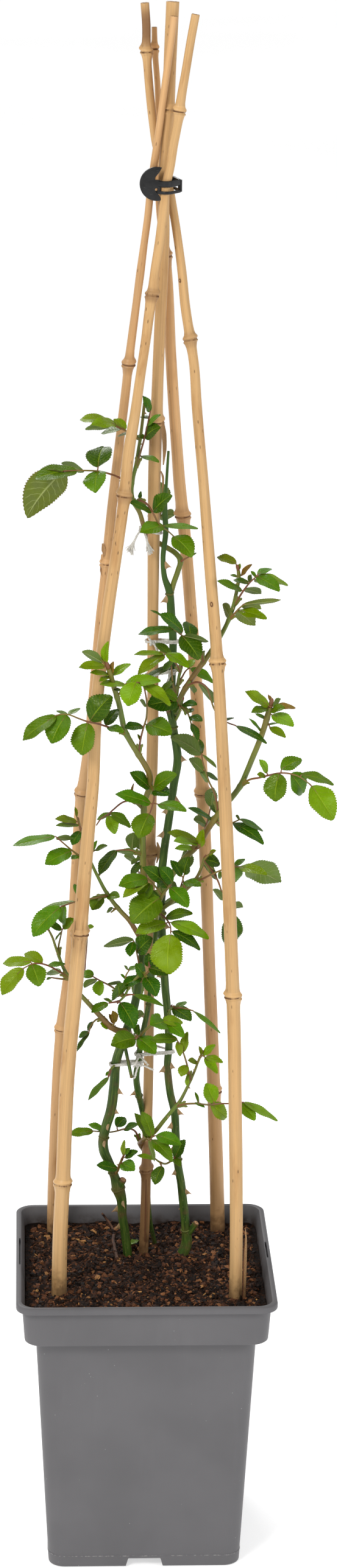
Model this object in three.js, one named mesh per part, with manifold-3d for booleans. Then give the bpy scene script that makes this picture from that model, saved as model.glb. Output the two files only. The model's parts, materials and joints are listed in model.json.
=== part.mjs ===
// Potted climbing rose: a young rose in a square plastic pot, tied to a tent of five bamboo canes.
// Millimetres, +Z up, +Y away from the viewer; the origin is the centre of the pot's foot.
import * as THREE from 'three';
import { mergeVertices } from 'three/addons/utils/BufferGeometryUtils.js';
import Module from 'manifold-3d';

const wasm = await Module();
wasm.setup();

// Driving dimensions of the pot.
const POT_HEIGHT = 232.5;
const RIM_WIDTH = 200;
const LIP_HEIGHT = 5.5;
const LIP_OVERHANG = 4.6;
const SKIRT_HEIGHT = 34.5;
const SKIRT_WIDTH = 187;
const SHOULDER_WIDTH = 170;
const BASE_WIDTH = 150;
const WALL = 1.8;
const FLOOR_HEIGHT = 9;
const CORNER_RADIUS = 13;
const CORNER_STEPS = 3;
const NOTCH_WIDTH = 27;
const PAD_RADIUS = 16;
const DRAIN_HOLE_RADIUS = 6;
const DRAIN_HOLE_OFFSET = 42;
const LABEL_SLOT = { width: 1.3, depth: 7, left: 50, right: 30, middle: 8, inset: 0.6 };
const TOP_BEVEL = 0.8;
const TOP_INSET = 4;
const LEDGE_RISE = 0.8;
const PAD_CLEARANCE = 0.5;
const SKIRT_LEVEL = POT_HEIGHT - SKIRT_HEIGHT;
const LIP_LEVEL = POT_HEIGHT - LIP_HEIGHT;
const SKIRT_TOP_WIDTH = RIM_WIDTH - 2 * LIP_OVERHANG;

// Driving dimensions of the soil and what is set in it.
const SOIL_LEVEL = 219;
const SOIL_ROUGHNESS = 2.2;
const SOIL_CELLS = 6;
const CHIP_COUNT = 20;
const CHIP = {
  length: [5, 12],
  breadth: [3, 7],
  height: [3, 5],
  lean: [-0.4, 0.4],
  lift: [-0.6, 0.9],
  margin: 9,
};
const CLEARANCE = 0.3;
const CANE_FOOT_LEVEL = 16;
const CANE_FOOT_REACH = 60;
const ROOT_LEVEL = 150;
const HIDDEN_DOWN = 2400;

// Driving dimensions of the plant.
const BLADE_THICKNESS = 0.66;
const BLADE_FOLD = 0.24;
const BLADE_ARCH = 0.1;
const BLADE_WAVE = 0.035;
const LARGE_BLADE = 21;
const SMALLEST_BLADE = 14;
const BLADE_ROOT_DEPTH = 0.25;
const BLADE_LEAST_VIEW = 0.34;
const BLADE_BROADEST = 0.92;
const STALK_GIRTH = 1.7;
const STALK_TAPER = 5 / 6;
const CANE_SIDES = 6;
const STEM_SIDES = 6;
const SHOOT_SIDES = 4;
const STALK_SIDES = 3;
const TWINE_SIDES = 4;
const LOOP_STEPS = 14;
const BAND_STEPS = 14;
const MERGE_TOLERANCES = [0.12, 0.1, 0.14, 0.08, 0.06, 0.04, 0.02];
const CORNER_SPACING = 0.002;
const THORN = { height: 4.2, droop: 0.35, above: 2.6, below: 2.8, beside: 1.1, sunk: 0.6 };
const STUB_TAPER = 0.9;
const TWIG_RADII = [0.9, 1.4];
const TWINE_RADIUS = 0.85;
const TWINE_GAP = 0.55;
const KNOT = { radius: 2.3, stretch: [1.25, 0.8, 1], forward: 0.7 };
const TAIL = { forward: 0.8, bend: [0.55, 0.35], girth: 0.85, end: 0.8 };

// The point of view that the places below are seen from, as [across, down, depth]:
// across and down are in the picture, and depth is the distance Y behind the pot's middle.
const VIEW = {
  place: new THREE.Vector3(-94.4, -2736.4, 1461.6),
  yaw: 2.305,
  pitch: 17.094,
  roll: 0.59,
  focal: 6225,
  middle: [276.5, 1288],
};

// Bamboo canes: places of the middle line as [across, down, width], and depths as [down, depth].
const CANES = {
  cane_front_left: {
    route: [
      [97, 2128, 25], [100, 2000, 24], [103, 1944, 27], [110, 1776, 24], [125.5, 1600, 25],
      [131, 1534, 26], [144, 1376, 22], [153, 1280, 20], [155.5, 1200, 21], [177.5, 1000, 20],
      [192.5, 900, 19], [204, 815, 23], [211.5, 740, 19], [221.5, 680, 17], [230, 620, 16],
      [239, 560, 16], [247, 500, 17], [249.5, 485, 20], [253.5, 450, 15], [261.6, 400, 16],
      [267.5, 350, 15], [273, 302, 15], [279, 275, 15], [284.4, 240, 15], [292, 200, 15],
      [294.5, 183, 18], [297.5, 160, 15], [304.3, 120, 14], [314.3, 60, 14], [321, 24, 14],
    ],
    depths: [[2128, -46], [302, -9], [24, -7]],
  },
  cane_back_left: {
    route: [
      [87, 2022, 20], [92, 1850, 20], [101, 1690, 21], [113, 1600, 18], [121, 1500, 18],
      [127, 1400, 18], [134, 1304, 21], [138, 1280, 18], [167, 1000, 17], [175, 925, 20],
      [179, 880, 16], [200.5, 690, 15], [206.5, 640, 15], [211, 598, 19], [223.5, 500, 13],
      [230, 450, 14], [236.5, 400, 12], [242, 360, 12], [248, 302, 12], [257, 240, 12],
      [262.6, 200, 12], [268, 160, 12], [279, 80, 12], [286, 27, 12],
    ],
    depths: [[2022, 73], [302, -2], [27, -2]],
  },
  cane_centre: {
    route: [
      [235.5, 2057, 15], [238, 2000, 16], [240, 1921, 20], [244, 1740, 16], [245, 1500, 18],
      [246, 1400, 27], [250.5, 1200, 19], [251, 1000, 18], [252, 900, 20], [254.5, 740, 21],
      [256.5, 693, 23], [259, 620, 19], [263.3, 520, 19], [268.5, 400, 19], [269, 302, 19],
      [272, 240, 19], [276, 180, 20], [279, 100, 21], [283.4, 3, 22],
    ],
    depths: [[2057, 34], [302, 1], [240, 2.3], [180, 4], [120, 6], [3, 8]],
  },
  cane_back_right: {
    route: [
      [357, 2014, 24], [351, 1792, 24], [344, 1600, 20], [332.5, 1302, 24], [326.5, 1200, 21],
      [313, 1000, 20], [300, 847, 23], [295, 800, 20], [290.5, 740, 19], [280, 580, 18],
      [275, 460, 17], [272, 420, 18], [267, 380, 14], [263, 350, 13], [260, 302, 12], [260, 200, 11],
      [258.5, 140, 10], [254, 80, 12], [253.2, 45, 9],
    ],
    depths: [[2014, 76], [350, 12], [302, 13.5], [280, 18.5], [260, 21], [240, 21.5], [45, 19]],
  },
  cane_front_right: {
    route: [
      [386, 2134, 21], [385.7, 1800, 22], [382.5, 1637, 26], [381, 1600, 22], [372, 1376, 22],
      [363.5, 1200, 20], [357, 1089, 25], [345.3, 940, 19], [334.5, 800, 17], [322.5, 660, 17],
      [318.6, 600, 16], [312.5, 558, 21], [303.7, 500, 16], [299, 450, 15], [292.7, 400, 14],
      [285, 350, 14], [276, 302, 14], [266, 270, 14], [257, 240, 14], [251, 200, 14], [243, 120, 14],
      [240.5, 85, 18], [240, 40, 14], [237.6, 5, 14],
    ],
    depths: [[2134, -54], [400, 3], [302, 11], [275, 11], [240, 10.5], [5, 8]],
  },
};

// Rose stems: the middle line as [across, down, depth, width], thorns as [across, down, side], and cut
// stubs as two places with a width. A thorn's side is -1 for left, 1 for right and 0 for the front.
const STEMS = {
  rose_stem_left: {
    route: [
      [209, 2055, 31, 15], [204, 2019, 30, 15], [200.5, 1994, 28, 15], [199, 1969, 26, 17],
      [194, 1952, 24, 21], [188.5, 1934, 22, 15], [178.5, 1908, 19, 14], [171, 1891, 17, 16],
      [169, 1876, 16, 16], [173.5, 1853, 14, 15.5], [181, 1828, 12, 16], [187, 1790, 10, 16],
      [190, 1748, 7, 15], [205, 1700, 1, 14], [219, 1658, 0, 14], [228, 1610, 0, 13],
      [234, 1560, 2, 12], [237, 1499, 4, 10],
    ],
    thorns: [
      [199, 1790, 1], [193, 1823, 1], [174, 1847, 0], [171, 1875, 0], [185, 1984, -1], [194, 2012, -1],
      [202, 1973, 0], [214, 1672, -1],
    ],
    stubs: [[[194, 1953, 24], [202, 1938, 20], 13], [[203, 1710, 1], [216, 1770, 0], 6]],
  },
  rose_stem_centre: {
    route: [
      [254, 2042, 48, 7], [248, 2016, 47, 7], [243, 1960, 44, 7], [238, 1888, 39, 7],
      [236, 1840, 34, 8], [232, 1818, 26, 10], [226.5, 1793, 15, 11], [223.5, 1770, 9, 10.5],
      [228, 1738, 6, 10], [231, 1710, 5, 9], [237, 1685, 4, 9], [244, 1648, 4, 8], [252, 1580, 6, 8],
      [257, 1511, 7, 8],
    ],
    thorns: [[219, 1794, -1], [233, 1700, -1], [247, 1630, 1]],
    stubs: [],
  },
  rose_stem_right: {
    route: [
      [299, 2062, 28, 18], [306, 2042, 28, 17], [304, 2012, 27, 14], [300, 1969, 26, 14],
      [297, 1944, 25, 13.5], [292.5, 1916, 24, 13.5], [289, 1875, 23, 14], [286, 1825, 21, 13.5],
      [279.5, 1796, 20, 13], [275, 1755, 19, 12.5], [277, 1715, 18, 12.5], [275, 1668, 18, 13],
      [271, 1620, 17, 13], [266, 1540, 16, 13], [265, 1440, 15, 13], [272, 1380, 14, 13],
      [278, 1341, 14, 13], [285, 1290, 14, 13.5], [291.5, 1248, 14, 14.5], [287.5, 1215, 14, 13.5],
      [282.5, 1180, 14, 13.5], [282, 1117, 14, 13], [284, 1060, 14, 13], [280.5, 1000, 14, 13.5],
      [278, 972, 13, 12.5], [270, 948, 10, 9], [267.5, 919, 8, 8], [272, 874, 7, 9],
      [270.5, 838, 7, 9], [272, 812, 6, 5], [276.4, 741, 5, 4],
    ],
    thorns: [
      [279, 928, 1], [264, 983, -1], [291, 1312, 1], [261, 1371, -1], [267, 1332, -1], [297, 1246, 1],
      [264, 1755, -1], [283, 1750, 1], [297, 1826, 1], [280, 1848, -1], [283, 1887, -1],
      [286, 1924, -1], [304, 1957, 1], [262, 1600, -1], [274, 1520, 1],
    ],
    stubs: [[[306, 2030, 28], [322, 2009, 24], 11], [[283, 1195, 14], [276, 1168, 9], 8]],
  },
};

// Twine ties: the places that each loop holds together as [node, down], the knot's place and its tails.
const TIES = {
  tie_lower_left: {
    holds: [['rose_stem_left', 1747], ['rose_stem_centre', 1745]],
    knot: 1,
    tails: [[-3, -2, -9], [9, -2, -3]],
  },
  tie_lower_right: {
    holds: [['rose_stem_centre', 1727], ['cane_centre', 1727], ['rose_stem_right', 1723]],
    knot: 0,
    tails: [[5, -5, -4], [-4, -4, -6]],
  },
  tie_middle: {
    holds: [['cane_centre', 1106], ['rose_stem_right', 1102]],
    knot: 1,
    tails: [[-4, -3, -7], [4, -3, 4]],
  },
  tie_upper: {
    holds: [['cane_centre', 1052], ['rose_stem_right', 1054]],
    knot: 0,
    tails: [[3, -3, -6], [-3, -3, 4]],
  },
  tie_top: {
    holds: [['shoot_top', 868], ['cane_centre', 872]],
    knot: 0,
    tails: [[-7, -3, -11], [4, -6, -10]],
  },
};

// The plant clip that gathers the canes: a thin disc with two horns, a neck and a double ring.
const CLIP = {
  centre: [257, 302],
  depth: -10.4,
  radius: 12.2,
  thickness: 2.2,
  arc: [72, 288],
  horns: [[2.2, -8.8], [-2.4, -3.2], [3.6, -3.2], [3.6, 2.8], [-2.4, 3], [2, 8.4]],
  band: 1.5,
  grip: 0.9,
  bridge: 5,
  strut: [3.4, 1.9],
  upper: [-2.2, 2.4],
  lower: [-7.2, -5],
  loose: { place: [15.6, -2], radius: 3.2 },
};

// What lies on the soil, as [across, down, height over the soil's level]: a dead twig and a fallen leaf.
const FALLEN_TWIG = [[168, 1994, 12.5], [172, 1999, 7], [180, 2010, 2.5], [186, 2040, 2], [192, 2068, 2]];
const FALLEN_LEAF = { from: [214, 2045, 2.5], to: [229, 2037, 3.5], width: 6, rest: 0.4 };

// Leafy shoots: the stem leaves a rose stem and runs through places as [across, down, depth].
// Each leaf has a stalk of places and leaflets as [across, down] of the base, [across, down] of the tip,
// seen width, tilt and bend: tilt is in degrees from facing the viewer, past 90 it shows its underside,
// and bend is how much deeper the tip lies than the base.
const SHOOTS = {
  shoot_top: {
    stem: [
      [280, 976, 14], [285, 958, 14], [292, 938, 14], [296, 920, 14], [287, 908, 18], [276, 901, 21],
      [262, 893, 24], [250, 887, 26], [241, 878, 18], [235, 862, 9], [229, 842, 3], [219, 824, -1],
      [216, 806, -4], [218, 788, -4], [223, 765, -4], [227, 740, -4], [231, 715, -4], [234, 690, -4],
      [237, 662, -4],
    ],
    girth: [4.4, 2.2],
    leaves: [
      {
        stalk: [
          [218, 796, -4], [205, 789, -6], [192, 783, -8], [178, 778, -12], [160, 774, -18],
          [140, 773, -22], [122, 773, -26], [104, 774, -30],
        ],
        leaflets: [
          [103, 774, 44, 847, 56, 152, 14], [126, 773, 57, 786, 28, 50, -10],
          [138, 774, 101, 761, 11, 118, 12], [161, 774, 157, 808, 48, 26, -16],
          [161, 767, 170, 733, 45, 24, 18],
        ],
      },
      {
        stalk: [[230, 722, -4], [215, 713, -6], [203, 706, -8], [190, 700, -12], [176, 694, -16]],
        leaflets: [
          [174, 690, 131, 689, 17, 48, 4], [190, 697, 151, 697, 20, 30, -26],
          [180, 700, 140, 705, 9, 120, 8], [200, 704, 166, 711, 13, 60, 10],
          [206, 706, 187, 688, 16, 40, 6], [211, 712, 193, 716, 6, 60, 10],
        ],
      },
      {
        stalk: [
          [222, 772, -4], [229, 748, -6], [236, 724, -8], [241, 703, -8], [245, 684, -8],
          [247, 674, -8],
        ],
        leaflets: [
          [246, 677, 235, 651, 13, 30, -6], [241, 699, 263, 681, 9, 50, -8],
          [238, 718, 262, 701, 24, 34, -8], [244, 687, 231, 684, 7, 55, 8],
          [237, 720, 226, 715, 9, 40, 4], [231, 749, 261, 759, 10, 55, -10],
        ],
      },
      {
        stalk: [
          [221, 826, -1], [231, 822, -4], [241, 828, -6], [250, 841, -8], [262, 862, -8],
          [275, 872, -6], [285, 881, -4],
        ],
        leaflets: [
          [249, 841, 211, 824, 13, 50, -12], [251, 840, 281, 813, 26, 36, -6],
          [268, 864, 231, 874, 24, 38, -12], [269, 863, 325, 868, 11, 62, -6],
          [284, 881, 316, 914, 32, 30, -10], [230, 821, 231, 807, 6, 40, 4],
        ],
      },
      {
        stalk: [[297, 922, 13], [304, 918, 8], [312, 914, 4]],
        leaflets: [[311, 914, 322, 908, 5, 60, 4]],
      },
      {
        stalk: [[250, 887, 26], [256, 872, 34], [262, 850, 42], [268, 828, 48]],
        leaflets: [
          [258, 868, 243, 846, 20, 130, 10], [263, 848, 286, 846, 18, 125, 8],
          [268, 828, 262, 792, 22, 140, 6],
        ],
      },
    ],
  },
  shoot_upper_right: {
    stem: [
      [287, 1172, 14], [294, 1151, 10], [303, 1133, 6], [313, 1117, 2], [324, 1101, -2],
      [336, 1085, -3], [350, 1064, -4], [363, 1043, -5], [374, 1021, -8], [382, 1000, -9],
      [386, 982, -10], [390, 963, -10], [392, 946, -10], [391, 937, -10],
    ],
    girth: [4.6, 2.6],
    leaves: [
      {
        stalk: [[384, 996, -9], [392, 982, -13], [402, 967, -18], [411, 956, -22], [420, 948, -26]],
        leaflets: [
          [421, 947, 459, 970, 22, 40, -12], [423, 946, 473, 961, 14, 55, 8],
          [418, 952, 452, 962, 9, 118, 22], [420, 948, 412, 938, 6, 40, 2],
          [423, 943, 446, 934, 10, 50, 14], [397, 970, 357, 954, 13, 50, -8],
          [402, 967, 428, 975, 12, 120, 8], [408, 958, 383, 952, 10, 46, 6],
          [409, 957, 412, 944, 8, 130, 4],
        ],
      },
      {
        stalk: [[376, 1018, -8], [384, 1009, -12], [392, 1000, -16], [400, 993, -20]],
        leaflets: [
          [401, 992, 461, 985, 8, 112, -6], [397, 994, 428, 1000, 14, 130, 10],
          [389, 1004, 418, 1027, 24, 148, 8], [391, 1003, 438, 1016, 17, 42, -10],
          [378, 1014, 366, 992, 13, 120, 10],
        ],
      },
      {
        stalk: [[392, 946, -10], [390, 938, -10], [388, 932, -9]],
        leaflets: [
          [388, 925, 356, 915, 15, 42, 4], [391, 937, 394, 926, 7, 30, 2],
          [395, 946, 413, 927, 8, 45, -4], [390, 948, 378, 944, 5, 50, 4],
        ],
      },
      {
        stalk: [
          [334, 1088, -3], [330, 1074, -8], [320, 1061, -11], [308, 1051, -12], [296, 1042, -12],
          [284, 1033, -12],
        ],
        leaflets: [
          [300, 1038, 262, 1009, 20, 44, -8], [285, 1033, 227, 1042, 15, 55, -6],
          [312, 1047, 308, 1021, 24, 40, 12], [304, 1044, 342, 1053, 9, 112, -12],
          [298, 1044, 327, 1083, 34, 32, -12], [330, 1077, 336, 1069, 5, 120, 2],
          [268, 1013, 247, 1002, 4, 60, 6],
        ],
      },
      {
        stalk: [
          [304, 1131, 6], [314, 1123, 0], [326, 1121, -4], [338, 1128, -7], [345, 1146, -8],
          [352, 1166, -9], [361, 1180, -10], [373, 1187, -12], [387, 1192, -18],
        ],
        leaflets: [
          [328, 1122, 350, 1154, 13, 125, 8], [387, 1192, 438, 1221, 12, 58, -12],
          [366, 1184, 384, 1179, 4, 60, 4], [314, 1124, 318, 1138, 10, 130, 6],
        ],
      },
    ],
  },
  shoot_upper_middle: {
    stem: [[284, 1152, 14], [290, 1138, 8], [292, 1122, 4], [295, 1106, 1], [298, 1096, 0]],
    girth: [3.4, 2.0],
    leaves: [
      {
        stalk: [[296, 1104, 1], [290, 1092, -6], [281, 1080, -9], [271, 1074, -11], [262, 1070, -12]],
        leaflets: [
          [281, 1079, 255, 1056, 14, 42, 8], [268, 1073, 220, 1075, 9, 60, -8],
          [270, 1076, 226, 1107, 19, 38, -14], [272, 1073, 310, 1096, 18, 40, -12],
          [284, 1085, 267, 1102, 10, 50, -2],
        ],
      },
      {
        stalk: [[292, 1126, 5], [299, 1112, 4], [307, 1100, 6], [312, 1097, 7]],
        leaflets: [[308, 1097, 319, 1083, 14, 44, 4], [312, 1098, 350, 1121, 15, 42, -2]],
      },
      {
        stalk: [[289, 1140, 9], [284, 1124, 0], [282, 1106, -4], [281, 1092, -6]],
        leaflets: [[281, 1094, 238, 1116, 12, 60, -6], [284, 1118, 265, 1137, 10, 50, -4]],
      },
    ],
  },
  shoot_middle_fan: {
    stem: [[287, 1184, 14], [294, 1171, 8], [297, 1159, 2], [300, 1150, 0]],
    girth: [2.8, 1.6],
    leaves: [
      {
        stalk: [[297, 1159, 2], [306, 1168, -2], [311, 1179, -5], [314, 1190, -8], [320, 1202, -10]],
        leaflets: [
          [299, 1157, 323, 1157, 12, 50, -8], [311, 1177, 332, 1184, 13, 45, -8],
          [314, 1188, 325, 1216, 12, 42, -8], [308, 1171, 318, 1164, 8, 45, 4],
        ],
      },
      {
        stalk: [[296, 1163, 4], [293, 1158, -2], [290, 1155, -5]],
        leaflets: [
          [291, 1152, 242, 1159, 35, 32, -12], [291, 1150, 265, 1134, 16, 44, -2],
          [293, 1158, 285, 1172, 9, 40, -2],
        ],
      },
    ],
  },
  shoot_upper_left: {
    stem: [
      [237, 1500, 4], [236, 1450, 5], [234, 1400, 5], [235, 1350, 5], [238, 1315, 4], [246, 1290, 1],
      [246, 1274, -3], [239, 1259, -7], [228, 1241, -10], [215, 1220, -14], [205, 1201, -18],
      [200, 1180, -22], [196, 1160, -26], [191, 1142, -30], [186, 1126, -34], [182, 1110, -36],
      [178, 1098, -38],
    ],
    girth: [5.2, 3.8],
    leaves: [
      {
        stalk: [[181, 1108, -36], [176, 1099, -38], [172, 1091, -39], [166, 1083, -40]],
        leaflets: [
          [172, 1095, 130, 1096, 15, 42, -8], [169, 1088, 135, 1070, 15, 125, 6],
          [173, 1091, 177, 1054, 13, 30, -2], [183, 1108, 186, 1087, 9, 35, -2],
          [185, 1110, 214, 1090, 13, 45, 6], [179, 1108, 148, 1105, 9, 50, -8],
          [180, 1112, 163, 1119, 8, 40, -8],
        ],
      },
      {
        stalk: [[192, 1146, -29], [198, 1136, -32], [205, 1125, -35]],
        leaflets: [
          [205, 1124, 164, 1124, 12, 60, -6], [206, 1123, 264, 1117, 20, 46, 8],
          [200, 1134, 187, 1133, 6, 55, -3],
        ],
      },
      {
        stalk: [
          [206, 1206, -17], [196, 1200, -26], [176, 1194, -36], [160, 1189, -41], [145, 1186, -43],
          [128, 1180, -44], [112, 1174, -44], [98, 1174, -44], [90, 1176, -44],
        ],
        leaflets: [
          [92, 1176, 37, 1216, 25, 40, -8], [109, 1174, 84, 1221, 40, 26, -10],
          [112, 1174, 131, 1163, 8, 58, 10], [110, 1174, 93, 1167, 6, 60, 8],
          [144, 1188, 134, 1241, 40, 24, -6], [148, 1184, 183, 1143, 41, 30, 2],
          [174, 1192, 194, 1165, 20, 38, 8], [176, 1195, 203, 1203, 13, 45, -8],
        ],
      },
      {
        stalk: [
          [228, 1241, -10], [230, 1218, -14], [235, 1197, -17], [240, 1180, -18], [241, 1157, -19],
          [238, 1136, -20], [232, 1123, -31], [225, 1121, -39],
        ],
        leaflets: [
          [224, 1121, 210, 1160, 38, 24, -8], [233, 1123, 280, 1159, 18, 36, -8],
          [234, 1193, 205, 1196, 15, 45, -8], [240, 1190, 282, 1205, 33, 30, -10],
          [240, 1160, 230, 1150, 7, 120, 6], [230, 1216, 226, 1206, 4, 40, 0],
        ],
      },
      {
        stalk: [[246, 1290, 1], [251, 1298, -5], [253, 1310, -8], [250, 1324, -9], [246, 1336, -10]],
        leaflets: [
          [246, 1295, 214, 1269, 21, 40, -6], [252, 1295, 289, 1271, 25, 36, -8],
          [253, 1298, 277, 1306, 20, 46, -12], [247, 1320, 190, 1304, 20, 42, -8],
          [259, 1321, 306, 1332, 17, 46, -16], [245, 1337, 228, 1377, 39, 26, -10],
        ],
      },
      {
        stalk: [
          [236, 1330, 5], [222, 1316, 4], [204, 1317, 2], [186, 1330, -2], [177, 1338, -4],
          [166, 1345, -6], [158, 1356, -9],
        ],
        leaflets: [
          [182, 1337, 159, 1346, 9, 50, 6], [177, 1340, 189, 1370, 20, 30, -4],
          [181, 1336, 215, 1359, 15, 44, 4], [216, 1316, 219, 1287, 5, 40, 8],
        ],
      },
      {
        stalk: [[234, 1404, 5], [226, 1401, 1], [217, 1397, -2], [203, 1396, -5], [191, 1397, -8]],
        leaflets: [
          [216, 1394, 219, 1368, 33, 142, 8], [226, 1402, 192, 1398, 11, 124, -6],
          [191, 1397, 162, 1437, 19, 48, -6], [230, 1408, 216, 1420, 8, 120, 4],
          [233, 1416, 214, 1440, 12, 50, 2],
        ],
      },
      {
        stalk: [[236, 1440, 5], [226, 1430, 22], [224, 1414, 38], [230, 1396, 48]],
        leaflets: [
          [224, 1414, 204, 1406, 20, 128, 8], [225, 1408, 248, 1404, 20, 128, 8],
          [230, 1396, 232, 1362, 24, 140, 8],
        ],
      },
    ],
  },
  shoot_right: {
    stem: [
      [266, 1462, 15], [283, 1436, 12], [302, 1412, 8], [318, 1394, 4], [333, 1374, 0],
      [345, 1356, -3], [358, 1338, -6], [370, 1322, -8], [382, 1308, -10], [395, 1290, -12],
      [405, 1268, -14], [414, 1246, -16], [424, 1222, -18], [432, 1200, -20], [438, 1180, -20],
      [443, 1162, -20],
    ],
    girth: [5.0, 4.2],
    leaves: [
      {
        stalk: [[438, 1180, -20], [441, 1170, -21], [444, 1161, -22]],
        leaflets: [
          [441, 1160, 403, 1136, 18, 36, -8], [440, 1164, 413, 1170, 13, 44, -8],
          [438, 1182, 419, 1172, 6, 55, 4], [448, 1161, 460, 1148, 9, 130, 8],
          [444, 1168, 467, 1163, 13, 42, -8], [446, 1174, 482, 1192, 21, 38, -10],
          [442, 1195, 469, 1211, 13, 42, -4], [437, 1191, 458, 1187, 3, 66, 4],
          [430, 1203, 409, 1180, 5, 55, 2],
        ],
      },
      {
        stalk: [[443, 1162, -20], [446, 1159, -18], [450, 1158, -15]],
        leaflets: [[446, 1159, 440, 1141, 6, 35, 2], [451, 1159, 485, 1163, 10, 48, 2]],
      },
      {
        stalk: [
          [395, 1292, -12], [402, 1285, -16], [412, 1280, -21], [424, 1278, -26], [440, 1274, -32],
          [460, 1270, -38], [475, 1271, -43], [493, 1277, -48], [508, 1288, -52],
        ],
        leaflets: [
          [438, 1270, 426, 1248, 12, 35, -2], [436, 1276, 422, 1272, 9, 45, -2],
          [461, 1264, 495, 1247, 23, 40, 6], [458, 1271, 451, 1317, 40, 26, -6],
          [477, 1272, 499, 1303, 32, 32, 8], [494, 1272, 548, 1289, 15, 52, 8],
          [511, 1291, 547, 1347, 43, 26, -8],
        ],
      },
      {
        stalk: [
          [358, 1338, -6], [356, 1320, -5], [351, 1301, -3], [343, 1284, -2], [337, 1266, -1],
          [332, 1248, 0], [331, 1240, 0],
        ],
        leaflets: [
          [334, 1266, 311, 1246, 18, 140, 8], [342, 1284, 327, 1266, 12, 130, 10],
          [338, 1270, 358, 1281, 8, 60, 4], [331, 1239, 281, 1210, 27, 150, 10],
          [331, 1238, 327, 1214, 8, 30, -6], [333, 1240, 355, 1261, 6, 115, 4],
          [357, 1336, 346, 1323, 11, 40, 6], [352, 1302, 345, 1300, 3, 50, 4],
        ],
      },
      {
        stalk: [[352, 1347, -4], [364, 1355, -8], [374, 1354, -10], [383, 1351, -14], [394, 1346, -18]],
        leaflets: [
          [394, 1346, 432, 1365, 9, 62, 6], [394, 1346, 387, 1340, 6, 120, 4],
          [382, 1352, 433, 1386, 19, 44, -12], [348, 1346, 309, 1327, 9, 58, -8],
        ],
      },
      {
        stalk: [[318, 1394, 4], [325, 1394, -2], [329, 1391, -6]],
        leaflets: [
          [325, 1382, 275, 1367, 15, 50, -4], [324, 1386, 286, 1382, 12, 56, -20],
          [329, 1391, 333, 1363, 15, 28, -4], [318, 1393, 287, 1394, 10, 50, -4],
        ],
      },
      {
        stalk: [[333, 1374, 0], [336, 1362, 14], [341, 1346, 26], [346, 1326, 34]],
        leaflets: [
          [339, 1354, 318, 1346, 18, 128, 8], [341, 1348, 362, 1346, 18, 128, 8],
          [346, 1326, 350, 1294, 22, 138, 8],
        ],
      },
    ],
  },
  shoot_right_inner: {
    stem: [
      [264, 1494, 16], [282, 1481, 10], [302, 1464, 5], [316, 1451, 2], [325, 1438, -1],
      [331, 1424, -4], [336, 1410, -6],
    ],
    girth: [4.0, 2.0],
    leaves: [
      {
        stalk: [[336, 1411, -6], [344, 1403, -9], [352, 1398, -12]],
        leaflets: [[343, 1404, 354, 1397, 7, 45, -4], [336, 1412, 361, 1420, 22, 40, 2]],
      },
      {
        stalk: [
          [318, 1449, 2], [332, 1444, -4], [346, 1437, -9], [362, 1430, -13], [376, 1425, -15],
          [390, 1424, -19], [404, 1425, -22],
        ],
        leaflets: [
          [385, 1423, 402, 1411, 9, 45, 6], [384, 1425, 386, 1450, 22, 34, 8],
          [391, 1424, 438, 1436, 15, 42, -16], [405, 1425, 460, 1449, 42, 150, 14],
          [360, 1431, 361, 1444, 8, 30, 4],
        ],
      },
      {
        stalk: [
          [335, 1413, -6], [346, 1428, -5], [357, 1446, -8], [364, 1466, -12], [370, 1484, -16],
          [376, 1500, -19],
        ],
        leaflets: [
          [357, 1445, 335, 1421, 11, 128, 12], [367, 1478, 350, 1461, 11, 126, 8],
          [372, 1486, 398, 1490, 14, 130, 10], [377, 1501, 378, 1554, 35, 30, 6],
        ],
      },
      {
        stalk: [[302, 1464, 5], [302, 1452, -1], [300, 1443, -4], [303, 1436, -6]],
        leaflets: [
          [298, 1440, 280, 1413, 14, 42, 4], [302, 1436, 310, 1408, 21, 34, -4],
          [301, 1449, 330, 1455, 14, 46, -10],
        ],
      },
      {
        stalk: [[282, 1481, 10], [290, 1470, 26], [298, 1452, 36], [304, 1430, 42]],
        leaflets: [
          [292, 1464, 276, 1450, 18, 128, 8], [297, 1456, 320, 1452, 20, 128, 8],
          [304, 1430, 304, 1396, 22, 138, 8], [284, 1478, 296, 1484, 10, 60, -4],
        ],
      },
    ],
  },
  shoot_heart: {
    stem: [[257, 1513, 7], [260, 1495, -2], [263, 1480, -8], [270, 1466, -11], [277, 1457, -12]],
    girth: [3.4, 1.8],
    leaves: [
      {
        stalk: [[277, 1457, -12], [280, 1452, -12], [282, 1447, -12]],
        leaflets: [
          [275, 1457, 235, 1425, 22, 38, -10], [283, 1450, 262, 1426, 22, 36, -4],
          [279, 1458, 309, 1490, 26, 32, -10],
        ],
      },
      {
        stalk: [[261, 1490, -4], [262, 1482, -10], [262, 1476, -14]],
        leaflets: [[262, 1475, 216, 1516, 50, 24, -12], [259, 1482, 250, 1462, 10, 46, 2]],
      },
      {
        stalk: [[266, 1472, -9], [258, 1460, -8], [249, 1450, -9], [242, 1443, -10]],
        leaflets: [
          [242, 1444, 195, 1455, 24, 38, -8], [242, 1446, 202, 1474, 18, 38, -16],
          [248, 1452, 231, 1479, 26, 34, -4],
        ],
      },
      {
        stalk: [[259, 1498, -1], [268, 1505, -8], [276, 1514, -13], [280, 1524, -16], [280, 1534, -17]],
        leaflets: [
          [272, 1517, 223, 1533, 22, 44, -10], [271, 1508, 316, 1500, 16, 46, -4],
          [280, 1515, 343, 1541, 20, 44, -8], [280, 1535, 277, 1601, 54, 22, -8],
          [282, 1530, 329, 1560, 17, 42, -2],
        ],
      },
      {
        stalk: [[260, 1495, -2], [268, 1492, 20], [270, 1480, 36], [272, 1462, 44]],
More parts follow.
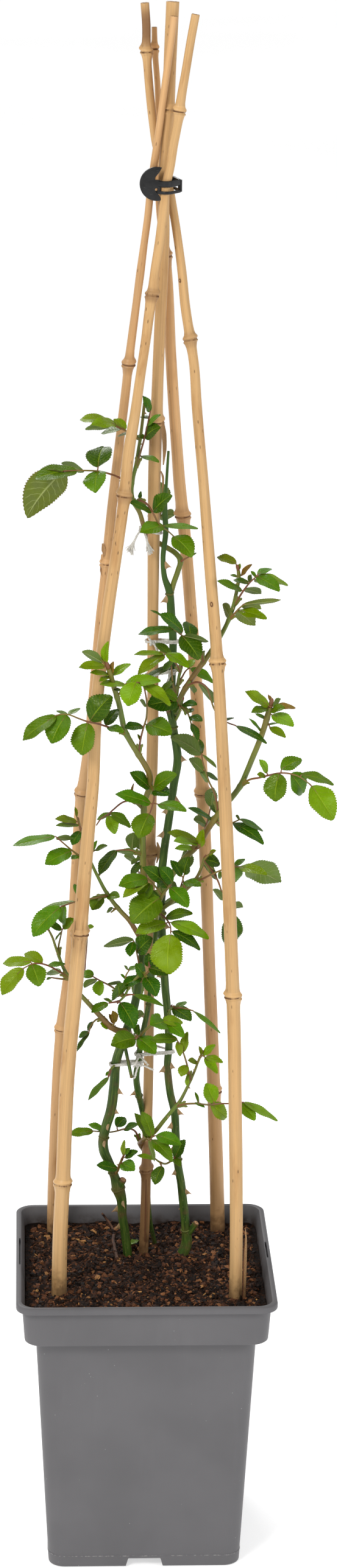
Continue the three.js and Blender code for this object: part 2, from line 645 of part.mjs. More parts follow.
        leaflets: [
          [268, 1490, 250, 1484, 18, 128, 12], [268, 1484, 290, 1482, 18, 128, 8],
          [272, 1462, 268, 1430, 22, 138, 8],
        ],
      },
    ],
  },
  shoot_left: {
    stem: [
      [235, 1550, 2], [224, 1531, 1], [212, 1512, -1], [198, 1497, -3], [184, 1480, -5],
      [172, 1462, -7], [163, 1445, -9], [154, 1427, -10], [146, 1408, -12], [139, 1388, -13],
      [133, 1366, -14], [129, 1348, -14],
    ],
    girth: [4.0, 1.6],
    leaves: [
      {
        stalk: [[133, 1364, -14], [129, 1352, -15], [126, 1342, -15]],
        leaflets: [
          [126, 1350, 91, 1345, 12, 42, -8], [129, 1355, 92, 1356, 8, 62, -12],
          [126, 1342, 123, 1326, 5, 35, 0], [132, 1366, 118, 1388, 17, 34, -4],
        ],
      },
      {
        stalk: [
          [147, 1411, -12], [138, 1409, -14], [131, 1406, -16], [118, 1397, -20], [105, 1386, -24],
          [91, 1374, -28],
        ],
        leaflets: [
          [90, 1374, 21, 1389, 15, 58, -8], [93, 1376, 116, 1379, 11, 128, 10],
          [117, 1398, 74, 1420, 26, 36, -8], [130, 1406, 117, 1411, 8, 50, -6],
        ],
      },
      {
        stalk: [[145, 1404, -12], [152, 1399, -8], [158, 1396, -6]],
        leaflets: [[156, 1397, 176, 1389, 8, 50, -4], [152, 1398, 159, 1381, 7, 45, 2]],
      },
      {
        stalk: [
          [178, 1471, -6], [162, 1474, -11], [142, 1478, -14], [122, 1482, -18], [110, 1486, -22],
          [99, 1490, -26],
        ],
        leaflets: [
          [168, 1473, 151, 1495, 34, 30, -6], [176, 1472, 196, 1473, 14, 44, -8],
          [134, 1479, 122, 1452, 14, 45, 10], [122, 1481, 68, 1493, 7, 66, 6],
          [99, 1490, 53, 1538, 33, 34, -8], [106, 1488, 103, 1520, 16, 40, 6],
        ],
      },
      {
        stalk: [[192, 1490, -4], [186, 1496, -6], [182, 1499, -8]],
        leaflets: [[185, 1491, 175, 1499, 8, 120, -3]],
      },
    ],
  },
  shoot_low_left: {
    stem: [
      [229, 1614, 0], [234, 1606, -6], [230, 1602, -10], [222, 1609, -12], [212, 1622, -13],
      [203, 1638, -13], [196, 1645, -13],
    ],
    girth: [3.0, 1.6],
    leaves: [
      {
        stalk: [[232, 1604, -9], [240, 1600, -12], [246, 1592, -13], [244, 1580, -13]],
        leaflets: [
          [237, 1603, 222, 1585, 18, 40, -4], [244, 1590, 276, 1601, 20, 38, -6],
          [238, 1605, 257, 1636, 26, 30, -10], [232, 1606, 201, 1620, 17, 42, -8],
          [243, 1588, 243, 1566, 20, 36, 2], [240, 1600, 256, 1612, 8, 60, 8],
        ],
      },
      {
        stalk: [[212, 1622, -13], [206, 1612, -12], [207, 1602, -11], [212, 1594, -10]],
        leaflets: [
          [211, 1594, 225, 1587, 7, 55, 4], [210, 1593, 204, 1586, 6, 120, 2],
          [206, 1608, 198, 1600, 4, 40, 0],
        ],
      },
      {
        stalk: [
          [203, 1638, -13], [196, 1632, -12], [190, 1626, -12], [178, 1618, -12], [166, 1612, -12],
          [152, 1604, -12],
        ],
        leaflets: [
          [194, 1638, 193, 1617, 34, 42, -12], [176, 1616, 198, 1615, 10, 110, 6],
          [153, 1604, 134, 1598, 18, 45, 6], [164, 1611, 163, 1636, 25, 32, -4],
          [158, 1608, 138, 1622, 12, 126, 4],
        ],
      },
      {
        stalk: [[196, 1645, -13], [190, 1646, -14], [178, 1648, -16]],
        leaflets: [
          [177, 1648, 150, 1663, 14, 42, -6], [197, 1647, 221, 1689, 31, 30, -6],
          [184, 1647, 170, 1640, 5, 50, 4],
        ],
      },
      {
        stalk: [[205, 1635, -13], [213, 1634, -14], [221, 1634, -14]],
        leaflets: [[220, 1634, 268, 1652, 9, 60, -4]],
      },
      {
        stalk: [[232, 1604, -8], [229, 1588, -6], [225, 1568, -5], [220, 1548, -6]],
        leaflets: [
          [219, 1544, 170, 1554, 15, 118, -8], [225, 1564, 249, 1540, 30, 34, -4],
          [219, 1547, 213, 1571, 17, 38, -8],
        ],
      },
    ],
  },
  shoot_lower_left: {
    stem: [
      [209, 1693, 0], [197, 1694, -5], [182, 1687, -9], [168, 1673, -12], [154, 1658, -14],
      [142, 1645, -15], [132, 1634, -16], [122, 1620, -17], [113, 1606, -18], [104, 1590, -20],
      [97, 1572, -22], [91, 1555, -24], [86, 1540, -26], [80, 1528, -28],
    ],
    girth: [5.2, 1.6],
    leaves: [
      {
        stalk: [
          [113, 1608, -18], [104, 1600, -22], [92, 1593, -26], [78, 1586, -32], [66, 1583, -36],
          [52, 1584, -40], [40, 1590, -44],
        ],
        leaflets: [
          [51, 1580, 4, 1582, 17, 44, 4], [70, 1581, 40, 1566, 18, 42, 6],
          [52, 1584, 65, 1620, 38, 26, -8], [38, 1591, 2, 1634, 27, 32, -6],
          [79, 1586, 107, 1583, 8, 58, 4], [99, 1598, 77, 1597, 11, 60, 10],
        ],
      },
      {
        stalk: [[97, 1572, -22], [96, 1556, -20], [99, 1541, -19], [102, 1527, -18]],
        leaflets: [
          [103, 1526, 121, 1509, 15, 40, 0], [101, 1526, 82, 1520, 12, 45, -4],
          [101, 1530, 90, 1545, 3, 50, 2],
        ],
      },
      {
        stalk: [
          [122, 1620, -17], [132, 1606, -8], [138, 1596, -4], [140, 1578, 0], [143, 1540, 2],
          [143, 1524, 2],
        ],
        leaflets: [[143, 1523, 154, 1522, 12, 45, 0], [141, 1560, 128, 1540, 14, 120, 8]],
      },
      {
        stalk: [[182, 1687, -9], [187, 1682, -13], [189, 1677, -15]],
        leaflets: [
          [189, 1680, 185, 1661, 12, 36, -2], [186, 1681, 179, 1666, 7, 40, -2],
          [178, 1688, 165, 1681, 11, 40, -4],
        ],
      },
      {
        stalk: [[172, 1676, -11], [160, 1674, -15], [151, 1682, -18], [146, 1695, -19]],
        leaflets: [
          [153, 1679, 143, 1693, 8, 50, 2], [146, 1696, 129, 1704, 9, 46, 2],
          [146, 1697, 126, 1727, 7, 56, -6],
        ],
      },
      {
        stalk: [[112, 1609, -18], [98, 1608, -22], [84, 1606, -26]],
        leaflets: [[84, 1606, 76, 1609, 4, 50, 0]],
      },
    ],
  },
  shoot_low_centre: {
    stem: [
      [226, 1718, 5], [227, 1708, -2], [232, 1699, -6], [241, 1690, -9], [252, 1682, -11],
      [262, 1679, -13],
    ],
    girth: [2.8, 1.6],
    leaves: [
      {
        stalk: [[227, 1708, -2], [226, 1705, -7], [225, 1704, -10]],
        leaflets: [
          [222, 1706, 183, 1717, 31, 28, -10], [226, 1705, 256, 1730, 27, 30, -8],
          [225, 1701, 227, 1683, 12, 40, 0],
        ],
      },
      {
        stalk: [[262, 1679, -13], [268, 1679, -14], [274, 1680, -15]],
        leaflets: [
          [270, 1679, 248, 1684, 27, 40, -14], [266, 1676, 300, 1680, 16, 50, 2],
          [274, 1681, 302, 1703, 19, 36, -8], [262, 1677, 254, 1665, 10, 36, 0],
        ],
      },
      {
        stalk: [[227, 1708, -2], [217, 1700, 10], [214, 1682, 28], [218, 1662, 40], [226, 1640, 50]],
        leaflets: [
          [214, 1680, 196, 1670, 18, 128, 8], [215, 1674, 236, 1666, 20, 128, 8],
          [226, 1640, 232, 1606, 22, 138, 8],
        ],
      },
    ],
  },
  shoot_low_middle: {
    stem: [[275, 1668, 18], [279, 1660, 10], [281, 1657, 5], [284, 1654, 2]],
    girth: [2.4, 1.6],
    leaves: [
      {
        stalk: [[281, 1657, 5], [296, 1656, 3], [308, 1658, 1], [318, 1661, -1]],
        leaflets: [
          [284, 1656, 314, 1676, 21, 40, -12], [318, 1661, 362, 1697, 7, 62, -4],
          [290, 1655, 305, 1645, 8, 60, 10],
        ],
      },
    ],
  },
  shoot_lower_right: {
    stem: [
      [236, 1888, 39], [230, 1878, 27], [236, 1872, 16], [245, 1867, 9], [256, 1857, 4],
      [268, 1842, 0], [282, 1825, -3], [294, 1811, -5], [303, 1795, -7], [312, 1776, -8],
      [320, 1758, -9], [326, 1742, -10], [331, 1731, -10],
    ],
    girth: [4.4, 1.8],
    leaves: [
      {
        stalk: [[328, 1737, -10], [332, 1734, -11], [337, 1737, -12]],
        leaflets: [
          [331, 1734, 327, 1719, 6, 36, -2], [333, 1734, 353, 1716, 11, 40, 2],
          [337, 1737, 366, 1745, 11, 44, -2], [336, 1738, 357, 1763, 14, 34, -10],
          [324, 1746, 309, 1742, 9, 44, -6],
        ],
      },
      {
        stalk: [
          [313, 1774, -8], [310, 1762, -12], [306, 1746, -14], [301, 1730, -15], [296, 1717, -15],
          [290, 1708, -15],
        ],
        leaflets: [
          [291, 1707, 247, 1708, 16, 46, -2], [302, 1728, 307, 1695, 13, 34, 6],
          [291, 1711, 296, 1735, 12, 40, -4], [306, 1750, 297, 1768, 19, 30, -6],
          [309, 1764, 307, 1785, 7, 40, -6],
        ],
      },
      {
        stalk: [
          [288, 1818, -4], [302, 1814, -8], [320, 1813, -11], [345, 1815, -15], [362, 1813, -18],
          [376, 1813, -21], [390, 1811, -24], [400, 1811, -26],
        ],
        leaflets: [
          [351, 1811, 338, 1780, 26, 30, 2], [345, 1814, 372, 1837, 23, 34, 6],
          [320, 1811, 336, 1819, 5, 58, -4], [326, 1812, 320, 1794, 5, 40, 2],
          [393, 1812, 419, 1840, 21, 36, -6], [400, 1811, 456, 1841, 11, 60, 4],
        ],
      },
      {
        stalk: [[243, 1868, 10], [243, 1870, 2], [246, 1871, -3], [252, 1867, -6]],
        leaflets: [
          [243, 1869, 221, 1829, 15, 42, -4], [249, 1867, 233, 1826, 19, 34, 4],
          [256, 1865, 297, 1880, 20, 38, -8], [249, 1872, 283, 1908, 20, 34, -14],
          [244, 1873, 254, 1908, 8, 118, -8],
        ],
      },
      {
        stalk: [
          [230, 1878, 27], [226, 1866, 24], [220, 1857, 22], [212, 1854, 21], [203, 1855, 21],
          [192, 1858, 22], [180, 1860, 23], [165, 1859, 23], [150, 1858, 22],
        ],
        leaflets: [
          [191, 1851, 206, 1836, 18, 30, 6], [203, 1856, 226, 1847, 10, 50, -6],
          [153, 1858, 113, 1863, 14, 40, -2], [172, 1858, 145, 1847, 10, 46, 2],
        ],
      },
    ],
  },
  shoot_base_right: {
    stem: [
      [295, 1912, 24], [288, 1906, 17], [282, 1907, 14], [272, 1912, 11], [262, 1909, 8],
      [255, 1904, 5],
    ],
    girth: [2.0, 1.4],
    leaves: [
      {
        stalk: [[288, 1906, 17], [287, 1903, 13], [286, 1901, 11]],
        leaflets: [[287, 1903, 303, 1872, 18, 36, 6], [285, 1903, 296, 1916, 11, 36, -6]],
      },
      {
        stalk: [[264, 1910, 8], [264, 1913, 6], [265, 1916, 5]],
        leaflets: [[266, 1916, 254, 1946, 20, 32, -8], [255, 1904, 225, 1898, 7, 56, 2]],
      },
    ],
  },
  shoot_base_left: {
    stem: [[186, 1932, 22], [194, 1921, 15], [196, 1914, 12], [200, 1905, 10], [204, 1896, 9]],
    girth: [2.8, 1.6],
    leaves: [
      {
        stalk: [[200, 1905, 10], [202, 1900, 7], [204, 1897, 5]],
        leaflets: [
          [202, 1899, 204, 1873, 8, 36, 2], [204, 1897, 213, 1886, 8, 40, 2],
          [205, 1902, 226, 1891, 11, 44, -2], [199, 1911, 221, 1922, 21, 36, -8],
          [193, 1920, 159, 1914, 15, 42, -6],
        ],
      },
    ],
  },
  shoot_side_left: {
    stem: [[192, 1748, 7], [186, 1752, 1], [181, 1758, -3], [179, 1764, -5]],
    girth: [2.4, 1.4],
    leaves: [
      {
        stalk: [[181, 1758, -3], [180, 1764, -5], [178, 1770, -6]],
        leaflets: [[178, 1770, 144, 1807, 10, 56, -4], [181, 1760, 173, 1767, 5, 46, 0]],
      },
    ],
  },
};

const COLOURS = {
  pot: 0x6c6c6f,
  soil: 0x33221a,
  cane_front: 0xdcb27c,
  cane_back: 0xb98a5c,
  clip: 0x2b2b2d,
  twine: 0xdad8d2,
  stem: 0x39542a,
  leaf: 0x3d7310,
  twig: 0x5f4434,
};

function material(colour, roughness) {
  return new THREE.MeshStandardMaterial({ color: colour, roughness, metalness: 0 });
}

// Picture places.
function viewAxes() {
  const yaw = THREE.MathUtils.degToRad(VIEW.yaw);
  const pitch = THREE.MathUtils.degToRad(VIEW.pitch);
  const roll = THREE.MathUtils.degToRad(VIEW.roll);
  const ahead = new THREE.Vector3(
    Math.sin(yaw) * Math.cos(pitch),
    Math.cos(yaw) * Math.cos(pitch),
    -Math.sin(pitch),
  );
  const level = new THREE.Vector3(Math.cos(yaw), -Math.sin(yaw), 0);
  const upright = level.clone().cross(ahead);
  const right = level.clone().multiplyScalar(Math.cos(roll)).addScaledVector(upright, Math.sin(roll));
  const up = level.clone().multiplyScalar(-Math.sin(roll)).addScaledVector(upright, Math.cos(roll));
  return { ahead, right, up };
}

const AXES = viewAxes();

function sightLine(across, down) {
  return AXES.ahead.clone()
    .addScaledVector(AXES.right, (across - VIEW.middle[0]) / VIEW.focal)
    .addScaledVector(AXES.up, (VIEW.middle[1] - down) / VIEW.focal);
}

function seen([across, down, depth]) {
  const line = sightLine(across, down);
  return VIEW.place.clone().addScaledVector(line, (depth - VIEW.place.y) / line.y);
}

function seenSize(pixels, [across, down, depth]) {
  const line = sightLine(across, down);
  return pixels * (depth - VIEW.place.y) / line.y / VIEW.focal;
}

// The place on the soil, or on any level, that is seen at a spot of the picture.
function seenOnLevel(across, down, level) {
  const line = sightLine(across, down);
  return VIEW.place.clone().addScaledVector(line, (level - VIEW.place.z) / line.z);
}

function interpolate(table, at) {
  let index = 1;
  while (index < table.length - 1 && (at - table[index][0]) * (table[1][0] - table[0][0]) > 0) {
    index += 1;
  }
  const [before, after] = [table[index - 1], table[index]];
  const share = (at - before[0]) / (after[0] - before[0]);
  return before[1] + (after[1] - before[1]) * THREE.MathUtils.clamp(share, 0, 1);
}

// Solids.
function solidOf(geometry) {
  const bare = geometry.clone();
  for (const name of Object.keys(bare.attributes)) {
    if (name !== 'position') {
      bare.deleteAttribute(name);
    }
  }
  const merged = mergeVertices(bare, 1e-4);
  return new wasm.Manifold(new wasm.Mesh({
    numProp: 3,
    vertProperties: new Float32Array(merged.attributes.position.array),
    triVerts: new Uint32Array(merged.index.array),
  }));
}

function solidFromFaces(points, faces) {
  const volume = faces.reduce((sum, [a, b, c]) => sum + points[a].dot(points[b].clone().cross(points[c])), 0);
  const turned = volume < 0 ? faces.map(([a, b, c]) => [a, c, b]) : faces;
  const geometry = new THREE.BufferGeometry().setFromPoints(points);
  geometry.setIndex(turned.flat());
  return solidOf(geometry);
}

// A closed skin over a row of rings that all have the same number of points.
function loft(rings) {
  const sides = rings[0].length;
  const faces = [];
  for (let row = 0; row < rings.length - 1; row += 1) {
    for (let side = 0; side < sides; side += 1) {
      const a = row * sides + side;
      const b = row * sides + (side + 1) % sides;
      faces.push([a, b, b + sides], [a, b + sides, a + sides]);
    }
  }
  const last = (rings.length - 1) * sides;
  for (let side = 1; side < sides - 1; side += 1) {
    faces.push([0, side + 1, side], [last, last + side, last + side + 1]);
  }
  return solidFromFaces(rings.flat(), faces);
}

function ringsAlong(points, radii, sides) {
  const direction = (index) => {
    const before = points[Math.max(index - 1, 0)];
    const after = points[Math.min(index + 1, points.length - 1)];
    return after.clone().sub(before).normalize();
  };
  let across = new THREE.Vector3(1, 0.2, 0.1);
  return points.map((point, index) => {
    const along = direction(index);
    across = across.clone().addScaledVector(along, -across.dot(along)).normalize();
    const out = along.clone().cross(across);
    return Array.from({ length: sides }, (_, side) => {
      const turn = 2 * Math.PI * side / sides;
      return point.clone()
        .addScaledVector(across, radii[index] * Math.cos(turn))
        .addScaledVector(out, radii[index] * Math.sin(turn));
    });
  });
}

function tube(points, radii, sides) {
  return loft(ringsAlong(points, radii, sides));
}

function closedTube(points, radius, sides) {
  const count = points.length;
  const skin = points.flatMap((point, index) => {
    const along = points[(index + 1) % count].clone().sub(points[(index + count - 1) % count]).normalize();
    const out = along.clone().cross(new THREE.Vector3(0, 0, 1)).normalize();
    const up = out.clone().cross(along);
    return Array.from({ length: sides }, (_, side) => {
      const turn = 2 * Math.PI * side / sides;
      return point.clone()
        .addScaledVector(out, radius * Math.cos(turn))
        .addScaledVector(up, radius * Math.sin(turn));
    });
  });
  const faces = [];
  for (let row = 0; row < count; row += 1) {
    for (let side = 0; side < sides; side += 1) {
      const a = row * sides + side;
      const b = row * sides + (side + 1) % sides;
      const c = ((row + 1) % count) * sides + (side + 1) % sides;
      const d = ((row + 1) % count) * sides + side;
      faces.push([a, b, c], [a, c, d]);
    }
  }
  return solidFromFaces(skin, faces);
}

function block(size, centre) {
  const geometry = new THREE.BoxGeometry(...size);
  geometry.translate(...centre);
  return solidOf(geometry);
}

function union(solids) {
  return solids.slice(1).reduce((sum, solid) => sum.add(solid), solids[0]);
}

// Whether the corners of a solid all stay apart when their places are rounded to the corner spacing.
function cornersStayApart(solid) {
  const { vertProperties, triVerts } = solid.getMesh();
  const places = new Set();
  for (let index = 0; index < vertProperties.length; index += 3) {
    places.add([0, 1, 2].map((axis) => Math.round(vertProperties[index + axis] / CORNER_SPACING)).join());
  }
  return triVerts.length > 0 && places.size === vertProperties.length / 3;
}

// The largest body of a solid, with the small faces that joins leave merged within a tolerance.
function mainBody(solid, tolerance) {
  const pieces = solid.asOriginal().simplify(tolerance).decompose();
  return pieces.reduce((best, piece) => (piece.volume() > best.volume() ? piece : best));
}

function largestPiece(solid) {
  for (const tolerance of MERGE_TOLERANCES) {
    const piece = mainBody(solid, tolerance);
    if (cornersStayApart(piece)) {
      return piece;
    }
  }
  return mainBody(solid, MERGE_TOLERANCES[0]);
}

function near(solid, other) {
  const a = solid.boundingBox();
  const b = other.boundingBox();
  return [0, 1, 2].every((axis) => a.min[axis] <= b.max[axis] && b.min[axis] <= a.max[axis]);
}

// Takes the space of other solids out of one, and drops what that cuts off.
function clearOf(solid, others) {
  const cut = others.reduce((rest, other) => (near(rest, other) ? rest.subtract(other) : rest), solid);
  return largestPiece(cut);
}

function meshOf(name, solid, look) {
  const { vertProperties, triVerts } = solid.getMesh();
  const geometry = new THREE.BufferGeometry();
  geometry.setAttribute('position', new THREE.BufferAttribute(new Float32Array(vertProperties), 3));
  geometry.setIndex(new THREE.BufferAttribute(new Uint32Array(triVerts), 1));
  const mesh = new THREE.Mesh(geometry, look);
  mesh.name = name;
  return mesh;
}

// A draw that gives the same numbers each time.
function seededDraw(seed) {
  let state = seed;
  return (low, high) => {
    state = (state * 1664525 + 1013904223) % 4294967296;
    return low + (high - low) * state / 4294967296;
  };
}

// Pot.
function roundedSquare(width, level, radius = CORNER_RADIUS) {
  const inner = width / 2 - radius;
  const ring = [];
  for (let corner = 0; corner < 4; corner += 1) {
    for (let step = 0; step <= CORNER_STEPS; step += 1) {
      const turn = (corner + step / CORNER_STEPS) * Math.PI / 2;
      const x = inner * Math.sign(Math.cos((corner + 0.5) * Math.PI / 2)) + radius * Math.cos(turn);
      const y = inner * Math.sign(Math.sin((corner + 0.5) * Math.PI / 2)) + radius * Math.sin(turn);
      ring.push(new THREE.Vector3(x, y, level));
    }
  }
  return ring;
}

function bodyWidth(level) {
  return BASE_WIDTH + (SHOULDER_WIDTH - BASE_WIDTH) * level / SKIRT_LEVEL;
}

function skirtWidth(level) {
  return SKIRT_WIDTH + (SKIRT_TOP_WIDTH - SKIRT_WIDTH) * (level - SKIRT_LEVEL) / (LIP_LEVEL - SKIRT_LEVEL);
}

// The pot's inner faces, drawn in by a gap: from a level in the body up to the ledge, then to the top.
function innerRings(lowest, highest, gap) {
  const narrow = 2 * (WALL + gap);
  const ledge = SKIRT_LEVEL + WALL + gap;
  return [
    roundedSquare(bodyWidth(lowest) - narrow, lowest, CORNER_RADIUS - WALL),
    roundedSquare(bodyWidth(SKIRT_LEVEL) - narrow, ledge, CORNER_RADIUS - WALL),
    roundedSquare(skirtWidth(ledge) - narrow, ledge + LEDGE_RISE, CORNER_RADIUS - WALL),
    roundedSquare(skirtWidth(LIP_LEVEL) - narrow, highest, CORNER_RADIUS - WALL),
  ];
}

function potSolid() {
  const shell = loft([
    roundedSquare(bodyWidth(0), 0),
    roundedSquare(bodyWidth(SKIRT_LEVEL), SKIRT_LEVEL),
    roundedSquare(skirtWidth(SKIRT_LEVEL), SKIRT_LEVEL),
    roundedSquare(skirtWidth(LIP_LEVEL), LIP_LEVEL),
    roundedSquare(RIM_WIDTH, LIP_LEVEL),
    roundedSquare(RIM_WIDTH, POT_HEIGHT - TOP_BEVEL),
    roundedSquare(RIM_WIDTH - 2 * TOP_BEVEL, POT_HEIGHT),
  ]);
  const lipHollow = loft([
    roundedSquare(skirtWidth(LIP_LEVEL) - 2 * WALL, LIP_LEVEL - 2, CORNER_RADIUS - WALL),
    roundedSquare(RIM_WIDTH - 2 * TOP_INSET, POT_HEIGHT + 1, CORNER_RADIUS - WALL),
  ]);
  const hollow = loft(innerRings(FLOOR_HEIGHT, LIP_LEVEL - 1, 0));
  const recess = loft([
    roundedSquare(bodyWidth(0) - 2 * WALL, -1, CORNER_RADIUS - WALL),
    roundedSquare(bodyWidth(0) - 2 * WALL, FLOOR_HEIGHT - WALL, CORNER_RADIUS - WALL),
  ]);
  const notch = [NOTCH_WIDTH, BASE_WIDTH + 20, 2 * (FLOOR_HEIGHT - WALL)];
  const cutters = [
    lipHollow,
    hollow,
    recess,
    block(notch, [0, 0, 0]),
    block([notch[1], notch[0], notch[2]], [0, 0, 0]),
  ];
  const padHeight = FLOOR_HEIGHT - PAD_CLEARANCE;
  const pad = new THREE.CylinderGeometry(PAD_RADIUS, PAD_RADIUS, padHeight, 12);
  pad.rotateX(Math.PI / 2);
  pad.translate(0, 0, padHeight / 2);
  let pot = cutters.reduce((rest, cutter) => rest.subtract(cutter), shell).add(solidOf(pad));
  for (const [x, y] of [[1, 1], [-1, 1], [-1, -1], [1, -1]]) {
    const hole = new THREE.CylinderGeometry(DRAIN_HOLE_RADIUS, DRAIN_HOLE_RADIUS, FLOOR_HEIGHT, 8);
    hole.rotateX(Math.PI / 2);
    hole.translate(x * DRAIN_HOLE_OFFSET, y * DRAIN_HOLE_OFFSET, FLOOR_HEIGHT);
    pot = pot.subtract(solidOf(hole));
  }
  const slotMiddle = RIM_WIDTH / 2 - LIP_OVERHANG / 2 - LABEL_SLOT.inset;
  const slots = [[-slotMiddle, LABEL_SLOT.left], [slotMiddle, LABEL_SLOT.right]];
  for (const [x, length] of slots) {
    const size = [LABEL_SLOT.width, length, LABEL_SLOT.depth];
    pot = pot.subtract(block(size, [x, LABEL_SLOT.middle, POT_HEIGHT]));
  }
  return pot;
}

// Canes.
function caneRoute(cane) {
  const route = cane.route.map(([across, down, width]) => {
    const place = [across, down, interpolate(cane.depths, down)];
    return { point: seen(place), radius: seenSize(width, place) / 2, down };
  });
  const foot = route[0].point.clone();
  foot.z = CANE_FOOT_LEVEL;
  foot.x = THREE.MathUtils.clamp(foot.x, -CANE_FOOT_REACH, CANE_FOOT_REACH);
  foot.y = THREE.MathUtils.clamp(foot.y, -CANE_FOOT_REACH, CANE_FOOT_REACH);
  return [{ point: foot, radius: route[0].radius, down: HIDDEN_DOWN }, ...route];
}

// A tube along a route, made thicker and longer by a swell where it stands for the space round it.
function routeTube(route, sides, swell) {
  const points = route.map(({ point }) => point.clone());
  const last = points.length - 1;
  points[last].addScaledVector(points[last].clone().sub(points[last - 1]).normalize(), swell);
  return tube(points, route.map(({ radius }) => radius + swell), sides);
}

// Rose stems.
function stemRoute(stem) {
  const route = stem.route.map(([across, down, depth, width]) => {
    const place = [across, down, depth];
    return { point: seen(place), radius: seenSize(width, place) / 2, down };
  });
  const root = route[0].point.clone();
  root.z = ROOT_LEVEL;
  return [{ point: root, radius: route[0].radius, down: HIDDEN_DOWN }, ...route];
}

// The place and thickness of a route where the picture shows it at a height.
function routeAt(route, down) {
  const index = Math.max(1, route.findIndex((step) => step.down <= down));
  const [before, after] = [route[index - 1], route[index]];
  const share = (before.down - down) / (before.down - after.down);
  return {
    point: before.point.clone().lerp(after.point, share),
    radius: before.radius + (after.radius - before.radius) * share,
    along: after.point.clone().sub(before.point).normalize(),
  };
}

function thornSolid(route, [, down, side], swell) {
  const { point, radius, along } = routeAt(route, down);
  const sideways = AXES.right.clone().multiplyScalar(side || 0.3);
  const out = sideways.addScaledVector(AXES.ahead, side ? -0.35 : -1);
  out.addScaledVector(along, -out.dot(along)).normalize();
  const flank = along.clone().cross(out);
  const root = point.clone().addScaledVector(out, radius * THORN.sunk);
  const tip = root.clone()
    .addScaledVector(out, THORN.height + swell)
    .addScaledVector(along, -THORN.height * THORN.droop);
  const beside = (hand) => root.clone()
    .addScaledVector(flank, hand * (THORN.beside + swell))
    .addScaledVector(along, -THORN.sunk);
  const corners = [
    root.clone().addScaledVector(along, THORN.above + swell),
    beside(1),
    root.clone().addScaledVector(along, -THORN.below - swell),
    beside(-1),
  ];
  const faces = [[0, 1, 4], [1, 2, 4], [2, 3, 4], [3, 0, 4], [0, 2, 1], [0, 3, 2]];
  return solidFromFaces([...corners, tip], faces);
}

function stemSolid(stem, swell = 0) {
  const route = stemRoute(stem);
  const parts = [routeTube(route, STEM_SIDES, swell)];
  for (const [from, to, width] of stem.stubs) {
    const radius = seenSize(width, from) / 2 + swell;
    parts.push(tube([seen(from), seen(to)], [radius, radius * STUB_TAPER], STEM_SIDES));
  }
  for (const thorn of stem.thorns) {
    parts.push(thornSolid(route, thorn, swell));
  }
  return union(parts);
}

// Leafy shoots.
function bladeOutline(length) {
  if (length < LARGE_BLADE) {
    return { edge: [[0.3, 1], [0.46, 0.74], [0.62, 0.8]], ribs: [0.42] };
  }
  return { edge: [[0.14, 0.66], [0.38, 1], [0.48, 0.8], [0.66, 0.82]], ribs: [0.42] };
}

// The frame of a blade: its axis from base to tip, its upper normal and its side, with its sizes.
// A blade seen edge-on is arched and folded less, so that its outline stays even.
function bladeFrame(leaflet, depth) {
  const [baseAcross, baseDown, tipAcross, tipDown, width, tilt, bend] = leaflet;
  const basePlace = [baseAcross, baseDown, depth];
  const base = seen(basePlace);
  const tip = seen([tipAcross, tipDown, depth + bend]);
  const axis = tip.clone().sub(base);
  const length = axis.length();
  axis.normalize();
  const lateral = axis.clone().cross(AXES.ahead).normalize();
  if (lateral.z < 0) {
    lateral.negate();
  }
  const facing = AXES.ahead.clone().negate();
  facing.addScaledVector(axis, -facing.dot(axis)).normalize();
  const turn = THREE.MathUtils.degToRad(tilt);
  const normal = facing.multiplyScalar(Math.cos(turn)).addScaledVector(lateral, Math.sin(turn));
  const side = axis.clone().cross(normal);
  const narrowing = Math.max(Math.abs(Math.cos(turn)), BLADE_LEAST_VIEW);
  const breadth = Math.min(seenSize(width, basePlace) / narrowing, BLADE_BROADEST * length);
  const relief = Math.cos(turn) ** 2;
  return { base, axis, normal, side, length, breadth, relief };
}

function nearestOnRoute(points, target) {
  let best = null;
  for (let index = 0; index < points.length - 1; index += 1) {
    const segment = new THREE.Line3(points[index], points[index + 1]);
    const foot = segment.closestPointToPoint(target, true, new THREE.Vector3());
    const distance = foot.distanceTo(target);
    if (!best || distance < best.distance) {
      best = { foot, distance };
    }
  }
  return best.foot;
}

